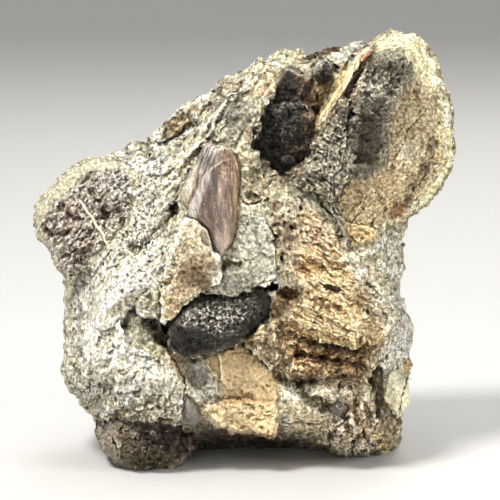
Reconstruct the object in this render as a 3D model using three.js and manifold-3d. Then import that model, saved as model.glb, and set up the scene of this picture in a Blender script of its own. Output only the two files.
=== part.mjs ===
// Fossil reptile bone block: a hand-sized lump of grey siltstone with a broken tooth crown, several
// pieces of bone and a few pebbles set in it. It stands on three low feet.
// Millimetres, +Z up, -Y is the face that shows the fossils. The origin is the middle of the underside.
import * as THREE from "three";
import { mergeVertices } from "three/addons/utils/BufferGeometryUtils.js";
import Module from "manifold-3d";

const wasm = await Module();
wasm.setup();

// ---------------------------------------------------------------- driving dimensions
const UNIT = 0.1545; // one unit of the drawing sheet, in mm
const LEAN = THREE.MathUtils.degToRad(8); // the sheet leans back by this much
const TAPER = 500; // the outlines taper in depth as if drawn from this far away
const SHEET_X = 0.84; // the sheet's middle (250, 250), in the part's frame
const SHEET_Z = 32.0;
const SHIFT_Y = -2.9; // moves every depth so that the block is centred front to back
const GAP = 0.3; // room left between a fossil and its socket
const BACK = -28.0; // depth of the rear face
const SHARP = 2.5; // how square the rounding between face and side is

const C = Math.cos(LEAN),
  S = Math.sin(LEAN);

// Point of the part to sheet coordinates (u to the right, v down, in sheet units).
function toSheet(x, y, z) {
  const a = z - SHEET_Z,
    k = TAPER / (TAPER + y * C - a * S);
  return [250 + ((x - SHEET_X) * k) / UNIT, 250 - ((y * S + a * C) * k) / UNIT];
}
// Sheet coordinates and a height h towards the viewer, back to a point of the part.
function fromSheet(u, v, h) {
  const y = SHIFT_Y - h,
    p = (u - 250) * UNIT,
    q = (250 - v) * UNIT;
  const a = (q * (1 + (y * C) / TAPER) - y * S) / (C + (q * S) / TAPER);
  return new THREE.Vector3(SHEET_X + p * (1 + (y * C - a * S) / TAPER), y, SHEET_Z + a);
}

// ---------------------------------------------------------------- outlines, in sheet units
const BLOCK_OUTLINE = [
  [366, 43], [374, 47], [384, 44], [398, 45], [409, 46], [417, 52], [424, 66], [429, 82], [437, 97],
  [440, 118], [441, 156], [437, 166], [430, 178], [420, 192], [408, 203], [399, 212], [397, 224],
  [399.5, 242], [401.5, 262], [401, 270], [397.5, 277], [396.5, 290], [399, 301], [404, 310], [408, 326],
  [409.5, 336], [406.5, 346], [408, 357], [412, 366], [411, 373], [408, 379], [408, 405], [404, 409],
  [403, 414], [400, 418], [400, 429], [396, 436], [395, 443], [391, 449], [383, 453], [370, 455],
  [356, 456], [343, 456], [333, 453], [326, 447], [318, 443], [304, 440], [290, 438], [264, 439],
  [240, 439], [222, 440], [208, 442], [197, 445], [190, 447], [182, 452], [165, 458], [145, 459],
  [128, 456], [116, 450], [108, 441], [103, 430], [100, 420], [95, 414], [86, 405], [76, 392],
  [66, 380], [67, 368], [68, 345], [70, 325], [74, 308], [72, 296], [76, 288], [77, 281], [72, 278],
  [70, 270], [64, 262], [60, 251], [50, 238], [46, 228], [44, 214], [47, 204], [53, 199], [64, 189],
  [78, 173], [86, 162], [98, 152], [110, 149], [120, 147], [126, 139], [132, 136], [140, 137],
  [148, 138], [153, 133], [158, 126], [162, 118], [167, 112], [180, 102], [194, 94], [208, 87],
  [214, 78], [221, 71], [234, 70], [240, 67], [248, 63], [252, 55], [258, 50], [264, 52], [270, 52],
  [277, 47], [286, 44], [296, 46], [304, 48], [316, 50], [324, 48], [332, 46], [342, 48], [350, 42],
  [358, 38], [363, 40],
];
// The rear half is a plainer broken shape: x, z in millimetres.
const REAR_OUTLINE = [
  [-22, -4], [-26.5, 6], [-28.5, 14], [-29.5, 24], [-30, 32], [-27, 41], [-14, 47], [-3, 57], [10, 61],
  [22, 63], [28, 60], [30, 52], [30, 43], [26, 35], [24.5, 28], [24, 12], [25, -4],
];
const LOBE_OUTLINE = [
  [352, 180], [358, 150], [362, 100], [367, 62], [375, 46], [384, 34], [398, 35], [410, 36], [418, 40],
  [426, 48], [434, 62], [438, 78], [446, 94], [449, 115], [450, 135], [451.5, 156], [450, 166],
  [444, 176], [441, 184], [430, 198], [418, 210], [410, 212], [403, 219], [398, 226], [386, 226],
  [378, 229], [375, 236], [368, 243], [357, 247], [348, 240], [343, 226], [339, 210], [339, 196],
  [343, 186],
];
const SPONGY_OUTLINE = [
  [356, 72], [366, 60], [378, 55], [392, 52], [402, 55], [409, 63], [413, 73], [410, 85], [404, 93],
  [397, 102], [392, 112], [388, 122], [386, 135], [388, 150], [386, 162], [378, 172], [366, 179],
  [352, 182], [342, 184], [338, 197], [328, 201], [315, 197], [300, 190], [288, 183], [291, 172],
  [303, 166], [312, 158], [312, 145], [320, 132], [330, 116], [339, 103], [347, 97], [350, 84],
];
const BLACK_BONE_OUTLINE = [
  [285, 69], [292, 70], [306, 79], [303, 92], [308, 106], [312, 120], [311, 140], [310, 158],
  [303, 168], [292, 173], [282, 179], [268, 171], [260, 158], [257, 138], [263, 118], [270, 100],
  [277, 83],
];
const BLADE_OUTLINE = [
  [372, 50], [376, 57], [366, 68], [357, 80], [347, 97], [337, 107], [323, 128], [315, 135],
  [310, 130], [318, 112], [329, 92], [340, 76], [351, 62], [361, 53],
];
const ORANGE_OUTLINE = [
  [300, 214], [312, 209], [322, 220], [335, 240], [350, 255], [366, 270], [381, 285], [393, 300],
  [396, 318], [392, 334], [380, 346], [372, 352], [368, 366], [360, 377], [345, 380], [325, 379],
  [305, 376], [290, 368], [284, 352], [281, 336], [276, 324], [286, 310], [300, 300], [299, 285],
  [294, 272], [293, 258], [298, 245], [299, 230],
];
const OCHRE_OUTLINE = [
  [205, 358], [225, 351], [240, 344], [250, 350], [262, 362], [275, 375], [279, 386], [278, 402],
  [277, 420], [275, 435], [262, 433], [245, 432], [230, 430], [212, 421], [202, 411], [206, 404],
  [221, 400], [222, 392], [218, 380], [212, 372], [206, 366],
];
const LEFT_BONE_OUTLINE = [
  [36.5, 222], [36, 211], [38, 203], [43, 197], [56, 184], [72, 170], [86, 164], [100, 163], [112, 162],
  [125, 166], [139, 180], [132, 195], [134, 206], [125, 225], [106, 245], [95, 256], [82, 270],
  [75, 279], [67, 278], [65, 272], [56, 262], [53, 251], [42, 240], [38, 231],
];
const CHIP_OUTLINE = [
  [386, 376], [395, 369], [403, 371], [407, 380], [407, 402], [401, 413], [394, 411], [387, 400], [384, 388],
];
const TOOTH_OUTLINE = [
  [199, 147], [207, 143], [216, 146], [222, 148], [230, 150], [237, 154], [242, 160], [242, 180],
  [240, 200], [238, 222], [236, 235], [233, 243], [228, 251], [222, 257], [214, 250], [210, 240],
  [206, 229], [198, 221], [187, 218], [183, 205], [181, 194], [186, 178], [193, 162],
];
const TOOTH_FACE = [[222, 150, 21.6], [212, 175, 22.6], [212, 200, 22.8], [218, 230, 21.8], [222, 250, 20.9]];
const RIB_OUTLINE = [
  [180, 316], [187, 308], [198, 300], [205, 294], [215, 300], [232, 305], [247, 300], [255, 293],
  [266, 291], [271, 296], [268, 311], [261, 322], [250, 332], [238, 343], [225, 350], [210, 356],
  [195, 357], [183, 353], [174, 343], [169, 331],
];

// ---------------------------------------------------------------- face heights: u, v, h in mm
const BLOCK_FACE = [
  [45, 205, 9], [60, 185, 10], [85, 165, 11], [110, 155, 11.5], [135, 142, 11], [150, 142, 11],
  [45, 235, 8], [60, 265, 8.5], [75, 285, 10], [80, 200, 12], [80, 240, 11.5], [110, 180, 13],
  [110, 215, 12], [120, 240, 13.5], [140, 170, 14.5], [140, 200, 14.5], [140, 225, 15], [165, 170, 17],
  [165, 195, 17.5], [160, 220, 17], [150, 245, 18], [130, 260, 18], [185, 160, 19], [180, 185, 19.5],
  [185, 205, 20], [100, 280, 15], [85, 310, 14], [80, 345, 13.5], [75, 380, 11.5], [110, 300, 18],
  [130, 290, 19.5], [145, 275, 20], [150, 300, 18.5], [135, 315, 14], [150, 325, 13.5], [160, 345, 15],
  [120, 340, 18], [100, 360, 16.5], [130, 370, 19], [155, 375, 19.5], [90, 395, 12.5], [115, 405, 15],
  [145, 405, 17.5], [170, 400, 17.5], [110, 425, 11], [145, 425, 14], [175, 425, 14], [175, 250, 21.5],
  [190, 240, 22.5], [190, 265, 23.5], [200, 275, 22], [180, 290, 22], [170, 310, 20.5], [210, 270, 22.5],
  [215, 285, 20.5], [215, 170, 19], [215, 200, 19.5], [220, 235, 19], [250, 160, 19], [255, 190, 20],
  [250, 215, 20], [245, 240, 20], [260, 240, 20.5], [265, 260, 20.5], [235, 262, 18.5], [235, 280, 20.5],
  [225, 295, 20], [255, 280, 20.5], [270, 275, 18.5], [205, 130, 18], [225, 110, 18.5], [245, 95, 18.5],
  [262, 80, 17], [270, 65, 14], [255, 120, 19], [250, 140, 18.5], [235, 140, 19], [165, 118, 11],
  [180, 112, 12], [200, 100, 12.5], [215, 88, 12], [230, 78, 12], [245, 70, 12.5], [257, 58, 10],
  [175, 135, 10], [190, 128, 12], [160, 142, 10], [275, 52, 8], [290, 52, 8], [310, 52, 7], [330, 52, 7],
  [350, 46, 8.5], [365, 42, 9], [380, 42, 8], [300, 65, 10], [320, 65, 10.5], [340, 65, 11.5],
  [325, 95, 9.5], [310, 110, 9], [335, 80, 11], [290, 80, 10], [285, 120, 8], [275, 150, 8],
  [300, 140, 9], [285, 170, 10], [350, 80, 12], [370, 70, 12], [395, 70, 11], [370, 110, 13],
  [360, 145, 13.5], [340, 120, 12.5], [330, 150, 13], [330, 175, 14], [300, 190, 16.5], [285, 200, 18],
  [300, 210, 17], [275, 185, 19], [270, 215, 19], [285, 230, 17.5], [290, 250, 16.5], [275, 250, 19],
  [285, 265, 16.5], [285, 290, 15], [275, 295, 15.5], [410, 80, 6], [430, 110, 4.5], [430, 150, 4.5],
  [400, 140, 7], [380, 190, 9], [410, 190, 6], [360, 210, 10.5], [390, 215, 7], [345, 200, 12],
  [335, 215, 15], [350, 240, 12.5], [370, 235, 10], [385, 240, 8.5], [395, 260, 7.5], [320, 240, 15],
  [340, 270, 15.5], [365, 290, 14], [390, 300, 10.5], [310, 290, 16], [340, 320, 16.5], [375, 325, 13.5],
  [400, 330, 8.5], [400, 355, 8], [385, 355, 10], [370, 355, 12], [340, 355, 12], [310, 350, 12.5],
  [290, 345, 15], [268, 340, 18.5], [265, 355, 17.5], [275, 370, 14.5], [300, 370, 12], [330, 375, 12],
  [355, 378, 12], [190, 335, 16], [220, 325, 16], [250, 315, 15.5], [175, 350, 15.5], [240, 370, 13],
  [260, 395, 13], [215, 410, 13], [240, 425, 12.5], [200, 370, 15], [190, 385, 15.5], [210, 390, 15.5],
  [190, 410, 15], [205, 425, 12.5], [230, 437, 8], [270, 437, 8], [300, 437, 9], [290, 385, 14.5],
  [290, 410, 15], [310, 395, 14.5], [325, 392, 15.5], [310, 425, 14.5], [335, 405, 14], [335, 430, 14],
  [355, 395, 14.5], [355, 420, 14.5], [350, 445, 12], [370, 400, 14], [370, 430, 13], [378, 395, 10],
  [385, 420, 9], [395, 395, 9], [390, 440, 8], [405, 400, 6],
];
const LOBE_FACE = [
  [385, 45, 9.5], [400, 60, 10.5], [420, 60, 8.5], [430, 100, 10], [405, 110, 12.5], [430, 150, 10.5],
  [395, 160, 13], [400, 190, 12], [370, 200, 13.5], [360, 225, 13.2], [390, 215, 10.5], [440, 170, 8],
  [360, 120, 12],
];
const SPONGY_FACE = [
  [365, 75, 16], [380, 62, 15], [400, 70, 14.5], [385, 95, 17.5], [365, 108, 17], [345, 110, 15.5],
  [365, 140, 19], [378, 150, 18], [350, 165, 17.5], [335, 130, 15.5], [325, 155, 16], [335, 178, 17.2],
  [305, 182, 17.5],
];
const BLACK_BONE_FACE = [
  [292, 78, 14], [285, 95, 13.8], [290, 115, 14.2], [275, 125, 13.5], [290, 145, 13.8], [270, 155, 12.8], [300, 160, 12.5],
];
const BLADE_FACE = [[368, 56, 15], [350, 80, 15.4], [332, 104, 15], [316, 128, 13.6]];
const ORANGE_FACE = [
  [305, 225, 18.3], [330, 245, 18.6], [308, 262, 19], [340, 290, 20.6], [372, 300, 17.5], [390, 312, 14.5],
  [350, 325, 21], [312, 322, 20.2], [378, 335, 17], [292, 312, 18], [330, 362, 15.2], [300, 365, 15], [355, 368, 15],
  [330, 338, 20.4],
];
const OCHRE_FACE = [
  [230, 360, 15.6], [255, 372, 15.2], [240, 392, 14.4], [262, 394, 14.6], [240, 408, 16], [265, 420, 15.6],
  [215, 410, 15.4], [240, 428, 14.6],
];
const LEFT_BONE_FACE = [
  [60, 215, 10.6], [80, 198, 12.4], [80, 235, 11.4], [105, 213, 11.8], [120, 185, 14.3], [110, 238, 13.6], [68, 262, 10],
];
const CHIP_FACE = [[395, 385, 10.6], [397, 402, 10]];

// ---------------------------------------------------------------- shape functions: below 0 is inside
function inside(outline, u, v) {
  let d = Infinity,
    sign = 1;
  for (let i = 0, j = outline.length - 1; i < outline.length; j = i++) {
    const [ax, ay] = outline[i],
      [bx, by] = outline[j];
    const ex = bx - ax,
      ey = by - ay,
      wx = u - ax,
      wy = v - ay;
    const t = Math.min(1, Math.max(0, (wx * ex + wy * ey) / (ex * ex + ey * ey)));
    d = Math.min(d, (wx - ex * t) ** 2 + (wy - ey * t) ** 2);
    if (ay > v !== by > v && u < ((bx - ax) * (v - ay)) / (by - ay) + ax) sign = -sign;
  }
  return -sign * Math.sqrt(d); // positive inside the outline
}
// A smooth height from scattered spot heights.
function height(spots, u, v, spread = 13) {
  let sum = 0,
    all = 0;
  for (const [a, b, h] of spots) {
    const d = ((u - a) ** 2 + (v - b) ** 2) / (2 * spread * spread);
    const w = Math.exp(-d) + 1e-5 / (1 + d);
    sum += w * h;
    all += w;
  }
  return sum / all;
}
const smooth = (a, b, x) => {
  const t = Math.min(1, Math.max(0, (x - a) / (b - a)));
  return t * t * (3 - 2 * t);
};
// A slab with a drawn outline, a shaped face and a rounded rim.
function slab(outline, face, back, rim, spread) {
  return (x, y, z) => {
    const [u, v] = toSheet(x, y, z),
      h = SHIFT_Y - y;
    const f = height(face, u, v, spread);
    const across = Math.abs(h - (f + back) / 2) / ((f - back) / 2);
    const edge = Math.max(0, 1 - (inside(outline, u, v) * UNIT) / rim);
    return (across ** SHARP + edge ** SHARP) ** (1 / SHARP) - 1;
  };
}
// The stone itself: the drawn outline in front turns into the plainer one behind.
const REAR_FACETS = [
  [0.34, 0.93, 0.12, 28.4], [-0.42, 0.9, 0.06, 27.4], [-0.05, 0.93, 0.36, 33.6], [0.1, 0.97, -0.22, 24.0],
  [-0.86, 0.5, 0.1, 33.6], [0.88, 0.47, 0.04, 32.2], [-0.5, 0.42, 0.76, 44.5], [0.3, 0.5, 0.81, 67.5],
  [0.62, 0.62, -0.48, 23.0], [-0.66, 0.58, -0.48, 18.2], [-0.93, -0.1, -0.36, 22.9], [0.97, -0.05, -0.24, 24.2],
];
// Slow swells that keep the rear from being flat.
const swell = (x, y, z) =>
  0.5 * Math.sin(0.23 * x + 0.13 * z + 1) * Math.sin(0.19 * z - 0.21 * y + 2) +
  0.16 * Math.sin(0.41 * z - 0.33 * x + 0.5) * Math.cos(0.45 * x + 0.37 * y);
function stone(x, y, z) {
  const [u, v] = toSheet(x, y, z),
    h = SHIFT_Y - y;
  const w = -h; // depth behind the zero plane of the face heights
  const t = smooth(0, 19, w);
  const front = inside(BLOCK_OUTLINE, u, v) * UNIT,
    rear = inside(REAR_OUTLINE, x, z);
  const in_ = front * (1 - t) + rear * t;
  const f = height(BLOCK_FACE, u, v);
  const across = Math.abs(h - (f + BACK) / 2) / ((f - BACK) / 2);
  const edge = Math.max(0, 1 - in_ / (9 + 5 * t));
  let d = ((across ** SHARP + edge ** SHARP) ** (1 / SHARP) - 1) * 12;
  for (const [a, b, c, e] of REAR_FACETS) d = Math.max(d, a * x + b * w + c * z - e);
  return d + t * swell(x, w, z);
}
// An ellipsoid, turned about the depth axis: centre on the sheet, height, half sizes in mm.
function pebble(u, v, h, rx, ry, rz, turn = 0) {
  const c = fromSheet(u, v, h),
    ct = Math.cos(turn),
    st = Math.sin(turn);
  return (x, y, z) => {
    const dx = x - c.x,
      dz = z - c.z;
    return Math.hypot((dx * ct + dz * st) / rx, (y - c.y) / ry, (dz * ct - dx * st) / rz) - 1;
  };
}
// A limb that follows points [u, v, h, radius in sheet units], flattened in depth.
function limb(points, flat) {
  const P = points.map(([u, v, h]) => fromSheet(u, v, h)),
    R = points.map((p) => p[3] * UNIT);
  return (x, y, z) => {
    let best = Infinity;
    for (let i = 0; i + 1 < P.length; i++) {
      const a = P[i],
        b = P[i + 1];
      const ex = b.x - a.x,
        ey = b.y - a.y,
        ez = b.z - a.z;
      const t = Math.min(
        1,
        Math.max(0, ((x - a.x) * ex + (y - a.y) * ey + (z - a.z) * ez) / (ex * ex + ey * ey + ez * ez)),
      );
      const r = R[i] * (1 - t) + R[i + 1] * t;
      const d = Math.hypot(x - a.x - ex * t, (y - a.y - ey * t) / flat, z - a.z - ez * t) / r - 1;
      best = Math.min(best, d);
    }
    return best;
  };
}

// ---------------------------------------------------------------- turning shape functions into solids
// A ball of facets, blown up or drawn in from the centre until each corner meets the shape.
function wrap(shape, centre, detail, stretch = [1, 1, 1], turn = 0, grow = 0) {
  const ball = new THREE.IcosahedronGeometry(1, detail);
  ball.deleteAttribute("normal");
  ball.deleteAttribute("uv");
  const g = mergeVertices(ball, 1e-4),
    pos = g.getAttribute("position");
  const m = new THREE.Matrix4().makeRotationY(-turn).multiply(new THREE.Matrix4().makeScale(...stretch));
  const d = new THREE.Vector3();
  for (let i = 0; i < pos.count; i++) {
    d.fromBufferAttribute(pos, i).applyMatrix4(m).normalize();
    let lo = 0,
      hi = 0;
    while (hi < 70 && shape(centre.x + d.x * hi, centre.y + d.y * hi, centre.z + d.z * hi) < 0) {
      lo = hi;
      hi += 0.35;
    }
    for (let n = 0; n < 12; n++) {
      const mid = (lo + hi) / 2;
      if (shape(centre.x + d.x * mid, centre.y + d.y * mid, centre.z + d.z * mid) < 0) lo = mid;
      else hi = mid;
    }
    const r = (lo + hi) / 2 + grow;
    pos.setXYZ(i, centre.x + d.x * r, centre.y + d.y * r, centre.z + d.z * r);
  }
  return g;
}
function solid(geometry) {
  const g = geometry.index ? geometry.toNonIndexed() : geometry.clone();
  for (const name of Object.keys(g.attributes)) if (name !== "position") g.deleteAttribute(name);
  const m = mergeVertices(g, 1e-4);
  return new wasm.Manifold(
    new wasm.Mesh({
      numProp: 3,
      vertProperties: new Float32Array(m.attributes.position.array),
      triVerts: new Uint32Array(m.index.array),
    }),
  );
}
function biggest(body) {
  return body.decompose().reduce((a, b) => (b.volume() > a.volume() ? b : a));
}
function geometryOf(body) {
  const m = body.getMesh(),
    v = new Float32Array(m.numVert * 3);
  for (let i = 0; i < m.numVert; i++) v.set(m.vertProperties.subarray(i * m.numProp, i * m.numProp + 3), i * 3);
  const g = new THREE.BufferGeometry();
  g.setAttribute("position", new THREE.BufferAttribute(v, 3));
  g.setIndex(new THREE.BufferAttribute(new Uint32Array(m.triVerts), 1));
  const flat = g.toNonIndexed();
  flat.computeVertexNormals();
  return flat;
}
// The open way from a fossil out to the face: its drawn outline, a little larger, pushed forwards.
function wayOut(outline, from) {
  let cu = 0,
    cv = 0;
  for (const [u, v] of outline) {
    cu += u / outline.length;
    cv += v / outline.length;
  }
  const shape = new THREE.Shape(
    outline.map(([u, v]) => {
      const l = Math.hypot(u - cu, v - cv),
        k = (l + (GAP * 0.9) / UNIT) / l;
      return new THREE.Vector2(cu + (u - cu) * k, cv + (v - cv) * k);
    }),
  );
  const g = new THREE.ExtrudeGeometry(shape, { depth: 1, bevelEnabled: false });
  const pos = g.getAttribute("position");
  for (let i = 0; i < pos.count; i++) {
    const p = fromSheet(pos.getX(i), pos.getY(i), pos.getZ(i) > 0.5 ? 34 : from);
    pos.setXYZ(i, p.x, p.y, p.z);
  }
  const made = new THREE.BufferGeometry();
  made.setAttribute("position", pos);
  let s = solid(made);
  if (s.volume() < 0) {
    const a = pos.array.slice();
    for (let i = 0; i < a.length; i += 9)
      for (let j = 0; j < 3; j++) [a[i + 3 + j], a[i + 6 + j]] = [a[i + 6 + j], a[i + 3 + j]];
    made.setAttribute("position", new THREE.BufferAttribute(a, 3));
    s = solid(made);
  }
  return s;
}

// ---------------------------------------------------------------- the pieces
const deg = THREE.MathUtils.degToRad;
// name, shape, middle [u, v, h], facets, stretch, turn, outline of its way out and the height it starts from
const FOSSILS = [
  ["tooth_crown", slab(TOOTH_OUTLINE, TOOTH_FACE, 15.2, 4.2, 12), [213, 192, 19.2], 4, [1, 0.7, 1.9], 0, TOOTH_OUTLINE, 19.2],
  ["black_rib_bone", limb([[191, 331, 17.6, 25.5], [213, 327, 17.4, 25], [236, 316, 17, 23.5], [255, 306, 16.4, 17], [265, 300, 16, 9]], 0.95), [222, 323, 17], 4, [2, 1, 1], deg(20), RIB_OUTLINE, 16.8],
  ["grey_spongy_bone", slab(SPONGY_OUTLINE, SPONGY_FACE, 5, 3, 9), [352, 135, 11], 5, [1, 0.9, 1.1], 0, SPONGY_OUTLINE, 12],
  ["bone_blade", slab(BLADE_OUTLINE, BLADE_FACE, 6.5, 1.2, 12), [342, 92, 11], 3, [0.5, 0.9, 2.2], deg(-38), BLADE_OUTLINE, 11],
  ["black_bone_shaft", slab(BLACK_BONE_OUTLINE, BLACK_BONE_FACE, 4, 2.6, 9), [285, 125, 9], 4, [1, 1, 1.9], deg(-8), BLACK_BONE_OUTLINE, 10],
  ["black_pebble", pebble(323, 71, 11, 1.5, 2.0, 2.05, deg(-8)), [323, 71, 11], 2, [1, 1, 1], 0, null, 11],
  ["orange_spongy_bone", slab(ORANGE_OUTLINE, ORANGE_FACE, 7, 2.4, 10), [338, 298, 13], 5, [1, 0.8, 1.4], 0, ORANGE_OUTLINE, 14],
  ["tan_bone_lobe", slab(LOBE_OUTLINE, LOBE_FACE, -9, 6.5, 12), [398, 140, 1], 5, [1, 0.9, 1.5], 0, LOBE_OUTLINE, 4],
  ["ochre_bone_slab", slab(OCHRE_OUTLINE, OCHRE_FACE, 6, 1.3, 9), [246, 395, 10.5], 4, [1, 0.8, 1.3], 0, OCHRE_OUTLINE, 12],
  ["left_spongy_bone", slab(LEFT_BONE_OUTLINE, LEFT_BONE_FACE, -1, 3.2, 9), [85, 215, 5], 4, [1, 0.8, 1.3], deg(35), LEFT_BONE_OUTLINE, 9],
  ["brown_bone_knob", pebble(145, 437, 7.6, 7.0, 8.4, 6.4), [145, 437, 7.6], 4, [1, 1, 1], 0, null, 8],
  ["dark_pebble_upper", pebble(197, 375, 14.6, 1.5, 1.5, 2.0, deg(8)), [197, 375, 14.6], 2, [1, 1, 1], 0, null, 14],
  ["dark_pebble_lower", pebble(190, 411, 14.4, 1.5, 1.7, 2.5, deg(12)), [190, 411, 14.4], 2, [1, 1, 1], 0, null, 14],
  ["dark_chip", pebble(337, 407, 13.9, 1.2, 1.2, 1.2), [337, 407, 13.9], 1, [1, 1, 1], 0, null, 14],
  ["grey_grit_by_tooth", pebble(203, 236, 22.0, 0.62, 0.8, 1.35, deg(14)), [203, 236, 22.0], 1, [1, 1, 1], 0, null, 22],
  ["pale_shell_chip", slab(CHIP_OUTLINE, CHIP_FACE, 4, 0.9, 9), [396, 391, 7.5], 3, [0.9, 1, 1.5], 0, CHIP_OUTLINE, 8],
];
const COLOURS = {
  stone_block: [0xb3a994, 0.95], tooth_crown: [0x6f4f3c, 0.35], black_rib_bone: [0x2a2a2b, 0.55],
  grey_spongy_bone: [0x5d594e, 0.85], bone_blade: [0xb39a6b, 0.6], black_bone_shaft: [0x221c18, 0.5],
  black_pebble: [0x1f1d1c, 0.45], orange_spongy_bone: [0xbb9563, 0.9], tan_bone_lobe: [0xcdb98c, 0.75],
  ochre_bone_slab: [0xc9a468, 0.75], left_spongy_bone: [0x8d7868, 0.9], brown_bone_knob: [0x4a3a2c, 0.6],
  dark_pebble_upper: [0x55524a, 0.6], dark_pebble_lower: [0x4b4a44, 0.6], dark_chip: [0x33312d, 0.5],
  grey_grit_by_tooth: [0x6f6a62, 0.6], pale_shell_chip: [0xbcb79a, 0.5], white_rootlet: [0xd9cfb8, 0.8],
};

const ground = solid(new THREE.BoxGeometry(120, 120, 20).translate(0, 0, -10));

// Each fossil as a solid, and the room that it needs in whatever holds it.
const made = FOSSILS.map(([name, shape, [u, v, h], detail, stretch, turn, outline, from]) => {
  const c = fromSheet(u, v, h);
  const body = solid(wrap(shape, c, detail, stretch, turn));
  const loose = wrap(shape, c, detail, stretch, turn, GAP + 0.08);
  let room = solid(loose);
  const front = outline
    ? wayOut(outline, from)
    : solid(loose.clone().translate(0, -2.4, 0));
  room = room.add(front);
  return { name, body, room };
});

// Where two fossils meet, the one that lies deeper makes way.
const MAKES_WAY = [
  ["tan_bone_lobe", "grey_spongy_bone"], ["bone_blade", "grey_spongy_bone"],
  ["black_bone_shaft", "grey_spongy_bone"], ["ochre_bone_slab", "black_rib_bone"],
  ["orange_spongy_bone", "black_rib_bone"], ["tooth_crown", "grey_grit_by_tooth"],
  ["dark_pebble_upper", "black_rib_bone"], ["black_bone_shaft", "bone_blade"],
];
const by = Object.fromEntries(made.map((p) => [p.name, p]));
for (const [deep, over] of MAKES_WAY) by[deep].body = biggest(by[deep].body.subtract(by[over].room));

let block = solid(wrap(stone, new THREE.Vector3(-1, 0, 31), 13));
block = block.subtract(ground);
for (const { room } of made) block = block.subtract(room);
block = biggest(block);
by.brown_bone_knob.body = biggest(by.brown_bone_knob.body.subtract(ground));

const part = new THREE.Group();
part.name = "fossil_reptile_bone_block";
function add(name, geometry) {
  const [colour, roughness] = COLOURS[name];
  const mesh = new THREE.Mesh(
    geometry,
    new THREE.MeshStandardMaterial({ color: colour, roughness, metalness: 0 }),
  );
  mesh.name = name;
  part.add(mesh);
}
add("stone_block", geometryOf(block));
for (const { name, body } of made) add(name, geometryOf(body));

// A thread of dry root that lies on the left bone.
const root = new THREE.CatmullRomCurve3(
  [[80, 201], [86, 209], [93, 219], [100, 230], [105, 239], [109, 249]].map(([u, v]) =>
    fromSheet(u, v, height(LEFT_BONE_FACE, u, v, 9) + 0.75),
  ),
);
const round = new THREE.Shape(
  Array.from({ length: 6 }, (_, i) => new THREE.Vector2(0.2 * Math.cos((i * Math.PI) / 3), 0.2 * Math.sin((i * Math.PI) / 3))),
);
add("white_rootlet", new THREE.ExtrudeGeometry(round, { steps: 14, bevelEnabled: false, extrudePath: root }));

export default part;
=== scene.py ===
# Fossil reptile bone block: a lump of siltstone with a tooth crown, pieces of bone and pebbles set in it.
# Lengths in the shape functions are in millimetres; the sheet is a plane in front of the block, in units of 0.1545 mm.
import time

import bpy
import numpy as np
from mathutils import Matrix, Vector


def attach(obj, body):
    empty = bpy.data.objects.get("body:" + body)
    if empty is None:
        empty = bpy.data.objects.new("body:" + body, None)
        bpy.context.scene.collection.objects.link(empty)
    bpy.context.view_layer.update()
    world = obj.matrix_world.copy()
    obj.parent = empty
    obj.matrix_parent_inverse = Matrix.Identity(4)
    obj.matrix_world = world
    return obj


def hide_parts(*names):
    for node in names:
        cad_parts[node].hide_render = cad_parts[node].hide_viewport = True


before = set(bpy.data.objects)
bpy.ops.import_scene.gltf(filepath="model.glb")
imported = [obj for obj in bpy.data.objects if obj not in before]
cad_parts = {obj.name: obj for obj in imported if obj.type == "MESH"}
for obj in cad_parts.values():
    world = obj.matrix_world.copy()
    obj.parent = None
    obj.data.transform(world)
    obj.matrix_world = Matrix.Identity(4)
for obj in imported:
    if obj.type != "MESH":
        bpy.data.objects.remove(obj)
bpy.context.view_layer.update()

OFFSET_Y = 0.0

UNIT = 0.1545            # mm per sheet unit
SUB = 2                  # samples per sheet unit
U0, V0, U1, V1 = 26, 24, 464, 478


def grid(sub=SUB):
    nu, nv = (U1 - U0) * sub + 1, (V1 - V0) * sub + 1
    return np.meshgrid(U0 + np.arange(nu) / sub, V0 + np.arange(nv) / sub)


def sstep(a, b, x):
    t = np.clip((x - a) / (b - a), 0, 1)
    return t * t * (3 - 2 * t)


def _lattice(seed):
    rs = np.random.RandomState(seed)
    p = rs.permutation(512)
    a = rs.rand(512) * 2 * np.pi
    return np.concatenate([p, p]), np.cos(a), np.sin(a), rs.rand(512)


def gnoise(x, y, seed):
    p, ca, sa, _ = _lattice(seed)
    xi, yi = np.floor(x).astype(np.int64), np.floor(y).astype(np.int64)
    xf, yf = x - xi, y - yi
    u, v = xf * xf * xf * (xf * (xf * 6 - 15) + 10), yf * yf * yf * (yf * (yf * 6 - 15) + 10)

    def g(i, j):
        h = p[(p[(xi + i) & 511] + yi + j) & 511]
        return ca[h] * (xf - i) + sa[h] * (yf - j)

    a = g(0, 0) * (1 - u) + g(1, 0) * u
    b = g(0, 1) * (1 - u) + g(1, 1) * u
    return (a * (1 - v) + b * v) * 1.5


def fbm(x, y, scale, octaves, seed, gain=0.5):
    s, amp, tot = 0.0, 1.0, 0.0
    x, y = x / scale, y / scale
    for k in range(octaves):
        s = s + amp * gnoise(x * 2 ** k + 17.3 * k, y * 2 ** k - 9.1 * k, seed + k)
        tot += amp
        amp *= gain
    return s / tot


def ridged(x, y, scale, octaves, seed, gain=0.55):
    s, amp, tot = 0.0, 1.0, 0.0
    x, y = x / scale, y / scale
    for k in range(octaves):
        n = 1 - np.abs(gnoise(x * 2 ** k + 5.7 * k, y * 2 ** k + 3.3 * k, seed + k)) * 2.2
        s = s + amp * n
        tot += amp
        amp *= gain
    return s / tot


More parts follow.
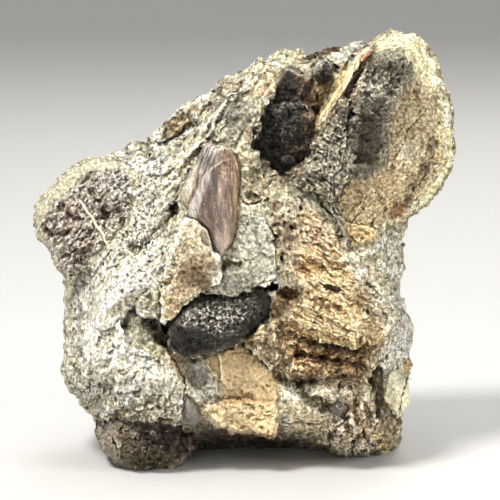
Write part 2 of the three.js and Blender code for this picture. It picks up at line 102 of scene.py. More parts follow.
def cells(x, y, scale, seed):
    """Nearest and next-nearest distance (in cells) to scattered points, and a random number of the nearest."""
    p, _, _, r = _lattice(seed)
    x, y = x / scale, y / scale
    xi, yi = np.floor(x).astype(np.int64), np.floor(y).astype(np.int64)
    d1 = np.full(x.shape, 9.0)
    d2 = np.full(x.shape, 9.0)
    ident = np.zeros(x.shape)
    for i in (-1, 0, 1):
        for j in (-1, 0, 1):
            h = p[(p[(xi + i) & 511] + yi + j) & 511]
            px, py = xi + i + r[h], yi + j + r[(h * 7 + 31) & 511]
            d = np.hypot(px - x, py - y)
            near = d < d1
            d2 = np.where(near, d1, np.minimum(d2, d))
            ident = np.where(near, r[(h * 13 + 5) & 511], ident)
            d1 = np.where(near, d, d1)
    return d1, d2, ident


def facets(x, y, scale, seed):
    """Heights of broken facets: each scattered cell is a small plane with its own tilt and step, about -1 to 1."""
    p, ca, sa, r = _lattice(seed)
    x, y = x / scale, y / scale
    xi, yi = np.floor(x).astype(np.int64), np.floor(y).astype(np.int64)
    best = np.full(x.shape, 9.0)
    out = np.zeros(x.shape)
    for i in (-1, 0, 1):
        for j in (-1, 0, 1):
            h = p[(p[(xi + i) & 511] + yi + j) & 511]
            dx, dy = x - xi - i - r[h], y - yi - j - r[(h * 7 + 31) & 511]
            d = dx * dx + dy * dy
            near = d < best
            out = np.where(near, 1.3 * (ca[h] * dx + sa[h] * dy) + 0.8 * (r[(h * 13 + 5) & 511] - 0.5), out)
            best = np.where(near, d, best)
    return out


def turned(U, V, deg, along=1.0, across=1.0):
    """Coordinates along and across a direction given in degrees anticlockwise from the right."""
    a = np.radians(deg)
    return (U * np.cos(a) - V * np.sin(a)) / along, (U * np.sin(a) + V * np.cos(a)) / across


def _window(pts, U, V, pad):
    pts = np.asarray(pts, float)
    lo, hi = pts.min(0) - pad, pts.max(0) + pad
    inside = (U >= lo[0]) & (U <= hi[0]) & (V >= lo[1]) & (V <= hi[1])
    rows, cols = np.where(inside.any(1))[0], np.where(inside.any(0))[0]
    if len(rows) == 0 or len(cols) == 0:
        return None
    return slice(rows[0], rows[-1] + 1), slice(cols[0], cols[-1] + 1)


def poly(pts, U, V, pad=14):
    """Signed distance to a closed outline, positive inside, in sheet units."""
    out = np.full(U.shape, -float(pad))
    w = _window(pts, U, V, pad) if U.ndim == 2 else Ellipsis
    if w is None:
        return out
    u, v = U[w], V[w]
    best = np.full(u.shape, 1e9)
    odd = np.zeros(u.shape, bool)
    n = len(pts)
    for i in range(n):
        (ax, ay), (bx, by) = pts[i - 1], pts[i]
        ex, ey = bx - ax, by - ay
        t = np.clip(((u - ax) * ex + (v - ay) * ey) / (ex * ex + ey * ey + 1e-12), 0, 1)
        best = np.minimum(best, (u - ax - ex * t) ** 2 + (v - ay - ey * t) ** 2)
        if ay != by:
            odd ^= ((ay > v) != (by > v)) & (u < ex * (v - ay) / (by - ay) + ax)
    best = np.sqrt(best)
    out[w] = np.where(odd, best, -best)
    return out


def line(pts, U, V, pad=16):
    """Distance to an open polyline, in sheet units, and how far along it (0 to 1)."""
    out = np.full(U.shape, float(pad))
    par = np.zeros(U.shape)
    w = _window([p[:2] for p in pts], U, V, pad) if U.ndim == 2 else Ellipsis
    if w is None:
        return out, par
    u, v = U[w], V[w]
    best = np.full(u.shape, 1e9)
    tt = np.zeros(u.shape)
    n = len(pts) - 1
    for i in range(n):
        (ax, ay), (bx, by) = pts[i][:2], pts[i + 1][:2]
        ex, ey = bx - ax, by - ay
        t = np.clip(((u - ax) * ex + (v - ay) * ey) / (ex * ex + ey * ey + 1e-12), 0, 1)
        d = (u - ax - ex * t) ** 2 + (v - ay - ey * t) ** 2
        near = d < best
        tt = np.where(near, (i + t) / n, tt)
        best = np.where(near, d, best)
    out[w] = np.sqrt(best)
    par[w] = tt
    return out, par


def spots(pts, U, V, spread=13.0):
    num = np.zeros(U.shape)
    den = np.zeros(U.shape)
    k = 1 / (2 * spread * spread)
    for a, b, h in pts:
        d = ((U - a) ** 2 + (V - b) ** 2) * k
        w = np.exp(-d) + 1e-5 / (1 + d)
        num += w * h
        den += w
    return num / den


def blur(a, r):
    """Three box blurs, about a Gaussian of sigma r samples."""
    r = max(1, int(round(r)))
    for _ in range(2):
        for ax in (0, 1):
            p = np.pad(a, [(r + 1, r) if i == ax else (0, 0) for i in (0, 1)], mode="edge")
            c = np.cumsum(p, axis=ax)
            n = a.shape[ax]
            if ax == 0:
                a = (c[2 * r + 1:2 * r + 1 + n] - c[:n]) / (2 * r + 1)
            else:
                a = (c[:, 2 * r + 1:2 * r + 1 + n] - c[:, :n]) / (2 * r + 1)
    return a


def bilinear(M, u, v, sub=SUB):
    x = np.clip((u - U0) * sub, 0, M.shape[1] - 1.001)
    y = np.clip((v - V0) * sub, 0, M.shape[0] - 1.001)
    i, j = x.astype(np.int64), y.astype(np.int64)
    fx, fy = x - i, y - j
    if M.ndim == 3:
        fx, fy = fx[..., None], fy[..., None]
    return (M[j, i] * (1 - fx) + M[j, i + 1] * fx) * (1 - fy) + (M[j + 1, i] * (1 - fx) + M[j + 1, i + 1] * fx) * fy


LEAN = np.radians(8.0)
TAPER = 500.0
SHEET_X, SHEET_Z, SHIFT_Y = 0.84, 32.0, -2.9
CL, SL = np.cos(LEAN), np.sin(LEAN)


def to_sheet(x, y, z):
    a = z - SHEET_Z
    k = TAPER / (TAPER + y * CL - a * SL)
    return 250 + (x - SHEET_X) * k / UNIT, 250 - (y * SL + a * CL) * k / UNIT


def from_sheet(u, v, h):
    y = SHIFT_Y - h
    p, q = (u - 250) * UNIT, (250 - v) * UNIT
    a = (q * (1 + y * CL / TAPER) - y * SL) / (CL + q * SL / TAPER)
    return np.stack(np.broadcast_arrays(SHEET_X + p * (1 + (y * CL - a * SL) / TAPER), y, SHEET_Z + a), -1)


# ---------------------------------------------------------------- noise in space
def vnoise3(p, seed):
    t, _, _, r = _lattice(seed)
    i = np.floor(p).astype(np.int64)
    f = p - i
    f = f * f * (3 - 2 * f)
    out = 0.0
    for a in (0, 1):
        for b in (0, 1):
            for c in (0, 1):
                h = t[(t[(t[(i[:, 0] + a) & 511] + i[:, 1] + b) & 511] + i[:, 2] + c) & 511]
                w = (f[:, 0] if a else 1 - f[:, 0]) * (f[:, 1] if b else 1 - f[:, 1]) * (f[:, 2] if c else 1 - f[:, 2])
                out = out + w * r[h]
    return out * 2 - 1


def fbm3(p, scale, octaves, seed, gain=0.5):
    s, amp, tot = 0.0, 1.0, 0.0
    for k in range(octaves):
        s = s + amp * vnoise3(p / scale * 2 ** k + 11.7 * k, seed + k)
        tot += amp
        amp *= gain
    return s / tot


def wobble(x, y, z, k):
    """A smooth, irregular swing of about one either way."""
    a = np.sin(0.9 * x + 1.3 * y - 0.7 * z + k)
    b = np.sin(-1.1 * x + 0.8 * y + 1.5 * z + 2.3 * k + 1.2 * a)
    c = np.sin(2.1 * x + 2.7 * y + 1.4 * z + 0.7 * k + 1.1 * b)
    d = np.sin(-2.6 * x + 3.1 * y - 2.2 * z + 1.9 * k + 0.9 * c)
    return 0.42 * a + 0.38 * b + 0.36 * c + 0.26 * d


def chips(p, scale, seed):
    """Broken facets in space, each with a slant of its own, and how far in from its border a place is."""
    t, _, _, r = _lattice(seed)
    q = p / scale
    i = np.floor(q).astype(np.int64)
    d1, d2, val = np.full(len(q), 9.0), np.full(len(q), 9.0), np.zeros(len(q))
    for a in (-1, 0, 1):
        for b in (-1, 0, 1):
            for c in (-1, 0, 1):
                h = t[(t[(t[(i[:, 0] + a) & 511] + i[:, 1] + b) & 511] + i[:, 2] + c) & 511]
                x = i[:, 0] + a + r[h] - q[:, 0]
                y = i[:, 1] + b + r[(h * 7 + 31) & 511] - q[:, 1]
                z = i[:, 2] + c + r[(h * 13 + 5) & 511] - q[:, 2]
                d = np.sqrt(x * x + y * y + z * z)
                near = d < d1
                d2 = np.where(near, d1, np.minimum(d2, d))
                val = np.where(near, (r[(h * 5 + 3) & 511] - 0.5) * x + (r[(h * 11 + 7) & 511] - 0.5) * y + (r[(h * 17 + 13) & 511] - 0.5) * z + 0.5 * (r[(h * 19 + 9) & 511] - 0.5), val)
                d1 = np.where(near, d, d1)
    return 2 * val, d2 - d1


def slope_of(F, sub):
    """How steep a map of heights is, in mm per mm."""
    g = np.gradient(F)
    return blur(np.hypot(g[0], g[1]) * sub / UNIT, 2)


# ---------------------------------------------------------------- surface nets
def net(shape, xs, ys, zs):
    """Quads around the surface shape(x, y, z) = 0 over a grid of points, negative inside."""
    nx, ny, nz = len(xs), len(ys), len(zs)
    X, Y, Z = np.meshgrid(xs, ys, zs, indexing="ij")
    F = shape(X.ravel(), Y.ravel(), Z.ravel()).reshape(nx, ny, nz)
    F = np.where(np.abs(F) < 1e-6, 1e-6, F)
    neg = F < 0
    count = np.zeros((nx - 1, ny - 1, nz - 1), np.int8)
    for a in (0, 1):
        for b in (0, 1):
            for c in (0, 1):
                count += neg[a:nx - 1 + a, b:ny - 1 + b, c:nz - 1 + c]
    live = (count > 0) & (count < 8)
    idx = np.full(live.shape, -1, np.int64)
    idx[live] = np.arange(live.sum())
    acc = np.zeros((live.sum(), 3))
    num = np.zeros(live.sum())
    ii, jj, kk = np.where(live)
    corner = [(a, b, c) for a in (0, 1) for b in (0, 1) for c in (0, 1)]
    for p in corner:
        for ax in range(3):
            if p[ax]:
                continue
            q = list(p)
            q[ax] = 1
            f0, f1 = F[ii + p[0], jj + p[1], kk + p[2]], F[ii + q[0], jj + q[1], kk + q[2]]
            hit = (f0 < 0) != (f1 < 0)
            t = np.where(hit, f0 / np.where(hit, f0 - f1, 1), 0)
            P0 = np.stack([xs[ii + p[0]], ys[jj + p[1]], zs[kk + p[2]]], -1)
            P1 = np.stack([xs[ii + q[0]], ys[jj + q[1]], zs[kk + q[2]]], -1)
            acc += np.where(hit[:, None], P0 + (P1 - P0) * t[:, None], 0)
            num += hit
    verts = acc / num[:, None]
    quads = []
    for ax in range(3):
        b, c = (ax + 1) % 3, (ax + 2) % 3
        sl0, sl1 = [slice(None)] * 3, [slice(None)] * 3
        sl0[ax], sl1[ax] = slice(0, -1), slice(1, None)
        s0, s1 = neg[tuple(sl0)], neg[tuple(sl1)]
        e = np.array(np.where(s0 != s1))
        n = [nx, ny, nz]
        ok = (e[b] > 0) & (e[b] < n[b] - 1) & (e[c] > 0) & (e[c] < n[c] - 1)
        e = e[:, ok]
        flip = s0[tuple(e)]

        def cell(db, dc):
            g = e.copy()
            g[b] -= db
            g[c] -= dc
            return idx[tuple(g)]

        q = np.stack([cell(1, 1), cell(0, 1), cell(0, 0), cell(1, 0)], 1)
        q[~flip] = q[~flip][:, ::-1]
        quads.append(q)
    return verts, np.concatenate(quads)


def relax(verts, quads, times=2, k=0.5):
    n = len(verts)
    for _ in range(times):
        s, c = np.zeros((n, 3)), np.zeros(n)
        for a, b in ((0, 1), (1, 2), (2, 3), (3, 0)):
            for d in range(3):
                s[:, d] += np.bincount(quads[:, a], verts[quads[:, b], d], n) + np.bincount(quads[:, b], verts[quads[:, a], d], n)
            c += np.bincount(quads[:, a], minlength=n) + np.bincount(quads[:, b], minlength=n)
        verts = verts * (1 - k) + s / np.maximum(c, 1)[:, None] * k
    return verts


def onto(shape, verts, times=2, far=0.6):
    """Moves points along the gradient onto the surface."""
    e = 0.05
    for _ in range(times):
        f = shape(*verts.T)
        g = np.stack([shape(*(verts + d).T) - shape(*(verts - d).T) for d in (np.array([e, 0, 0]), np.array([0, e, 0]), np.array([0, 0, e]))], -1) / (2 * e)
        step = -f[:, None] * g / np.maximum((g * g).sum(1), 1e-9)[:, None]
        l = np.linalg.norm(step, axis=1, keepdims=True)
        verts = verts + step * np.minimum(1, far / np.maximum(l, 1e-9))
    return verts


def face_normals(verts, quads):
    a, b = verts[quads[:, 2]] - verts[quads[:, 0]], verts[quads[:, 3]] - verts[quads[:, 1]]
    return np.cross(a, b)


def vertex_normals(verts, quads):
    fn = face_normals(verts, quads)
    n = np.zeros_like(verts)
    for a in range(4):
        for d in range(3):
            n[:, d] += np.bincount(quads[:, a], fn[:, d], len(verts))
    return n / np.maximum(np.linalg.norm(n, axis=1, keepdims=True), 1e-12)


def split3(verts, quads, pick):
    """Splits the picked quads three ways each way; the others keep their corners and gain the new points on shared edges."""
    n = len(verts)
    e = np.stack([quads, np.roll(quads, -1, 1)], -1)                      # (m, 4, 2)
    lo, hi = e.min(-1), e.max(-1)
    key = lo * n + hi
    cut = np.unique(key[pick])
    cl, ch = cut // n, cut % n
    third = np.stack([verts[cl] * 2 / 3 + verts[ch] / 3, verts[cl] / 3 + verts[ch] * 2 / 3], 1)   # near lo, near hi
    base = n
    edge_points = third.reshape(-1, 3)

    def on_edge(k):
        return np.searchsorted(cut, k)

    P = quads[pick]
    K = key[pick]
    fwd = e[pick][:, :, 0] < e[pick][:, :, 1]
    pos = on_edge(K)
    first = base + pos * 2 + np.where(fwd, 0, 1)      # the point nearest each edge's own start
    second = base + pos * 2 + np.where(fwd, 1, 0)
    m = len(P)
    ib = base + len(edge_points)
    a, b, c, d = (verts[P[:, i]] for i in range(4))
    inner = []
    for s, t in ((1 / 3, 1 / 3), (2 / 3, 1 / 3), (2 / 3, 2 / 3), (1 / 3, 2 / 3)):
        inner.append(a * (1 - s) * (1 - t) + b * s * (1 - t) + c * s * t + d * (1 - s) * t)
    inner = np.stack(inner, 1).reshape(-1, 3)
    I = ib + np.arange(m)[:, None] * 4 + np.arange(4)[None]
    A, B, C_, D = P.T
    ab1, ab2, bc1, bc2, cd1, cd2, da1, da2 = first[:, 0], second[:, 0], first[:, 1], second[:, 1], first[:, 2], second[:, 2], first[:, 3], second[:, 3]
    i0, i1, i2, i3 = I.T
    new = np.concatenate([np.stack(q, 1) for q in (
        (A, ab1, i0, da2), (ab1, ab2, i1, i0), (ab2, B, bc1, i1),
        (da2, i0, i3, da1), (i0, i1, i2, i3), (i1, bc1, bc2, i2),
        (da1, i3, cd2, D), (i3, i2, cd1, cd2), (i2, bc2, C_, cd1))])
    rest = ~pick
    R, RK = quads[rest], key[rest]
    where = np.minimum(on_edge(RK), len(cut) - 1)
    has = cut[where] == RK
    plain = ~has.any(1)
    plain_quads = R[plain]
    odd = []
    fr = (e[rest][:, :, 0] < e[rest][:, :, 1])[~plain]
    for q, h, w, f in zip(R[~plain], has[~plain], where[~plain], fr):
        loop = []
        for i in range(4):
            loop.append(int(q[i]))
            if h[i]:
                p = base + 2 * int(w[i])
                loop += [p, p + 1] if f[i] else [p + 1, p]
        odd.append(loop)
    return np.concatenate([verts, edge_points, inner]), np.concatenate([new, plain_quads]), odd


class Sheet:
    """A map over part of the sheet, looked up at any place."""

    def __init__(self, M, u0, v0, sub):
        self.M, self.u0, self.v0, self.sub = M, u0, v0, sub

    def __call__(self, u, v):
        M = self.M
        x = np.clip((u - self.u0) * self.sub, 0, M.shape[1] - 1.001)
        y = np.clip((v - self.v0) * self.sub, 0, M.shape[0] - 1.001)
        i, j = x.astype(np.int64), y.astype(np.int64)
        fx, fy = x - i, y - j
        if M.ndim == 3:
            fx, fy = fx[..., None], fy[..., None]
        return (M[j, i] * (1 - fx) + M[j, i + 1] * fx) * (1 - fy) + (M[j + 1, i] * (1 - fx) + M[j + 1, i + 1] * fx) * fy



# ---- outlines, in sheet units
BLOCK_OUTLINE = [
    [366, 42], [372, 42], [380, 38], [384, 35.5], [398, 37], [410, 40], [417, 48], [425, 64], [430, 80], [438, 96],
    [441, 118], [442, 156], [438, 166], [431, 178], [421, 192], [408, 205], [400, 213], [398.5, 224],
    [400.2, 242], [402.5, 262], [402, 270], [398.2, 277], [397, 290], [400, 301], [405, 310], [409, 326],
    [410.5, 336], [407.2, 346], [409, 357], [413, 366], [412, 373], [409, 379], [409, 405], [405, 409],
    [404, 414], [401, 418], [400.6, 430], [397, 436], [396, 443], [392, 449], [383, 454], [370, 455],
    [356, 456.5], [343, 456.5], [333, 453.5], [326, 447], [318, 443.6], [304, 440.6], [290, 438.6], [264, 439.4],
    [240, 439.6], [222, 440.5], [208, 442.5], [197, 445.5], [190, 448], [180, 453], [165, 458], [145, 459],
    [128, 456], [116, 450], [106, 441], [101, 430], [99.6, 420], [94, 413], [86, 405.4], [75, 392],
    [65.6, 380], [66.6, 368], [67.4, 345], [69.8, 325], [73.6, 308], [71.6, 296], [75, 288], [76, 281], [71, 279],
    [69, 270], [62, 262], [58, 251], [48, 238], [43, 228], [41, 214], [44, 204], [50, 198], [62, 187],
    [76, 172], [86, 160.5], [98, 150.4], [110, 148.6], [120, 146.4], [125, 139], [131, 135.6], [140, 136.4],
    [147, 137.6], [152, 133], [157.5, 126], [161.5, 118], [166.5, 111.6], [180, 101.6], [194, 93.4], [208, 86.2],
    [213.6, 77.6], [220.6, 70.6], [234, 69.6], [240, 66.4], [247.6, 62.6], [251.6, 54.6], [257.6, 49.8], [264, 51.4],
    [270, 51.6], [277, 46.8], [286, 43.8], [296, 45.8], [304, 47.8], [316, 49.6], [324, 47.8], [332, 45.8], [342, 47.8],
    [350, 41.6], [358, 37.8], [363, 39.8],
]
LOBE_OUTLINE = [
    [352, 176], [358, 150], [362, 100], [368, 60], [372, 43.5], [380, 38.5], [384, 34], [398, 35], [410, 36], [418, 40],
    [426, 48], [434, 62], [438, 78], [446, 94], [449, 115], [450, 135], [451.6, 156], [450, 166],
    [444, 176], [441, 184], [430, 198], [418, 210], [410, 212], [403, 219], [399, 225], [390, 226],
    [379, 229], [377, 237], [368, 244], [357, 247], [349, 240], [344, 226], [339.6, 211], [337.6, 197],
    [341, 185],
]
SPONGY_OUTLINE = [
    [356, 72], [366, 60], [377, 54], [390, 51], [402, 54], [409, 62], [413, 72], [411, 84], [405, 92],
    [400, 101], [394, 112], [389, 122], [386, 135], [388, 150], [386.5, 162], [379, 171], [368, 178.5],
    [352, 181], [342, 184], [339, 196], [331, 200], [318, 197], [300, 191], [289, 184], [291, 173],
    [303, 166], [312, 158], [312, 145], [320, 132], [330, 116], [338, 101], [345, 95], [350, 84],
]
BLACK_OUTLINE = [
    [286, 68.6], [297, 72], [311, 77.6], [308.6, 87], [302.6, 97], [309, 106], [317, 117], [318.4, 130], [314.4, 144], [307, 156],
    [297, 166], [285.5, 177], [277.5, 175.4], [268, 166], [259.6, 154], [256, 141], [258, 127], [264.4, 111], [271, 98],
    [277.6, 84],
]
BLADE_OUTLINE = [
    [362, 50], [368, 47.5], [374, 50], [374, 56], [365, 64], [356, 76], [347, 91], [337, 103], [326, 119], [317, 133],
    [311, 132], [316, 121], [328, 100], [340, 80], [352, 62],
]
ORANGE_OUTLINE = [
    [301, 215], [312, 209], [322, 219], [336, 239], [350, 254], [366, 268], [382, 284], [393, 299],
    [396, 318], [391, 332], [382, 343], [373, 349], [371, 364], [362, 377], [345, 380], [325, 379],
    [305, 377], [290, 371], [284, 352], [281, 336], [277, 325], [286, 312], [299, 301], [300, 288],
    [295, 273], [293, 259], [298, 245], [299, 230],
]
OCHRE_OUTLINE = [
    [205, 357], [214, 353], [225, 350], [240, 343.5], [250, 350], [262, 362], [274, 374], [278.5, 381], [278.5, 402],
    [277.5, 420], [275.5, 436], [262, 433.5], [245, 432.5], [230, 431], [218, 426], [208, 417], [201.5, 411], [206, 404],
    [221, 400], [222, 392], [219, 381], [213, 373], [207, 366],
]
LEFT_OUTLINE = [
    [36.2, 222], [35.7, 211], [37.7, 203], [42.7, 197], [55, 184.5], [71, 169.5], [84, 161], [98, 160], [112, 161],
    [125, 166], [139, 180], [133, 195], [135, 206], [126, 225], [107, 245], [96, 256], [84, 270],
    [77, 279], [66.5, 279.6], [65.6, 273], [56, 262.4], [53.6, 251.6], [41.8, 240], [37.8, 231],
]
CHIP_OUTLINE = [
    [388, 374], [395, 369], [402, 371], [408.6, 379], [408.6, 404], [404, 409], [399.5, 416.5], [393, 411], [387, 402], [383.5, 396], [385, 384],
]
TOOTH_OUTLINE = [
    [204, 144], [209, 143.2], [215, 144], [218, 147], [228, 149], [237.5, 155], [241.7, 166], [241, 185], [239.4, 203],
    [237.7, 220], [235.2, 237], [231.7, 243.5], [225.5, 250.5], [221.8, 256], [217.4, 252.8], [212.5, 246.7], [210, 236.7],
    [207.5, 230.8], [201.7, 225], [196.7, 220.8], [186.7, 217.4], [188, 209], [182, 202], [178, 194], [183, 186], [190, 172], [197, 158],
]
RIB_OUTLINE = [
    [169, 327], [173, 321], [181.7, 311.7], [190, 305], [200, 298], [206.7, 294], [218, 296], [231.7, 297], [245, 292], [256, 288], [264, 289.5],
    [270, 297], [270.5, 308], [267, 319], [258, 328.5], [247, 337.5], [235, 346], [219, 352], [202, 357],
    [189, 357], [179, 354.4], [171, 345], [168, 336],
]
KNOB_OUTLINE = [
    [100, 424], [99.4, 438], [104.4, 450], [114.6, 460], [127, 467], [145, 469.4], [165, 468], [179.6, 462.4],
    [188, 453.6], [191.6, 443], [190, 433], [181, 425], [163, 421], [140, 420], [118, 420],
]

# ---- spot heights (u, v, mm)
BLOCK_FACE = [
    [45, 205, 9], [60, 185, 10], [85, 165, 11], [110, 155, 11.5], [135, 142, 11], [150, 142, 11],
    [45, 235, 8], [60, 265, 8.5], [75, 285, 10], [80, 200, 12], [80, 240, 11.5], [110, 180, 13],
    [110, 215, 12], [120, 240, 13.5], [140, 170, 14.5], [140, 200, 14.5], [140, 225, 15], [165, 170, 17],
    [165, 195, 17.5], [160, 220, 17], [150, 245, 18], [130, 260, 18], [185, 160, 19], [180, 185, 19.5],
    [185, 205, 20], [100, 280, 15], [85, 310, 14], [80, 345, 13.5], [75, 380, 11.5], [110, 300, 18],
    [130, 290, 19.5], [145, 275, 20], [150, 300, 18.5], [135, 315, 15], [150, 330, 14], [160, 345, 15],
    [120, 340, 18], [100, 360, 16.5], [130, 370, 19], [155, 375, 19.5], [90, 395, 12.5], [115, 405, 16],
    [145, 405, 17.5], [170, 400, 17.5], [110, 425, 13], [145, 425, 16.4], [175, 425, 16], [175, 250, 21.5],
    [190, 240, 22.5], [190, 265, 23.5], [200, 275, 22], [180, 290, 22], [170, 310, 20.5], [210, 270, 22.5],
    [215, 285, 20.5], [215, 170, 19], [215, 200, 19.5], [220, 235, 19], [250, 160, 19], [255, 190, 20],
    [250, 215, 20], [245, 240, 20], [260, 240, 20.5], [265, 260, 20.5], [235, 262, 18.5], [235, 280, 20.5],
    [225, 295, 20], [255, 280, 20.5], [270, 275, 18.5], [205, 130, 18], [225, 110, 18.5], [245, 95, 18.5],
    [262, 80, 17], [270, 65, 14], [255, 120, 19], [250, 140, 18.5], [235, 140, 19], [165, 118, 11],
    [180, 112, 12], [200, 100, 12.5], [215, 88, 12], [230, 78, 12], [245, 70, 12.5], [257, 58, 10],
    [175, 135, 11], [190, 128, 12], [160, 142, 11], [275, 52, 8], [290, 52, 8], [310, 52, 7], [330, 52, 7],
    [350, 46, 8.5], [365, 42, 9], [380, 42, 8], [300, 65, 10], [320, 65, 10.5], [340, 65, 11.5],
    [325, 95, 10], [310, 110, 9.5], [335, 80, 11], [290, 80, 10], [285, 120, 8], [275, 150, 8],
    [300, 140, 9], [285, 170, 10], [350, 80, 12], [370, 70, 12], [395, 70, 11], [370, 110, 13],
    [360, 145, 13.5], [340, 120, 12.5], [330, 150, 13], [330, 175, 14], [300, 190, 16.5], [285, 200, 18],
    [300, 210, 17], [275, 185, 19], [270, 215, 19], [285, 230, 17.5], [290, 250, 18.2], [275, 250, 19],
    [285, 265, 17.6], [285, 290, 17], [275, 295, 16.5], [410, 80, 6], [430, 110, 4.5], [430, 150, 4.5],
    [400, 140, 7], [380, 190, 9], [410, 190, 6], [360, 210, 10.5], [390, 215, 7], [345, 200, 12],
    [335, 215, 15], [350, 240, 13.5], [370, 240, 11], [385, 240, 11.5], [395, 260, 11], [320, 240, 15],
    [340, 270, 16.5], [365, 270, 16.6], [365, 290, 16], [385, 280, 13.4], [390, 300, 12.8], [310, 290, 18], [340, 320, 16.5], [375, 325, 13.5],
    [400, 325, 11], [400, 355, 10], [388, 355, 11], [370, 355, 13], [340, 355, 13], [310, 350, 14],
    [290, 345, 16], [268, 340, 18.5], [265, 355, 17.5], [275, 370, 14.5], [300, 370, 13], [330, 375, 13],
    [355, 378, 13], [190, 335, 16], [220, 325, 16], [250, 315, 15.5], [175, 350, 15.5], [240, 370, 13],
    [260, 395, 13], [215, 410, 13], [240, 425, 13.2], [200, 370, 15], [190, 385, 15.5], [210, 390, 15.5],
    [190, 410, 15], [205, 425, 13.4], [230, 437, 11.5], [270, 437, 11.5], [300, 437, 11.5], [290, 385, 14.5],
    [290, 410, 15], [310, 395, 14.5], [325, 392, 15.5], [310, 425, 14.5], [335, 405, 14], [335, 430, 14],
    [355, 395, 14.5], [355, 420, 14.5], [350, 445, 12], [370, 400, 14], [370, 430, 13], [378, 395, 10],
    [385, 420, 9], [395, 395, 9], [390, 440, 8], [405, 400, 6],
]
LOBE_FACE = [
    [385, 45, 9.0], [400, 58, 10.2], [420, 58, 8.6], [430, 100, 10], [408, 108, 12.2], [430, 150, 10.5],
    [395, 160, 13.4], [400, 190, 12.4], [370, 200, 14.0], [360, 228, 13.8], [390, 213, 10.9], [440, 170, 8],
    [360, 120, 12], [372, 240, 11.5], [346, 205, 13.6], [417, 135, 12], [380, 180, 14.4], [420, 190, 10.2],
]
SPONGY_FACE = [
    [365, 75, 15.5], [381, 63, 16], [376, 80, 16.5], [400, 70, 15.2], [392, 88, 16], [380, 98, 17.5], [365, 108, 16.6], [341, 106, 16.5],
    [367, 135, 19], [370, 152, 19], [350, 165, 16.5], [333, 132, 15.5], [325, 155, 15.8], [335, 178, 17],
    [305, 182, 17.8], [350, 125, 15.4], [385, 118, 16], [366, 172, 16.2], [318, 190, 17.8],
]
BLACK_FACE = [
    [292, 76, 14.2], [283, 92, 13.6], [290, 92, 14.4], [286, 104, 14.4], [294, 118, 14.8], [272, 125, 13.4], [290, 145, 13.8],
    [268, 155, 12.4], [303, 140, 13.0], [285, 167, 12.0], [303, 160, 11.8], [262, 140, 12.4], [280, 118, 15],
]
BLADE_FACE = [[368, 54, 15.4], [350, 80, 15.8], [332, 104, 15.2], [315, 130, 13.6]]
ORANGE_FACE = [
    [310, 215, 17.6], [305, 235, 18.2], [325, 240, 18.8], [308, 262, 19], [340, 262, 19.2], [345, 290, 20.8], [372, 297, 16.6], [390, 310, 13.0],
    [350, 325, 21.4], [312, 318, 20.6], [378, 335, 15.4], [292, 318, 18.6], [330, 335, 21.2], [305, 285, 19.6], [325, 300, 20.6],
]
OCHRE_FACE = [
    [228, 362, 15.6], [255, 374, 15.4], [240, 392, 14.6], [265, 392, 14.8], [216, 360, 15.0], [240, 408, 16.2], [266, 418, 15],
    [213, 411, 15.4], [238, 427, 13.8], [242, 350, 14.6],
]
LEFT_FACE = [
    [45, 205, 9.4], [62, 192, 10.8], [60, 215, 10.6], [80, 178, 11.4], [80, 198, 12.4], [80, 235, 11.6], [103, 172, 12.6], [105, 213, 12.0],
    [120, 185, 14.3], [124, 200, 14.6], [110, 238, 13.8], [60, 250, 9.6], [70, 265, 9.8], [46, 228, 8.6], [95, 225, 12.4],
]
CHIP_FACE = [[390, 382, 11.2], [395, 402, 10.0], [402, 392, 8.8], [408, 382, 6.8], [406, 402, 7.0]]
TOOTH_AXIS = [[143, 218, 18], [155, 214, 22], [165, 213, 27], [185, 212, 30], [200, 212, 29.5], [217, 214, 28], [230, 221, 17.5], [243, 221.5, 12.5], [257, 221.5, 8]]


def rgb(*c):
    return np.array(c, float) / 255


def used(m):
    """The window of a mask that is above zero."""
    rows, cols = np.where(m.max(1) > 1e-4)[0], np.where(m.max(0) > 1e-4)[0]
    if len(rows) == 0:
        return None
    return slice(rows[0], rows[-1] + 1), slice(cols[0], cols[-1] + 1)


class Layer:
    """A height in millimetres and a colour over the sheet."""

    def __init__(self, H, colour):
        self.H = H
        self.C = np.ones(H.shape + (3,)) * rgb(*colour)
        self.R = np.full(H.shape, 0.85)

    def paint(self, m, colour, k=1.0):
        w = used(m)
        if w is None:
            return
        m = (np.clip(m[w], 0, 1) * k)[..., None]
        self.C[w] += (rgb(*colour) - self.C[w]) * m

    def tint(self, m, k):
        w = used(m)
        if w is not None:
            self.C[w] *= 1 + (k - 1) * np.clip(m[w], 0, 1)[..., None]

    def crack(self, pts, U, V, width, depth, dark=0.6, taper=True):
        d, t = line(pts, U, V)
        w = width * (0.45 + 0.55 * np.sin(np.pi * np.clip(t, 0.02, 0.98)) ** 0.5) if taper else width + 0 * t
        near = np.nonzero(d < w * 1.3)
        u, v = U[near], V[near]
        n = gnoise(u / 5.3, v / 5.3, 91) + 0.7 * gnoise(u / 2.1, v / 2.1, 92)
        k = sstep(1.0, 0.2, d[near] / (w[near] * np.clip(0.75 + 0.9 * n, 0.3, 1.3))) * np.clip(0.85 + 0.7 * n, 0.2, 1)
        m = np.zeros(U.shape)
        m[near] = k
        self.H = self.H - depth * m
        # the darkening along the crack is painted shade, with some dirt
        self.tint(m, 1 - 0.85 * dark)
        return m

    def ridge(self, pts, U, V, width, height, colour=None, k=0.5):
        d, t = line(pts, U, V)
        m = sstep(1.0, 0.0, d / width) * np.sin(np.pi * np.clip(t, 0.03, 0.97)) ** 0.4
        near = np.nonzero(m > 0)
        u, v = U[near], V[near]
        m[near] *= np.clip(0.8 + 0.9 * gnoise(u / 4.7, v / 4.7, 93) + 0.5 * gnoise(u / 2.0, v / 2.0, 94), 0.1, 1.1)
        self.H = self.H + height * m
        if colour is not None:
            self.paint(m, colour, k)
        return m


def soft(pts, U, V, w=2.0):
    return sstep(-w, w, poly(pts, U, V))


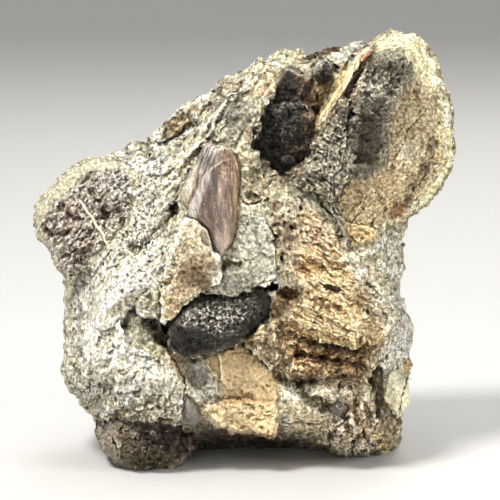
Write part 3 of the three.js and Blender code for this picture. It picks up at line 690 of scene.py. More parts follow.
def ball(u, v, ru, rv, U, V, deg=0.0):
    x, y = turned(U - u, V - v, deg)
    return np.sqrt((x / ru) ** 2 + (y / rv) ** 2)


def fields():
    U, V = grid()
    wu, wv = fbm(U, V, 8, 3, 11), fbm(U, V, 8, 3, 21)
    W1, W2 = U + 1.8 * wu, V + 1.8 * wv                      # gently torn edges
    X1, X2 = U + 3.6 * wu, V + 3.6 * wv                      # strongly torn edges
    big = fbm(U, V, 40, 3, 3)
    mid = fbm(U, V, 14, 3, 5)
    lump = fbm(W1, W2, 7, 3, 7)
    fine = fbm(U, V, 3.2, 3, 9)
    grit = fbm(U, V, 1.7, 2, 13)
    d1, d2, ident = cells(U + 1.2 * fine, V + 1.2 * grit, 5.2, 17)
    e1, e2, eid = cells(U, V, 3.1, 19)
    g1, g2, gid = cells(W1, W2, 9.0, 23)
    pits = sstep(0.46, 0.12, d1) * (ident > 0.62) * sstep(-0.15, 0.25, fbm(U, V, 22, 2, 29))
    facA = facets(W1 + 2 * lump, W2 + 2 * mid, 15, 31)
    facB = facets(X1, X2, 6.5, 37)
    facC = facets(W1, W2, 3.2, 41)
    crisp = ridged(W1, W2, 6.5, 3, 53) - 0.35
    rag = 0.7 * lump + 0.6 * fine + 0.35 * facC              # torn borders
    clods = sstep(0.0, 0.35, g2 - g1)                        # 0 on the creases between clods

    c1, c2, cid = cells(W1, W2, 5.5, 117)
    return dict(U=U, V=V, W1=W1, W2=W2, X1=X1, X2=X2, big=big, mid=mid, lump=lump, fine=fine, grit=grit, pits=pits, e1=e1, eid=eid, clods=clods, craze=c2 - c1, facA=facA, facB=facB, facC=facC, crisp=crisp, rag=rag)


def cropped(g, u0, v0, u1, v1):
    r = slice(int(max(0, (v0 - V0) * SUB)), int((v1 - V0) * SUB) + 1)
    c = slice(int(max(0, (u0 - U0) * SUB)), int((u1 - U0) * SUB) + 1)
    return {k: a[r, c] for k, a in g.items()}


def piece(P, g, name, outline, H, colour, wob=0.35):
    k = 1 - wob
    f = Layer(H, colour)
    f.sd = poly(outline, g["U"] * k + g["X1"] * wob, g["V"] * k + g["X2"] * wob)
    f.u0, f.v0 = g["U"][0, 0], g["V"][0, 0]
    P[name] = f
    return f


def stone_maps(g):
    U, V, W1, W2, X1, X2, big, mid, lump, fine, grit, pits, e1, eid, clods, facA, facB, facC, crisp, rag = (g[k] for k in ("U", "V", "W1", "W2", "X1", "X2", "big", "mid", "lump", "fine", "grit", "pits", "e1", "eid", "clods", "facA", "facB", "facC", "crisp", "rag"))
    specks = sstep(0.40, 0.18, e1) * (eid > 0.62)
    L = Layer(spots(BLOCK_FACE, U, V), (212, 203, 178))
    L.paint(sstep(-0.1, 0.5, big), (200, 192, 172), 0.6)
    L.paint(sstep(0.1, 0.6, mid), (206, 192, 158), 0.6)
    L.paint(sstep(0.1, 0.6, -mid), (178, 170, 150), 0.5)
    rough = np.ones(U.shape)                                 # how rough each place is
    stain = np.zeros(U.shape)

    # --- shoulder right of the left bone: pale, pitted
    m = soft([[95, 150], [150, 140], [165, 150], [160, 190], [150, 240], [120, 262], [100, 262], [128, 222], [136, 200], [138, 180], [124, 163]], U, V, 4)
    L.paint(m, (222, 214, 196), 0.85)
    L.H += m * (0.35 * lump + 0.3 * crisp)
    rough *= 1 - 0.45 * m
    q = m * sstep(0.50, 0.18, e1) * (eid > 0.5)
    L.H -= 0.5 * q
    L.tint(q, 0.6)
    # --- cream rim over the top left
    m = soft([[95, 148], [125, 133], [150, 136], [158, 140], [150, 152], [118, 153], [98, 160]], U, V, 3)
    L.paint(m, (222, 214, 182), 0.7)
    rough *= 1 - 0.5 * m
    L.crack([[111, 152], [122, 150], [128, 143], [133, 141]], W1, W2, 1.4, 0.3, 0.3)

    # --- roll along the upper left edge, with a hollow under it
    m = soft([[146, 141], [163, 112], [196, 92], [210, 86], [214, 98], [202, 110], [196, 118], [184, 111], [174, 117], [163, 130], [157, 144]], W1, W2, 2.5)
    L.H += m * (1.7 + 0.3 * lump)
    L.paint(m, (206, 197, 176), 0.8)
    holl = poly([[156, 145], [161, 133], [168, 124], [177, 117], [187, 112], [195, 117], [198, 126], [187, 132], [177, 138], [167, 145]], W1, W2)
    low, _ = line([[156, 146], [167, 144], [177, 137], [187, 131], [198, 126]], W1, W2)
    m = sstep(-3.0, 3.6, holl + 2.0 * rag)
    L.H -= m * (1.2 + 2.2 * sstep(13, 1, low) - 0.3 * lump)
    L.paint(m, (178, 150, 110), 0.75)
    L.paint(m * sstep(-0.1, 0.4, mid + 0.5 * fine), (120, 94, 66), 0.6)
    # the near-black along the hollow's low side is painted shade under the roll
    L.paint(m * sstep(6.0, 1.5, low + 2 * rag), (48, 38, 30), 0.9)
    m = soft([[157, 147], [168, 146], [180, 139], [192, 129], [201, 132], [199, 144], [186, 158], [172, 165], [162, 160]], W1, W2, 2.5)
    L.H += m * 0.9
    L.paint(m, (196, 186, 158), 0.6)
    # reddish and dark grains up there
    for (u, v, r, c) in [(222, 78, 5, (150, 96, 72)), (216, 94, 4, (150, 110, 84)), (196, 108, 6, (140, 104, 72)), (206, 103, 5, (96, 94, 90)), (238, 88, 6, (112, 98, 78)), (230, 97, 4, (84, 72, 56)), (234, 62, 3, (150, 120, 90))]:
        q = sstep(1.15, 0.6, ball(u, v, r, r * 0.8, X1, X2))
        L.paint(q, c, 0.75)
        L.H -= 0.5 * q
    m = soft([[212, 86], [216, 76], [222, 71], [238, 68], [250, 62], [256, 52], [266, 52], [262, 66], [248, 78], [234, 92], [222, 98], [212, 98]], W1, W2, 2.5)
    L.paint(m, (218, 206, 172), 0.55)
    L.H += m * 0.5 * lump

    # --- the sharp ridge that comes down to the tooth, with a greyer plane to its right
    ridge = [[266, 70], [252, 82], [240, 91], [225, 103], [216, 117], [213, 130], [201, 143], [190, 156], [178, 170]]
    side = poly([[266, 70], [252, 82], [240, 91], [225, 103], [216, 117], [213, 130], [204, 141], [236, 150], [246, 128], [262, 112], [272, 96]], U, V)
    m = sstep(-1.0, 2.0, side)
    L.H -= m * 0.9
    L.paint(m, (168, 163, 147), 0.75)
    rough *= 1 - 0.45 * m
    L.ridge(ridge, X1, X2, 3.4, 0.9, (222, 215, 194), 0.6)
    L.H += m * 0.5 * fbm(*turned(U, V, 55, 3.5, 1), 6, 2, 61)
    q = sstep(1.2, 0.5, ball(238, 112, 13, 9, X1, X2, 40))
    L.paint(q, (146, 142, 130), 0.5)
    # upper end of the ridge: brown-lined sandstone
    m = soft([[246, 70], [258, 60], [274, 60], [284, 66], [278, 82], [268, 96], [252, 98], [240, 96], [250, 84]], W1, W2, 2.5)
    L.paint(m, (196, 176, 146), 0.6)
    L.H += m * (0.8 * fbm(*turned(U, V, 48, 4, 1), 4, 3, 63))
    L.paint(m * sstep(0.15, 0.5, fbm(*turned(U, V, 48, 4, 1), 4, 3, 63)), (150, 120, 88), 0.6)
    L.crack([[240, 78], [251, 70], [259, 64], [268, 62]], W1, W2, 1.5, 0.6, 0.55)
    L.crack([[226, 100], [236, 94], [240, 84], [246, 80]], W1, W2, 2.6, 0.9, 0.55)
    L.ridge([[268, 62], [278, 66], [287, 68]], W1, W2, 1.8, 0.9, (238, 236, 226), 0.8)
    L.ridge([[285, 66], [294, 70], [302, 74], [308, 78]], W1, W2, 1.2, 0.5, (226, 218, 205), 0.7)

    m = soft([[128, 150], [140, 130], [166, 110], [200, 88], [222, 68], [256, 48], [300, 42], [300, 58], [262, 62], [246, 76], [226, 96], [212, 116], [196, 136], [178, 158], [160, 176], [140, 168]], W1, W2, 4)
    wr = ridged(*turned(X1, X2, 42, 3.0, 1), 9.0, 4, 89) - 0.36
    L.H += m * (0.12 * crisp + 0.25 * lump + 0.6 * wr)
    L.paint(m * sstep(0.0, 0.4, wr), (228, 218, 194), 0.4)
    L.paint(m * sstep(0.1, 0.4, -wr) * sstep(-0.3, 0.3, mid), (156, 134, 104), 0.3)
    L.paint(m * sstep(0.2, 0.6, -lump - 0.5 * mid), (140, 122, 96), 0.5)

    # --- top rim
    m = soft([[266, 53], [276, 47], [288, 43], [302, 47], [300, 56], [290, 62], [276, 62], [266, 60]], W1, W2, 2)
    L.paint(m, (224, 216, 180), 0.8)
    rough *= 1 - 0.4 * m
    m = soft([[340, 50], [350, 42], [358, 37], [366, 42], [374, 44], [368, 50], [358, 54], [350, 63], [338, 62], [334, 58]], W1, W2, 2)
    L.paint(m, (208, 206, 194), 0.85)
    rough *= 1 - 0.6 * m
    L.H += m * 0.7
    streak = poly([[300, 64], [303, 56], [311, 52], [320, 49], [331, 45.5], [342, 46.5], [340, 53], [332, 57], [322, 56], [312, 60], [306, 66]], X1, X2)
    m = sstep(-0.6, 1.2, streak)
    L.H += m * (0.9 * np.abs(fbm(*turned(U, V, 20, 2, 1), 3.5, 2, 65)) - 0.7)
    L.paint(m, (78, 62, 48), 0.85)
    L.paint(m * sstep(0.0, 0.5, lump), (150, 128, 98), 0.7)
    L.paint(m * sstep(-0.1, -0.5, lump), (32, 26, 22), 0.8)
    m = soft([[288, 58], [302, 50], [306, 56], [300, 64], [290, 68], [284, 64]], W1, W2, 2)
    L.paint(m * sstep(-0.2, 0.4, fine + lump), (128, 110, 88), 0.6)

    # --- hollow between the black shaft, the pebble and the blade
    m = soft([[306, 78], [318, 84], [332, 82], [340, 64], [352, 60], [340, 84], [326, 110], [314, 130], [312, 118], [300, 100]], W1, W2, 1.6)
    L.paint(m, (186, 158, 112), 0.9)
    L.paint(m * sstep(0.0, 0.5, fbm(*turned(U, V, 57, 7, 1), 2.4, 3, 67)), (226, 200, 150), 0.6)
    L.paint(m * sstep(0.1, 0.5, -fbm(*turned(U, V, 57, 7, 1), 3.4, 3, 69)), (120, 88, 56), 0.7)
    L.H += m * 0.35 * fbm(*turned(U, V, 57, 7, 1), 3.0, 3, 67)
    rough *= 1 - 0.75 * m
    q = soft([[303, 80], [318, 84], [322, 92], [318, 104], [311, 110], [303, 98]], X1, X2, 2)
    L.H += q * (1.3 + 1.2 * lump)
    L.paint(q, (150, 130, 108), 0.7)
    L.paint(q * sstep(0.1, 0.5, -lump), (78, 60, 46), 0.8)
    L.crack([[318, 92], [316, 100], [311, 104]], W1, W2, 2.2, 1.4, 0.8)
    q = soft([[300, 100], [308, 108], [314, 122], [312, 132], [306, 118]], W1, W2, 1.5)
    L.paint(q, (104, 74, 46), 0.75)
    # near-black slot: painted shade inside a deep hole
    q = sstep(1.15, 0.7, ball(335.4, 70, 3.4, 7, W1, W2, 8))
    L.H -= 2.6 * q
    L.paint(q, (30, 22, 18), 0.95)
    m = soft([[333, 62], [342, 62], [342, 72], [338, 82], [330, 84]], W1, W2, 1.5)
    L.paint(m * (1 - q), (214, 196, 160), 0.6)
    m = soft([[306, 64], [312, 62], [313, 74], [318, 84], [309, 80]], W1, W2, 1.5)
    L.paint(m, (204, 190, 164), 0.6)

    fill = line([[364, 60], [352, 78], [343, 94], [333, 110], [319, 133], [311, 146]], U, V)[0]
    q = sstep(7, 3, fill)
    L.H = L.H * (1 - q) + np.maximum(L.H, 14.7 + 0.3 * lump) * q
    L.paint(q, (122, 106, 86), 0.8)
    q = sstep(5, 1.5, line([[352, 70], [347, 80], [342, 92]], X1, X2)[0])
    L.paint(q, (84, 60, 48), 0.8)

    q = sstep(7, 1.5, line([[314, 126], [313, 146], [306, 160], [294, 172], [284, 180], [276, 179]], X1, X2)[0])
    L.paint(q, (108, 90, 70), 0.75)
    L.paint(q * sstep(0.0, 0.5, fine + 0.5 * lump), (164, 150, 126), 0.5)
    q = sstep(5, 1.0, line([[272, 104], [264, 116], [259, 132], [258, 150], [266, 168]], X1, X2)[0])
    L.paint(q, (112, 98, 76), 0.7)
    L.H += 0.4 * q

    # --- lens and slot left of the black shaft
    q = sstep(1.1, 0.7, ball(247.5, 134, 5.5, 11, W1, W2, 12))
    L.H += 0.4 * q
    L.paint(q, (128, 116, 98), 0.7)
    rough *= 1 - 0.6 * q
    # the slot beside the shaft is darkened: painted shadow
    L.crack([[256, 124], [254.5, 137], [253.5, 146], [255, 155], [260, 165]], W1, W2, 2.4, 1.8, 0.7, False)
    q = sstep(3.4, 1.0, line([[257.5, 134], [256.5, 146], [258.5, 156]], W1, W2)[0])
    L.paint(q, (126, 106, 70), 0.7)
    m = soft([[262, 100], [272, 96], [272, 102], [264, 114], [257, 130], [252, 124], [254, 110]], W1, W2, 2)
    L.H += 0.5 * m
    L.paint(m, (186, 178, 158), 0.5)
    # matrix between that and the tooth
    m = soft([[238, 146], [248, 150], [256, 166], [268, 176], [284, 184], [298, 196], [298, 206], [270, 202], [246, 200], [241, 180]], W1, W2, 3)
    L.paint(m, (202, 191, 160), 0.7)
    L.H += m * 0.3 * lump
    L.crack([[240, 198], [244, 202], [250, 204.5], [258, 202], [268, 200]], W1, W2, 1.7, 1.4, 0.75)
    q = sstep(1.2, 0.5, ball(252, 197, 7, 5, X1, X2))
    L.H -= 0.9 * q
    L.paint(q, (112, 100, 80), 0.7)
    q = sstep(1.2, 0.5, ball(275, 206, 7, 6, X1, X2))
    L.H -= 0.4 * q
    L.paint(q, (126, 104, 88), 0.7)
    for (u, v, r) in [(301, 208, 2.6), (299, 216, 1.6), (282, 259, 1.9), (264, 176, 1.6), (289, 212, 1.8), (276, 236, 2.0), (292, 228, 2.4), (284, 222, 1.6)]:
        q = sstep(1.1, 0.3, ball(u, v, r, r * 1.3, W1, W2))
        L.H -= 1.5 * q
        L.paint(q, (42, 34, 28), 0.85)

    # --- torn brownish column right of the plate
    m = soft([[268, 214], [284, 214], [298, 222], [296, 250], [284, 262], [274, 250], [276, 236]], X1, X2, 2.5)
    L.H += m * (0.9 * lump + 0.5 * mid)
    L.paint(m, (164, 148, 126), 0.8)
    L.paint(m * sstep(0.0, 0.5, -lump), (96, 80, 66), 0.7)
    L.crack([[270, 228], [276, 236], [274, 246], [277, 254], [283, 262]], W1, W2, 1.9, 1.2, 0.7)
    m = soft([[270, 246], [276, 245], [281, 254], [279, 264], [274, 266], [270, 258]], W1, W2, 1.4)
    L.H += 0.9 * m
    L.paint(m, (218, 202, 156), 0.7)
    m = soft([[281, 258], [292, 252], [300, 272], [302, 290], [296, 292], [286, 284], [280, 272]], W1, W2, 2.5)
    L.paint(m, (192, 184, 164), 0.7)
    # near-black hole: painted shade
    q = soft([[266, 284], [270, 279], [277, 280], [277, 288], [272, 293], [266, 291]], X1, X2, 1.4)
    L.H -= 3.2 * q
    L.paint(q, (42, 34, 28), 0.9)
    m = soft([[278, 291], [288, 288], [298, 292], [303, 300], [296, 306], [284, 312], [274, 322], [268, 314], [272, 300]], W1, W2, 2.5)
    L.paint(m, (142, 120, 90), 0.85)
    L.H += m * 0.5 * lump
    q = soft([[276, 290], [286, 287], [299, 290], [303, 299], [292, 300], [282, 298]], X1, X2, 1.8)
    L.H -= 1.2 * q
    L.paint(q, (78, 58, 40), 0.85)

    # --- fibrous grey band under the grey bone
    m = soft([[292, 188], [318, 196], [338, 198], [341, 214], [346, 232], [356, 250], [372, 262], [384, 280], [378, 282], [364, 268], [348, 254], [334, 240], [320, 220], [308, 208], [298, 212], [290, 202]], W1, W2, 2.5)
    fib = fbm(*turned(U, V, -52, 6, 1), 3.2, 3, 71)
    L.H += m * (0.9 * fib + 0.3)
    L.paint(m, (158, 152, 136), 0.8)
    L.paint(m * sstep(0.1, 0.5, fib), (198, 192, 174), 0.6)
    L.paint(m * sstep(0.1, 0.5, -fib), (98, 90, 76), 0.7)
    L.crack([[318, 196], [322, 206], [330, 212], [336, 222]], X1, X2, 2.0, 1.4, 0.65)
    L.crack([[326, 198], [332, 208], [340, 216]], X1, X2, 1.6, 1.0, 0.55)

    # --- right margin
    m = soft([[378, 230], [400, 224], [402, 244], [403, 270], [398, 280], [396, 292], [384, 282], [374, 266], [364, 252], [372, 242]], W1, W2, 3)
    L.paint(m, (214, 208, 190), 0.85)
    L.H += m * (0.35 * crisp + 0.4 * lump)
    L.paint(m * sstep(0.1, 0.6, mid - 0.5 * fine), (158, 150, 130), 0.6)
    L.paint(m * sstep(0.3, 0.8, fine + 0.5 * lump), (232, 230, 216), 0.5)
    q = sstep(1.2, 0.5, ball(371, 262, 6, 5, W1, W2))
    L.paint(q, (142, 142, 122), 0.8)
    L.H += 0.3 * q
    m = soft([[392, 276], [402, 284], [410, 326], [412, 338], [410, 350], [392, 354], [384, 346], [394, 326], [390, 300]], W1, W2, 4)
    L.paint(m, (238, 236, 226), 0.9)
    L.H += m * 0.45 * crisp
    m = soft([[378, 348], [390, 344], [408, 346], [412, 364], [404, 372], [392, 370], [384, 372], [374, 362]], X1, X2, 3)
    L.H += m * (0.7 * lump + 0.5 * crisp)
    L.paint(m, (214, 208, 192), 0.8)
    L.paint(m * sstep(0.25, 0.6, -lump - 0.3 * fine), (110, 98, 80), 0.7)

    # --- smooth grey plate below the tooth
    plate = poly([[224, 258], [232, 246], [240, 222], [252, 214], [264, 218], [273, 236], [276, 256], [277, 268], [276, 274], [270, 280], [265, 287], [258, 290],
                  [248, 294], [241.7, 300], [231.7, 303.3], [218, 300], [209, 294], [204, 290], [200, 276], [206, 262], [214, 254]], W1 * 0.6 + U * 0.4, W2 * 0.6 + V * 0.4)
    m = sstep(-0.7, 0.7, plate)
    pf = spots([[245, 222, 20.2], [262, 230, 20.4], [240, 248, 19.8], [262, 255, 20.8], [252, 275, 21.2], [268, 276, 20.4], [230, 262, 20.0], [225, 285, 21.0], [235, 298, 20.6], [212, 290, 20.2]], U, V, 10)
    L.H = L.H * (1 - m) + (pf + 0.25 * mid + 0.12 * lump + 0.22 * facA) * m
    L.paint(m, (178, 175, 162), 0.9)
    up = m * sstep(262, 246, V + 0.35 * (U - 250))
    L.H += up * (0.35 * fbm(*turned(U, V, -35, 2.5, 1), 5, 3, 73) + 0.25 * crisp)
    L.paint(up * sstep(-0.1, 0.5, fbm(*turned(U, V, -35, 2.5, 1), 5, 3, 73)), (220, 218, 204), 0.7)
    L.paint(up * sstep(0.1, 0.5, -fbm(*turned(U, V, -35, 2.5, 1), 5, 3, 73)), (134, 130, 114), 0.6)
    lowp = m * (1 - sstep(262, 246, V + 0.35 * (U - 250)))
    L.paint(lowp, (168, 165, 150), 0.6)
    rough = rough * (1 - 0.6 * m) * (1 - 0.4 * lowp)
    scoop = poly([[217, 257], [226, 258], [233, 261], [243, 262], [244, 266], [237, 272], [225, 273], [218, 268]], X1, X2)
    q = sstep(-1.2, 2.2, scoop)
    L.H -= q * (1.3 * sstep(276, 258, V) + 0.2)
    # the scoop is painted darker: painted shade in the step below the tooth
    L.paint(q * sstep(276, 262, V + 2 * lump), (112, 103, 88), 0.8)
    L.ridge([[240, 272], [244, 280], [243, 288]], U, V, 1.8, 0.35, (206, 202, 184), 0.5)
    L.ridge([[222, 258], [232, 260], [243, 261.5]], U, V, 1.2, 0.3, (212, 208, 190), 0.5)
    # dark band under the plate's lower edge: painted shadow
    under = sstep(6.5, 0.6, line([[205, 293], [218, 302], [231.7, 305], [243, 301.5], [250, 295], [262, 291]], U, V)[0]) * (1 - m)
    L.H -= 3.0 * under
    L.paint(under, (34, 30, 28), 0.8)

    # --- flake left of the plate
    flake = poly([[186.7, 217.4], [196.7, 221], [202, 225.5], [207.5, 231], [210, 237], [212.5, 247], [220, 261], [222.6, 274], [220.5, 283], [214, 286], [208, 288], [203, 293],
                  [193, 299], [184, 306], [176, 317], [169, 325], [163, 320], [160.5, 309], [160.5, 290], [163, 276], [168, 262], [172, 246], [178, 230]], W1 * 0.7 + U * 0.3, W2 * 0.7 + V * 0.3)
    fe = 0.8 + 2.6 * sstep(180, 164, U)
    m = sstep(-fe, fe, flake + 0.8 * rag * (fe - 0.8))
    ff = spots([[190, 224, 22.0], [205, 236, 22.4], [180, 245, 22.2], [200, 260, 24.0], [216, 262, 23.0], [216, 278, 22.4], [190, 282, 23.0], [172, 280, 22.0], [168, 300, 21.2], [170, 318, 19.8], [185, 300, 21.4]], U, V, 11)
    L.H = L.H * (1 - m) + (ff + 0.4 * lump + 0.25 * mid) * m
    L.paint(m, (214, 198, 168), 0.85)
    L.H += m * (0.2 * crisp + 0.08 * facC)
    rough *= 1 - 0.3 * m
    L.paint(m * sstep(258, 290, V) * sstep(192, 176, U), (216, 184, 146), 0.6)
    brown = sstep(1.25, 0.35, ball(194, 276, 17, 17, X1, X2, 30))
    L.paint(m * brown, (128, 106, 82), 0.8)
    L.paint(m * sstep(1.3, 0.4, ball(200, 262, 16, 12, X1, X2)) * sstep(-0.1, 0.5, fine), (120, 84, 54), 0.75)
    L.paint(m * sstep(1.2, 0.5, ball(204, 284, 9, 8, X1, X2)), (78, 64, 52), 0.6)
    edge = sstep(4.5, 1.0, line([[205, 228], [210, 237], [213, 247], [220, 260], [222.6, 274], [220, 283]], U, V)[0])
    L.paint(m * edge, (214, 206, 186), 0.7)
    q = soft([[212, 268], [221, 266], [222, 280], [217, 286], [210, 284]], X1, X2, 1.5)
    L.H += 0.5 * q * lump - 0.3 * q
    L.paint(q * m, (206, 202, 188), 0.7)
    L.ridge([[192, 218.5], [200, 222], [206, 228], [209.5, 236], [212, 246]], U, V, 1.1, 0.3, (232, 226, 206), 0.9)
    # dark band along the flake's lower edge: painted shadow
    rim = sstep(5, 0.5, line([[222, 284], [212, 289], [204, 294], [194, 300], [184, 307], [176, 318], [168, 327]], U, V)[0]) * (1 - m) * sstep(-1, 1, -plate)
    L.H -= 2.4 * rim
    L.paint(rim, (30, 26, 24), 0.8)
    L.crack([[161.5, 286], [159.5, 300], [160, 312], [162, 322]], W1, W2, 1.4, 0.9, 0.5, False)
    L.crack([[161, 318], [164, 326], [169, 334]], W1, W2, 2.6, 2.0, 0.7, False)

    # --- left mass: polished band, painted bright as partly its own pale tone and partly a painted highlight, and pale slope
    m = soft([[170, 240], [172, 262], [162, 276], [158, 290], [140, 296], [122, 300], [104, 310], [96, 330], [88, 350], [76, 348], [84, 322], [98, 296], [112, 276], [130, 258], [150, 246]], W1, W2, 4)
    L.paint(m, (226, 223, 210), 0.85)
    rough *= 1 - 0.5 * m
    band = sstep(1.0, 0.2, line([[122, 286], [106, 302], [96, 322], [86, 344]], U, V)[0] / 11)
    L.paint(band, (236, 234, 226), 0.9)
    rough *= 1 - 0.5 * band
    L.H += 0.6 * band
    stri = fbm(*turned(U, V, 57, 9, 1), 3.2, 3, 75)
    m2 = soft([[120, 244], [112, 266], [98, 292], [86, 318], [74, 330], [70, 310], [74, 290], [84, 272], [100, 254]], U, V, 4)
    L.H += m2 * (0.75 * stri + 0.25 * crisp)
    L.paint(m2, (222, 216, 200), 0.8)
    L.paint(m2 * sstep(0.15, 0.5, -stri), (150, 136, 116), 0.75)
    L.paint(m * sstep(0.25, 0.6, -stri), (176, 170, 154), 0.5)
    L.crack([[160, 262], [163, 254], [167, 248], [166, 240]], W1, W2, 1.1, 0.6, 0.5)
    for (u, v, r) in [(122, 291, 1.8), (140, 282, 1.5), (150, 262, 1.2), (128, 276, 1.3)]:
        q = sstep(1.1, 0.3, ball(u, v, r * 1.5, r, W1, W2))
        L.H -= 0.6 * q
        L.paint(q, (60, 52, 44), 0.8)
    # cracks and recesses up to the shoulder, darkened with painted shade
    L.crack([[161, 158], [161.5, 164], [160, 172]], W1, W2, 2.4, 1.8, 0.75)
    q = sstep(1.2, 0.4, ball(152, 160, 4, 3, X1, X2))
    L.tint(q, 0.6)
    L.H -= 0.6 * q
    L.crack([[200, 146], [188, 160], [176, 172], [168, 180]], X1, X2, 1.3, 0.7, 0.4)
    dk = [[178, 192], [175, 204], [172, 214], [166, 222], [158, 230], [152, 238], [143, 246], [134, 248]]
    q = sstep(8, 0.5, line(dk, X1, X2)[0] + 3 * rag)
    L.H -= 1.0 * q
    L.tint(q * sstep(-0.3, 0.5, lump + fine), 0.66)
    L.crack(dk[:4], X1, X2, 2.2, 1.2, 0.5)
    L.crack(dk[5:], X1, X2, 2.0, 0.8, 0.45)
    q = sstep(1.2, 0.5, ball(173, 211, 4.5, 6.5, X1, X2, -20))
    L.H -= 1.6 * q
    L.paint(q, (48, 36, 28), 0.85)
    q = sstep(1.2, 0.5, ball(169, 222, 6, 4, X1, X2, 30))
    L.paint(q, (150, 116, 78), 0.7)
    L.crack([[175, 196], [178, 186], [186, 178]], W1, W2, 1.2, 0.8, 0.5)
    m = soft([[198, 147], [192, 170], [182, 188], [176, 200], [170, 190], [166, 176], [180, 160], [190, 150]], W1, W2, 3)
    L.paint(m, (200, 188, 160), 0.6)
    rough *= 1 - 0.35 * m

    # --- chunk, the painted shadow under its overhanging arc, and bright hollow
    chunk = poly([[134, 304], [140, 296], [150, 290], [158, 291], [158, 306], [156, 318], [146, 316], [138, 311]], W1, W2)
    m = sstep(-0.8, 1.0, chunk)
    L.H += m * 0.9
    L.paint(m, (208, 194, 168), 0.7)
    q = sstep(1.2, 0.4, ball(149, 297, 6, 8, X1, X2))
    L.paint(q * m, (152, 138, 114), 0.6)
    hol = poly([[121, 322], [124, 311], [131, 305], [139, 311], [148, 316], [157, 319], [158, 330], [152, 344], [142, 352], [132, 346], [124, 336]], W1, W2)
    m = sstep(-1.0, 3.5, hol)
    arc, _ = line([[120, 322], [124, 311], [131, 305], [139, 311], [148, 317], [157, 319]], W1, W2)
    L.H -= m * (0.7 + 1.9 * sstep(15, 1, arc))
    L.paint(m, (212, 206, 178), 0.8)
    L.paint(m * sstep(8.0, 2.5, arc + 2 * rag) * sstep(-0.5, 0.3, mid + 0.4), (96, 84, 68), 0.8)
    L.paint(m * sstep(15, 8, arc) * sstep(0.1, 0.6, lump), (120, 104, 80), 0.5)
    # the notch and the grey band below it are darkened with painted shade
    notch = poly([[151, 318], [159, 321], [166, 330], [171, 340], [171, 352], [163, 350], [156, 340], [150, 330]], W1, W2)
    q = sstep(-4.0, 4.5, notch + 2.5 * rag)
    L.H -= 2.5 * q
    L.paint(q, (104, 90, 72), 0.8)
    L.paint(q * sstep(9, 2, line([[160, 322], [167, 334], [170, 348]], X1, X2)[0]), (38, 31, 27), 0.85)
    q = soft([[150, 330], [158, 340], [166, 352], [172, 362], [168, 374], [158, 366], [148, 350]], W1, W2, 4)
    L.paint(q, (150, 140, 118), 0.5)
    # --- mauve-brown plane and the seam down the side of the left mass
    m = soft([[168, 346], [178, 354], [188, 359], [188, 372], [185, 384], [178, 374], [171, 362]], W1, W2, 1.8)
    L.paint(m, (128, 110, 92), 0.8)
    rough *= 1 - 0.6 * m
    seam = [[167, 346], [172, 358], [179, 368], [184, 378], [185.5, 386], [183, 396], [180.5, 406], [182, 418], [188, 428]]
    L.crack(seam[:5], X1, X2, 1.5, 1.1, 0.5, False)
    L.crack(seam[4:], X1, X2, 1.3, 0.9, 0.4, False)
    m = soft([[206, 366], [213, 373], [219, 382], [222, 392], [221, 400], [206, 404], [200, 402], [192, 392], [204, 386]], W1, W2, 2)
    L.paint(m, (196, 193, 180), 0.85)

    # --- left lower mass: rough, crowded with grains
    m = soft([[74, 330], [90, 350], [108, 318], [124, 324], [136, 350], [152, 356], [166, 362], [178, 378], [181, 400], [182, 416], [150, 424], [108, 420], [86, 402], [68, 380], [70, 340]], W1, W2, 4)
    L.H += m * (0.5 * lump + 0.4 * facA + 0.45 * crisp)
    L.paint(m, (222, 215, 198), 0.8)
    L.paint(m * sstep(0.1, 0.5, lump + 0.6 * mid), (196, 180, 160), 0.5)
    L.paint(m * sstep(0.1, 0.6, mid), (228, 224, 206), 0.5)
    L.paint(m * sstep(378, 402, V + 8 * mid), (186, 178, 164), 0.6)
    L.paint(m * sstep(0.3, 0.7, -lump - 0.5 * fine), (134, 116, 98), 0.6)
    rough *= 1 - 0.3 * m
    m = soft([[140, 352], [160, 362], [176, 380], [178, 400], [160, 400], [146, 384], [140, 368]], W1, W2, 5)
    L.paint(m, (206, 202, 178), 0.5)
    rough *= 1 - 0.4 * m
    q = soft([[69, 352], [78, 350], [82, 360], [80, 370], [72, 372], [67, 364]], W1, W2, 1.6)
    L.H += 0.7 * q
    L.paint(q, (200, 188, 162), 0.5)
    L.crack([[70, 350], [79, 350], [82, 360], [80, 370], [72, 372]], W1, W2, 1.0, 0.4, 0.4)
    for (u, v, a, b) in [(104, 386, 11, 5), (122, 372, 8, 3), (112, 352, 5, 3), (146, 369, 6, 2.4), (136, 392, 6, 3), (150, 402, 9, 3), (96, 398, 8, 4), (90, 372, 4, 3)]:
        q = sstep(1.3, 0.3, ball(u, v, a, b, X1, X2, 10)) * sstep(-0.5, 0.3, lump + fine)
        L.H -= 0.7 * q
        L.paint(q, (124, 108, 92), 0.65)
    # lower skirt, crusty, dimmed with painted shade
    m = soft([[84, 402], [108, 398], [140, 404], [176, 402], [186, 420], [192, 432], [190, 446], [150, 430], [118, 430], [101, 430], [98, 418]], X1, X2, 4)
    L.paint(m, (178, 168, 150), 0.6)
    L.H += m * (0.4 * lump + 0.4 * crisp)
    L.paint(m * sstep(0.1, 0.6, fine + 0.6 * lump), (120, 104, 88), 0.6)
    q = sstep(1.2, 0.4, ball(120, 416, 9, 6, X1, X2))
    L.paint(q, (160, 140, 100), 0.6)

    # --- underside strip and foot, darkened with painted shade
    m = sstep(427, 437, V + 2.0 * mid + 0.02 * np.abs(U - 250)) * sstep(190, 200, U) * sstep(352, 330, U)
    L.paint(m, (92, 82, 70), 0.8)
    m = soft([[188, 424], [204, 420], [216, 428], [236, 434], [276, 437], [300, 438], [300, 446], [186, 450]], W1, W2, 2)
    L.paint(m, (84, 76, 66), 0.8)

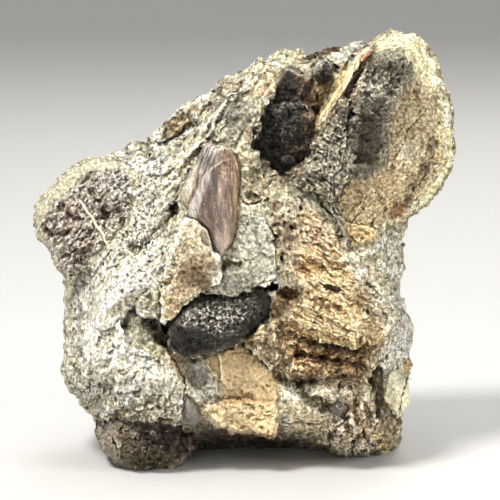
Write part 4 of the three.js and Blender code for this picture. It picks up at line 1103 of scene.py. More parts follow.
    # --- knobbly lumps right of the rib
    for (u, v, a, b, h) in [(261, 335, 9, 8.5, 1.6), (274, 340, 8.5, 9.5, 1.9), (283, 346, 4.6, 6.5, 1.4), (263, 349, 9, 6.5, 1.3), (275, 357, 7.5, 7.5, 1.4), (268, 364, 6, 6, 0.8), (289, 357, 6, 7, 0.6)]:
        q = np.sqrt(np.clip(1 - ball(u, v, a, b, W1, W2) ** 2, 0, 1))
        L.H = np.maximum(L.H, L.H * 0 + spots([[261, 335, 17.2], [283, 346, 15.8], [275, 357, 15.6], [289, 357, 14.6]], U, V, 12) + h * q * 1.5 - 30 * (q <= 0))
    m = soft([[250, 332], [258, 326], [270, 326], [280, 334], [288, 344], [292, 358], [284, 372], [274, 370], [262, 358], [250, 346]], W1, W2, 2)
    L.paint(m, (178, 162, 134), 0.8)
    # creases between the lumps painted dark: painted shade
    L.paint(m * (1 - clods), (92, 78, 60), 0.7)
    L.paint(soft([[242, 332], [252, 326], [256, 334], [250, 346], [243, 342]], W1, W2, 2), (112, 94, 56), 0.7)
    shadow = [[241, 343], [249, 349], [257, 357], [266, 367], [274, 375], [284, 381], [298, 382], [312, 381]]
    L.crack(shadow[:5], W1, W2, 2.2, 1.9, 0.6, False)
    q = sstep(7, 1, line(shadow[4:], X1, X2)[0] + 2.5 * rag)
    L.H -= 1.7 * q
    L.paint(q, (96, 78, 60), 0.75)

    # --- below the ledge: pale pitted ground, the small ledge and the foot
    m = soft([[278, 380], [298, 383], [304, 396], [306, 414], [304, 432], [278, 432]], W1, W2, 2)
    L.paint(m, (208, 198, 176), 0.85)
    m = soft([[282, 400], [306, 404], [330, 418], [336, 434], [326, 442], [300, 436], [280, 430]], X1, X2, 4)
    L.paint(m, (206, 188, 158), 0.6)
    L.paint(m * sstep(0.1, 0.5, mid), (160, 128, 92), 0.5)
    m = soft([[276, 422], [300, 422], [326, 424], [336, 436], [326, 446], [300, 441], [276, 438]], X1, X2, 4)
    L.paint(m, (198, 184, 158), 0.6)
    L.H += m * 0.5 * crisp
    L.crack([[280, 424], [294, 423], [306, 425], [318, 424]], X1, X2, 1.8, 0.7, 0.45)
    led = poly([[301, 386], [308, 383], [320, 384], [332, 389], [341, 397], [336, 403], [322, 400], [310, 395]], X1, X2)
    q = sstep(-2.0, 3.0, led)
    L.H += 1.5 * q + 0.5 * q * lump
    L.paint(q, (202, 192, 170), 0.7)
    # band below the small ledge: painted shadow
    q = sstep(7.5, 1, line([[300, 384], [304, 394], [313, 402], [326, 407]], X1, X2)[0] + 3 * rag) * (1 - 0.8 * q)
    L.H -= 1.5 * q
    L.paint(q, (150, 130, 104), 0.6)
    m = soft([[326, 384], [344, 380], [364, 376], [372, 384], [374, 400], [378, 420], [376, 446], [364, 456], [342, 456], [330, 448], [326, 432], [336, 418], [346, 404], [344, 392]], X1, X2, 4)
    foot = fbm(*turned(X1, X2, 82, 2.2, 1), 8, 3, 77, 0.6)
    spl = facets(*turned(X1, X2, 78, 2.0, 1), 9, 79)
    low = sstep(416, 432, V + 3 * mid)
    L.H += m * (1.1 * foot + 0.6 * lump + (0.9 + 0.9 * low) * spl + 0.35 * crisp)
    L.paint(m, (214, 194, 168), 0.85)
    L.paint(m * (1 - low) * sstep(0.0, 0.5, mid + 0.4 * lump), (206, 184, 152), 0.6)
    L.paint(m * sstep(0.15, 0.5, -foot - 0.4 * lump - 0.3 * spl), (146, 112, 78), 0.7)
    L.paint(m * sstep(0.2, 0.6, foot + 0.3 * lump + 0.4 * spl), (226, 210, 176), 0.65)
    ridge_ = sstep(7, 1.5, line([[364, 376], [366, 388], [371, 400], [372, 412]], X1, X2)[0])
    L.H += 1.1 * ridge_
    L.paint(ridge_, (206, 188, 158), 0.6)
    L.crack([[349, 416.6], [345, 420], [341, 425.6]], W1, W2, 1.8, 1.3, 0.65)
    L.crack([[341, 425], [336, 430], [333, 434]], X1, X2, 2.2, 1.2, 0.5)
    L.crack([[334, 402], [332, 414], [336, 424]], X1, X2, 2.0, 0.8, 0.4)
    for (u, v, a, b, g_) in [(357, 420, 2.6, 7, 20), (352, 440, 2.4, 8, -8), (364, 436, 2.6, 9, 12), (341, 444, 2.4, 7, 10), (370, 420, 2.2, 8, 0), (356, 402, 3, 5, 30), (345, 434, 2.4, 5, -30), (366, 410, 2.4, 6, -10), (350, 388, 5, 2.4, -20)]:
        q = sstep(1.4, 0.2, ball(u, v, a, b, X1, X2, g_)) * sstep(-0.4, 0.4, lump + 0.5 * fine)
        L.H -= 1.2 * q
        L.paint(q, (118, 86, 56), 0.7)
    trench = poly([[371, 364], [378, 362], [383, 370], [384, 384], [386, 398], [393, 410], [400, 418], [400, 428], [392, 433], [382, 430], [377, 416], [372, 400], [369, 384]], X1, X2)
    m = sstep(-2.2, 2.6, trench)
    L.H -= m * (2.0 * sstep(432, 404, V) + 0.3)
    L.paint(m, (132, 116, 92), 0.9)
    L.paint(m * sstep(4.5, 1.5, line([[373, 362], [374, 380], [377, 396], [382, 412]], X1, X2)[0]), (76, 60, 46), 0.75)
    L.paint(m * sstep(406, 416, V + 3 * mid), (112, 98, 80), 0.7)
    rough *= 1 - 0.45 * m
    m = soft([[374, 426], [384, 430], [398, 430], [398, 446], [384, 456], [372, 454]], X1, X2, 3)
    L.H += 0.5 * m + m * (0.5 * foot + 0.6 * crisp)
    L.paint(m, (150, 132, 98), 0.85)
    L.paint(m * sstep(0.1, 0.5, foot), (206, 190, 152), 0.6)
    m = soft([[400, 362], [412, 362], [413, 374], [408, 379], [400, 374]], X1, X2, 2)
    L.paint(m, (192, 152, 110), 0.75)
    # strip between the pale chip and the right edge
    m = soft([[405, 374], [413, 374], [412, 408], [406, 416], [400, 420], [402, 408], [407, 394]], X1, X2, 1.6)
    L.paint(m, (226, 216, 186), 0.8)
    L.H += m * (0.5 + 0.5 * crisp)

    # --- fine wrinkles that run down to the left, steeper at the left edge and on the right margin
    line1 = ridged(*turned(X1, X2, 50, 3.4, 1), 6.0, 4, 83) - 0.36
    line2 = ridged(*turned(X1, X2, 74, 3.2, 1), 5.4, 4, 85) - 0.36
    line3 = ridged(*turned(X1, X2, 50, 3.0, 1), 14.0, 2, 87) - 0.4
    left_ = sstep(192, 162, U + 0.35 * (V - 300))
    steep_ = sstep(126, 88, U)
    right_ = sstep(372, 384, U) * sstep(210, 225, V)
    lin = (line1 * (1 - steep_) + line2 * steep_) * left_ + line2 * right_
    amt = np.clip(left_ + right_, 0, 1) * (0.55 + 0.45 * sstep(-0.4, 0.3, mid))
    line4 = ridged(*turned(X1, X2, 42, 3.0, 1), 15.0, 2, 91) - 0.4
    L.H += 1.1 * line4 * sstep(206, 186, V) * sstep(118, 150, U) * sstep(288, 264, U)
    amt = amt * (1 - 0.75 * band)
    L.H += amt * (0.62 * lin) + left_ * (1 - 0.5 * band) * 1.1 * line3
    L.paint(amt * sstep(0.05, 0.4, lin), (238, 233, 216), 0.42)
    L.paint(amt * sstep(0.08, 0.34, -lin) * sstep(-0.3, 0.4, lump), (156, 144, 122), 0.36)

    # --- grain, pits and dark specks over all of the stone
    rough = np.clip(rough * (1 - 0.55 * sstep(165, 145, V) * sstep(285, 268, U)) * 0.78, 0.24, 0.95)
    L.H += rough * (0.56 * facA + 0.19 * facB + 0.12 * facC + 0.14 * lump + 0.15 * fine + 0.15 * grit + 0.10 * crisp) - rough * 0.24 * pits
    L.H += (1 - np.clip(rough, 0, 1)) * (0.10 * facC + 0.07 * fine + 0.10 * grit)
    L.tint(pits * np.clip(rough, 0, 1.2), 0.82)
    L.tint(specks * np.clip(rough, 0.4, 1), 0.80)
    L.C *= 1 + (0.10 * fine + 0.12 * grit + 0.05 * facC)[..., None]
    L.tint(sstep(0.30, 0.7, -grit - 0.3 * fine), 0.74)
    # oval patches lightened or darkened: partly the stone's own tone, partly painted light and painted shade
    for (u, v, a, b_, k) in [(118, 365, 46, 46, 0.15), (84, 322, 22, 34, 0.07), (150, 180, 30, 30, 0.06), (250, 238, 26, 20, 0.07), (398, 322, 16, 30, 0.45), (388, 258, 18, 24, 0.06), (291, 408, 16, 30, 0.16), (386, 400, 14, 28, 0.24),
                             (138, 414, 42, 16, 0.09), (240, 282, 18, 14, -0.24), (262, 240, 10, 14, -0.12), (214, 270, 5, 10, -0.24), (230, 120, 8, 14, -0.24), (262, 200, 12, 10, -0.16),
                             (258, 160, 8, 18, -0.16), (158, 204, 28, 44, 0.12), (392, 300, 9, 24, 0.20), (388, 392, 9, 14, 0.08), (330, 402, 16, 12, -0.24), (150, 402, 18, 14, -0.10), (258, 178, 24, 24, -0.14), (238, 114, 30, 28, -0.09), (192, 270, 28, 26, -0.17), (286, 232, 12, 20, -0.18), (258, 176, 16, 20, -0.15), (120, 365, 34, 36, -0.05), (150, 180, 20, 20, -0.07), (86, 325, 12, 26, -0.04), (237, 115, 22, 20, -0.05), (397, 322, 9, 20, 0.11), (384, 400, 8, 20, 0.08), (275, 436, 66, 9, -0.18), (357, 416, 20, 32, -0.12), (138, 414, 38, 12, -0.14), (104, 300, 60, 40, 0.04)]:
        L.C *= 1 + k * sstep(1.35, 0.3, ball(u, v, a, b_, X1, X2))[..., None]
    L.C *= np.array([1.035, 1.03, 1.01])
    L.C *= np.minimum(1, 0.95 / L.C.max(axis=-1, keepdims=True))
    L.R = 0.92 - 0.1 * (1 - np.clip(rough, 0, 1))
    return L




def make_left_spongy_bone(g, P):
    """Left spongy bone."""
    g = cropped(g, 30, 152, 146, 288)
    U, V, W1, W2, X1, X2, big, mid, lump, fine, grit, pits, craze, facA, facB, facC, crisp, rag = (g[k] for k in ("U", "V", "W1", "W2", "X1", "X2", "big", "mid", "lump", "fine", "grit", "pits", "craze", "facA", "facB", "facC", "crisp", "rag"))
    fib = fbm(*turned(X1, X2, 38, 2.8, 1), 4.6, 4, 101, 0.6)
    fi2 = ridged(*turned(X1, X2, 33, 2.2, 1), 8, 3, 103)
    f = piece(P, g, "left_spongy_bone", LEFT_OUTLINE, spots(LEFT_FACE, U, V, 9), (206, 196, 180), wob=0.6)
    inner = soft([[46, 214], [56, 203], [66, 194], [80, 182], [92, 174], [104, 171], [118, 170], [132, 176], [142, 196], [136, 212], [124, 230], [106, 248], [94, 260], [80, 274], [66, 278], [54, 262], [42, 242], [38, 226]], X1, X2, 5)
    rosy = soft([[60, 206], [76, 194], [92, 190], [104, 196], [112, 208], [110, 228], [96, 244], [84, 262], [70, 266], [56, 246], [48, 226]], X1, X2, 9)
    f.H += inner * (0.6 * fib + 0.4 * lump + 0.3 * (fi2 - 0.3) + 0.25 * facB + 0.6 * crisp + 0.12 * grit) + (1 - inner) * (0.16 * fine + 0.14 * crisp)
    f.paint(inner, (208, 200, 188), 0.8)
    f.paint(rosy, (196, 180, 166), 0.7)
    f.paint(1 - inner, (238, 234, 204), 0.9)
    f.paint(inner * sstep(0.0, 0.5, fib), (230, 224, 212), 0.7)
    f.paint(inner * sstep(0.1, 0.5, -fib), (136, 116, 104), 0.6)
    f.paint(rosy * sstep(0.1, 0.5, mid), (164, 144, 130), 0.4)
    fi3 = ridged(*turned(X1, X2, 52, 3.0, 1), 5.0, 3, 107) - 0.36
    f.H += inner * 0.7 * fi3
    f.paint(inner * sstep(0.1, 0.4, fi3), (236, 230, 220), 0.55)
    q = sstep(1.2, 0.5, ball(86, 178, 12, 5, X1, X2, 30))
    f.paint(q * sstep(-0.4, 0.3, fine), (104, 96, 84), 0.7)
    f.H -= 0.5 * q
    q = sstep(1.2, 0.6, ball(122, 176, 13, 9, X1, X2, 30))
    f.paint(q, (198, 192, 192), 0.7)
    f.H += q * 0.4 * crisp
    q = sstep(1.15, 0.5, ball(118, 195, 10, 6, W1, W2, -25))
    f.paint(q, (236, 232, 222), 0.85)
    f.H += 0.6 * q
    for (u, v, a, b, d, ang) in [(105, 211, 6.5, 7.5, 2.2, -60), (104, 219, 3.5, 5, 1.6, 90), (74, 216, 12, 4.0, 1.2, -25), (47, 231, 6.5, 6, 1.6, -50), (63, 234, 13, 3.0, 1.3, 5), (90, 232, 5, 3.5, 0.9, 40),
                                 (66, 255, 9, 4, 0.8, 20), (86, 250, 10, 3.5, 0.8, 28), (118, 210, 6, 3.4, 1.0, 10), (60, 208, 7, 2.6, 0.8, 40), (92, 190, 7, 2.6, 0.8, 38), (122, 222, 6, 3, 0.9, 35), (76, 262, 6, 3, 0.7, 15), (108, 235, 5, 3, 0.8, 40)]:
        q = sstep(1.3, 0.3, ball(u, v, a, b, X1, X2, ang))
        q = q * sstep(-0.5, 0.2, fib + 0.5 * lump + 0.4 * crisp)
        f.H -= d * q
        f.paint(q, (104, 84, 72), 0.6)
    f.crack([[118, 188], [126, 194], [131, 200]], X1, X2, 1.8, 0.7, 0.5)
    f.crack([[64, 273], [70, 275.5], [76, 275]], U, V, 1.6, 1.0, 0.8)
    f.paint(soft([[60, 262], [74, 268], [76, 281], [64, 281]], X1, X2, 2), (226, 216, 206), 0.7)
    f.H -= inner * 0.3 * pits
    f.tint(inner * pits, 0.62)
    f.tint(inner * sstep(0.2, 0.6, -fine), 0.8)
    f.C *= np.array([0.875, 0.865, 0.85])
    f.R[:] = 0.88


def make_tooth(g, P):
    """Tooth."""
    g = cropped(g, 170, 136, 250, 264)
    U, V, W1, W2, X1, X2, big, mid, lump, fine, grit, pits, craze, facA, facB, facC, crisp, rag = (g[k] for k in ("U", "V", "W1", "W2", "X1", "X2", "big", "mid", "lump", "fine", "grit", "pits", "craze", "facA", "facB", "facC", "crisp", "rag"))
    ax = np.array(TOOTH_AXIS, float)
    cu, hw = np.interp(V, ax[:, 0], ax[:, 1]), np.interp(V, ax[:, 0], ax[:, 2])
    r = np.clip((U - cu) / hw, -1, 1)
    top = np.interp(V, [143, 150, 165, 190, 215, 240, 257], [21.2, 21.6, 22.2, 22.8, 22.8, 22.0, 21.2])
    f = piece(P, g, "tooth_crown", TOOTH_OUTLINE, top - (3.9 - 1.0 * sstep(0.2, -0.4, r)) * (1 - np.sqrt(np.clip(1 - 0.93 * r * r, 0, 1))) - 0.3 * sstep(0, -1, r), (112, 90, 80), wob=0.1)
    along = (U - cu) / hw
    rib1 = fbm(along * 9, V * 0.03, 1.0, 3, 111, 0.65)
    rib2 = fbm(along * 17, V * 0.04, 1.0, 2, 113)
    rib3 = fbm(along * 27, V * 0.07, 1.0, 2, 119)
    f.paint(sstep(-0.1, 0.5, rib1), (158, 134, 118), 0.65)
    f.paint(sstep(0.1, 0.5, -rib1), (62, 46, 40), 0.65)
    cen = sstep(1.0, 0.0, np.abs(along - 0.32 - 0.001 * (V - 200)) / 0.24)
    f.paint(cen * sstep(172, 186, V), (158, 134, 122), 0.65)
    f.paint(sstep(222, 250, V), (172, 148, 140), 0.75)
    amb = sstep(0.52, 0.66, along) * sstep(154, 168, V)
    f.paint(amb, (134, 102, 76), 0.75)
    f.paint(amb * sstep(0.16, 0.0, np.abs(along - 0.80)), (172, 144, 112), 0.6)
    f.paint(amb * sstep(0.10, 0.0, np.abs(along - 0.60)), (92, 66, 50), 0.6)
    dk2 = soft([[200, 186], [210, 172], [218, 166], [220, 176], [216, 190], [206, 206], [198, 208]], W1, W2, 3)
    f.paint(dk2, (66, 52, 46), 0.75)
    # pale lilac band on the left flank: partly the enamel's tone, partly a painted highlight, with near-white painted
    # glints
    lilac_highlight = soft([[186, 218], [188, 208], [194, 196], [200, 182], [207, 170], [212, 166], [210, 180], [205, 192], [200, 206], [197, 220]], U, V, 1.4)
    f.paint(lilac_highlight, (226, 216, 208), 0.8)
    f.paint(lilac_highlight * sstep(0.0, 0.4, rib2), (150, 134, 126), 0.6)
    f.paint(lilac_highlight * sstep(0.1, 0.4, rib3), (250, 246, 240), 0.7)
    lft = soft([[204, 144], [200, 160], [197, 176], [193, 190], [188, 202], [188, 210], [181, 202], [177, 194], [183, 184], [190, 170], [196, 156]], W1, W2, 1.4)
    f.paint(lft, (212, 200, 180), 0.85)
    f.paint(lft * sstep(0.1, 0.5, grit + 0.5 * facC), (240, 234, 220), 0.6)
    f.paint(lft * sstep(0.2, 0.6, -grit - 0.4 * fine), (128, 112, 92), 0.6)
    f.paint(lft * sstep(0.1, 0.6, mid + 0.4 * fine), (156, 124, 94), 0.5)
    f.H += lft * (0.25 * crisp + 0.15 * lump - 0.3)
    tp = soft([[202, 142], [216, 142], [222, 150], [220, 160], [210, 168], [200, 180], [198, 164]], U, V, 2)
    st = fbm(*turned(U, V, 68, 7, 1), 2.3, 2, 115)
    f.paint(tp, (142, 134, 128), 0.8)
    f.paint(tp * sstep(0.05, 0.4, st), (226, 222, 216), 0.7)
    f.paint(tp * sstep(0.05, 0.4, -st), (58, 46, 42), 0.8)
    f.H += tp * 0.5 * st
    rt = soft([[220, 148], [232, 150], [240, 156], [242, 168], [236, 176], [226, 180], [218, 174], [222, 160]], U, V, 1.8)
    f.paint(rt, (118, 90, 74), 0.7)
    f.paint(rt * sstep(0.16, 0.04, craze), (214, 184, 156), 0.75)
    f.H += rt * (0.25 * lump - 0.25 * sstep(0.12, 0.0, craze))
    chip = soft([[219, 168], [224, 162], [229, 166], [228, 176], [224, 181], [219, 178]], W1, W2, 1.2)
    f.H -= 0.6 * chip
    f.paint(chip, (198, 172, 148), 0.8)
    f.ridge([[198, 182], [206, 174], [213, 168], [221, 162], [227, 160]], U, V, 1.1, 0.25, (232, 222, 206), 0.95)
    f.ridge([[206, 144], [214, 143.6], [218, 147], [228, 149.4], [236, 154.6]], U, V, 1.3, 0.35, (226, 214, 192), 0.85)
    for k, (a, b) in enumerate([(205, 190), (212, 196), (207, 212), (216, 222), (204, 204), (224, 200), (211, 184), (220, 238), (227, 226), (200, 214), (215, 207)]):
        f.paint(sstep(1.3, 0.4, ball(a, b, 0.9, 0.9, U, V)), (214, 196, 176), 0.8)
    lip = sstep(2.2, 0.4, line([[239.4, 203], [237.7, 220], [235, 237], [231.5, 243.5], [225.5, 250.5], [222, 256]], U, V)[0])
    f.paint(lip, (206, 176, 140), 0.6)
    f.H += 0.10 * rib1 + 0.05 * rib2
    f.H -= 0.35 * sstep(1.6, 0.0, f.sd)
    f.paint(sstep(1.25, 0.35, ball(210, 200, 8, 30, X1, X2, 6)), (84, 64, 54), 0.45)
    f.paint(amb * sstep(0.08, 0.4, rib3 + 0.4 * rib2), (214, 184, 144), 0.6)
    f.paint(amb * sstep(0.08, 0.4, -rib3 - 0.4 * rib2), (86, 60, 44), 0.6)
    f.paint(sstep(0.15, 0.5, rib2 + 0.4 * rib3) * (1 - tp), (186, 164, 148), 0.42)
    f.paint(sstep(0.15, 0.5, -rib2 - 0.5 * rib3) * (1 - lft), (74, 56, 46), 0.48)
    salt = sstep(0.45, 0.8, grit + 0.5 * facC) * sstep(-0.1, 0.3, mid)
    f.paint(salt, (206, 192, 176), 0.45)
    f.paint(sstep(220, 248, V), (190, 170, 156), 0.6)
    f.paint(cen * sstep(172, 190, V) * sstep(-0.3, 0.3, rib2), (204, 184, 168), 0.45)
    f.C *= (1 + 0.12 * fine + 0.14 * grit + 0.09 * rib3 + 0.05 * rib2)[..., None] * np.array([0.845, 0.855, 0.84])
    f.H += 0.05 * grit + 0.06 * fine
    f.R[:] = 0.33
    f.R += 0.35 * lft + 0.2 * tp + 0.2 * rt


def make_black_rib(g, P):
    """Black rib."""
    g = cropped(g, 160, 280, 280, 366)
    U, V, W1, W2, X1, X2, big, mid, lump, fine, grit, pits, craze, facA, facB, facC, crisp, rag = (g[k] for k in ("U", "V", "W1", "W2", "X1", "X2", "big", "mid", "lump", "fine", "grit", "pits", "craze", "facA", "facB", "facC", "crisp", "rag"))
    ca, _ = line([[192, 331], [213, 327], [236, 316], [252, 306], [264, 299]], U, V, 60)
    rr = np.interp(U, [166, 190, 215, 240, 258, 272], [25.5, 26, 25.5, 24, 20, 13])
    f = piece(P, g, "black_rib_bone", RIB_OUTLINE, np.interp(U, [168, 190, 215, 240, 262, 272], [21.6, 22.4, 21.8, 20.2, 18.2, 17.2]) - 3.6 * (1 - np.sqrt(np.clip(1 - (ca / rr) ** 2 * 0.92, 0, 1))), (48, 45, 40), wob=0.7)
    lit = soft([[178, 322], [188, 308], [206, 298], [232, 302], [250, 296], [262, 300], [256, 312], [240, 322], [226, 334], [212, 334], [196, 328], [184, 328]], X1, X2, 6)
    lit2 = sstep(1.3, 0.4, ball(212, 342, 7, 5, X1, X2, 20)) + sstep(1.3, 0.4, ball(238, 332, 12, 6, X1, X2, 30)) * 0.7
    salt = sstep(-0.05, 0.5, grit + 0.5 * facC + 0.3 * fine)
    f.paint(lit, (92, 88, 78), 0.7)
    f.paint(lit * sstep(0.0, 0.5, fine + 0.5 * facC + 0.7 * mid + 0.3 * lump), (156, 151, 137), 0.72)
    f.paint(lit * salt, (216, 212, 198), 0.7)
    f.paint(lit2 * sstep(0.0, 0.5, fine + 0.5 * grit), (150, 145, 130), 0.7)
    f.paint((1 - lit) * sstep(0.35, 0.8, grit + 0.4 * facC), (120, 116, 106), 0.6)
    q = soft([[172, 338], [190, 328], [204, 332], [206, 342], [198, 352], [186, 355], [174, 350]], X1, X2, 4)
    f.paint(q, (26, 25, 24), 0.8)
    f.paint(q * sstep(0.5, 0.9, grit + 0.5 * fine), (110, 108, 98), 0.5)
    q = soft([[236, 296], [252, 291], [262, 292], [266, 304], [254, 316], [240, 314]], X1, X2, 4)
    f.paint(q, (56, 53, 48), 0.6)
    f.paint(q * sstep(0.3, 0.8, grit + 0.5 * facC), (176, 172, 160), 0.6)
    q = soft([[222, 336], [246, 330], [262, 318], [262, 328], [244, 342], [224, 350]], X1, X2, 3)
    f.paint(q * sstep(-0.1, 0.4, mid + lump), (92, 90, 82), 0.6)
    f.H += 0.45 * mid + 0.35 * lump + 0.5 * facA + 0.3 * facB + lit * (0.28 * facC + 0.22 * fine + 0.3 * crisp) + (1 - lit) * (0.15 * crisp + 0.12 * facC) + 0.12 * grit
    f.R[:] = 0.5 + 0.2 * lit


def make_black_shaft(g, P):
    """Black shaft."""
    g = cropped(g, 250, 62, 322, 186)
    U, V, W1, W2, X1, X2, big, mid, lump, fine, grit, pits, craze, facA, facB, facC, crisp, rag = (g[k] for k in ("U", "V", "W1", "W2", "X1", "X2", "big", "mid", "lump", "fine", "grit", "pits", "craze", "facA", "facB", "facC", "crisp", "rag"))
    f = piece(P, g, "black_bone_shaft", BLACK_OUTLINE, spots(BLACK_FACE, U, V, 8), (40, 36, 32), wob=0.45)
    bf = fbm(*turned(U, V, 66, 2.2, 1), 4.0, 3, 131)
    up = soft([[284, 66], [312, 76], [303, 96], [292, 101], [270, 104], [276, 84]], U, V, 1.4)
    f.H += 0.4 * lump + 0.25 * bf + 0.5 * facA + 0.25 * facB + 0.15 * facC + 0.2 * crisp + 0.1 * grit
    # upper block: a flat face that leans back, its right side turned away
    plane = 15.6 - 0.05 * (V - 84) - 0.09 * np.abs(U - 294)
    f.H = f.H * (1 - 0.45 * up) + (plane + 0.3 * lump + 0.3 * facA) * 0.45 * up
    f.H -= 1.0 * up * sstep(-1.0, 2.0, turned(U - 302, V - 86, 58)[1] * -1)
    f.paint(sstep(0.1, 0.6, bf + 0.4 * fine), (66, 59, 52), 0.6)
    f.paint(sstep(0.1, 0.5, -lump), (20, 18, 16), 0.6)
    mid_ = soft([[272, 108], [296, 102], [304, 116], [298, 134], [282, 140], [266, 138], [264, 122]], X1, X2, 4)
    f.paint(mid_ * sstep(0.1, 0.55, grit + 0.5 * facC + 0.3 * fine), (150, 147, 140), 0.6)
    f.paint((1 - mid_) * sstep(0.35, 0.8, grit + 0.4 * facC), (112, 104, 92), 0.5)
    br = soft([[304, 108], [315, 116], [318, 130], [314, 146], [306, 156], [298, 158], [299, 146], [303, 134], [300, 122]], X1, X2, 4)
    f.paint(br, (118, 98, 78), 0.75)
    f.paint(br * sstep(0.1, 0.5, bf + 0.4 * fine), (168, 150, 126), 0.6)
    f.paint(br * sstep(0.2, 0.6, -lump), (58, 46, 36), 0.7)
    lo = soft([[292, 140], [304, 146], [304, 160], [294, 168], [286, 160]], X1, X2, 4)
    f.paint(lo, (84, 68, 52), 0.6)
    f.paint(lo * sstep(0.1, 0.5, fine), (136, 112, 84), 0.5)
    am = soft([[292, 72], [300, 75], [308, 79], [304, 84], [296, 82]], W1, W2, 1.4)
    f.paint(am, (104, 74, 56), 0.7)
    f.paint(am * sstep(0.2, 0.7, fine + 0.5 * grit), (160, 132, 110), 0.5)
    q = soft([[296, 82], [305, 84], [300, 96], [292, 100]], W1, W2, 2)
    f.paint(q, (70, 56, 46), 0.6)
    f.ridge([[307.6, 79], [303, 87], [298, 95], [294, 99.6]], X1, X2, 1.0, 0.3, (186, 168, 144), 0.7)
    f.ridge([[299, 100.6], [306, 108], [314, 117]], X1, X2, 1.1, 0.4, (210, 194, 168), 0.8)
    f.ridge([[287, 70.4], [297, 73.5], [307, 78]], X1, X2, 1.1, 0.3, (170, 156, 140), 0.6)
    q = soft([[272, 104], [280, 99], [292, 100], [299, 104], [294, 110], [284, 106], [276, 112], [270, 112]], X1, X2, 2)
    f.paint(q * sstep(-0.3, 0.3, fine + 0.4 * grit), (166, 158, 146), 0.7)
    f.H -= 0.5 * q
    q = soft([[262, 142], [268, 136], [274, 138], [270, 146], [264, 152]], X1, X2, 1.6)
    f.paint(q * sstep(0.0, 0.5, grit + 0.4 * fine), (186, 180, 168), 0.7)
    q = ball(288.5, 163, 7.5, 8.5, W1, W2, 30)
    f.H += 1.4 * np.sqrt(np.clip(1 - q * q, 0, 1))
    f.paint(sstep(1.1, 0.8, q), (28, 26, 24), 0.7)
    # the knob's lighter upper rim is a painted highlight
    f.paint(sstep(0.25, 0.0, np.abs(q - 0.95)) * sstep(166, 158, V), (118, 110, 98), 0.55)
    f.C *= 0.9
    f.R[:] = 0.5


def make_black_pebble(g, P):
    """Black pebble."""
    g = cropped(g, 306, 50, 340, 90)
    U, V, W1, W2, X1, X2, big, mid, lump, fine, grit, pits, craze, facA, facB, facC, crisp, rag = (g[k] for k in ("U", "V", "W1", "W2", "X1", "X2", "big", "mid", "lump", "fine", "grit", "pits", "craze", "facA", "facB", "facC", "crisp", "rag"))
    b = ball(322.5, 71, 10.2, 13.4, U, V, 6)
    f = piece(P, g, "black_pebble", [[325, 57.5], [331, 65], [332.4, 76], [325, 83.6], [318.5, 83.4], [313, 75], [312.4, 69], [317, 62.6]],
              9.8 + 3.4 * np.sqrt(np.clip(1 - 0.85 * b * b, 0, 1)) + 0.3 * lump, (44, 42, 40), wob=0.3)
    f.H += 0.5 * facB + 0.2 * facC + 0.15 * fine
    q = soft([[316, 60], [325, 57], [323, 66], [318, 74], [312, 74], [313, 66]], X1, X2, 1.6)
    f.paint(q, (128, 128, 118), 0.6)
    f.paint(q * sstep(0.0, 0.5, grit + fine), (190, 188, 176), 0.5)
    f.paint(sstep(1.2, 0.6, ball(325, 68, 4, 5, X1, X2)), (30, 28, 26), 0.7)
    f.paint(sstep(1.2, 0.6, ball(323, 79, 6, 4, X1, X2)), (28, 26, 24), 0.7)
    f.paint(sstep(0.4, 0.9, grit + 0.5 * facC), (150, 144, 132), 0.5)
    f.ridge([[325, 58.6], [331, 66], [332, 76]], U, V, 1.1, 0.3, (170, 166, 154), 0.7)
    f.R[:] = 0.35


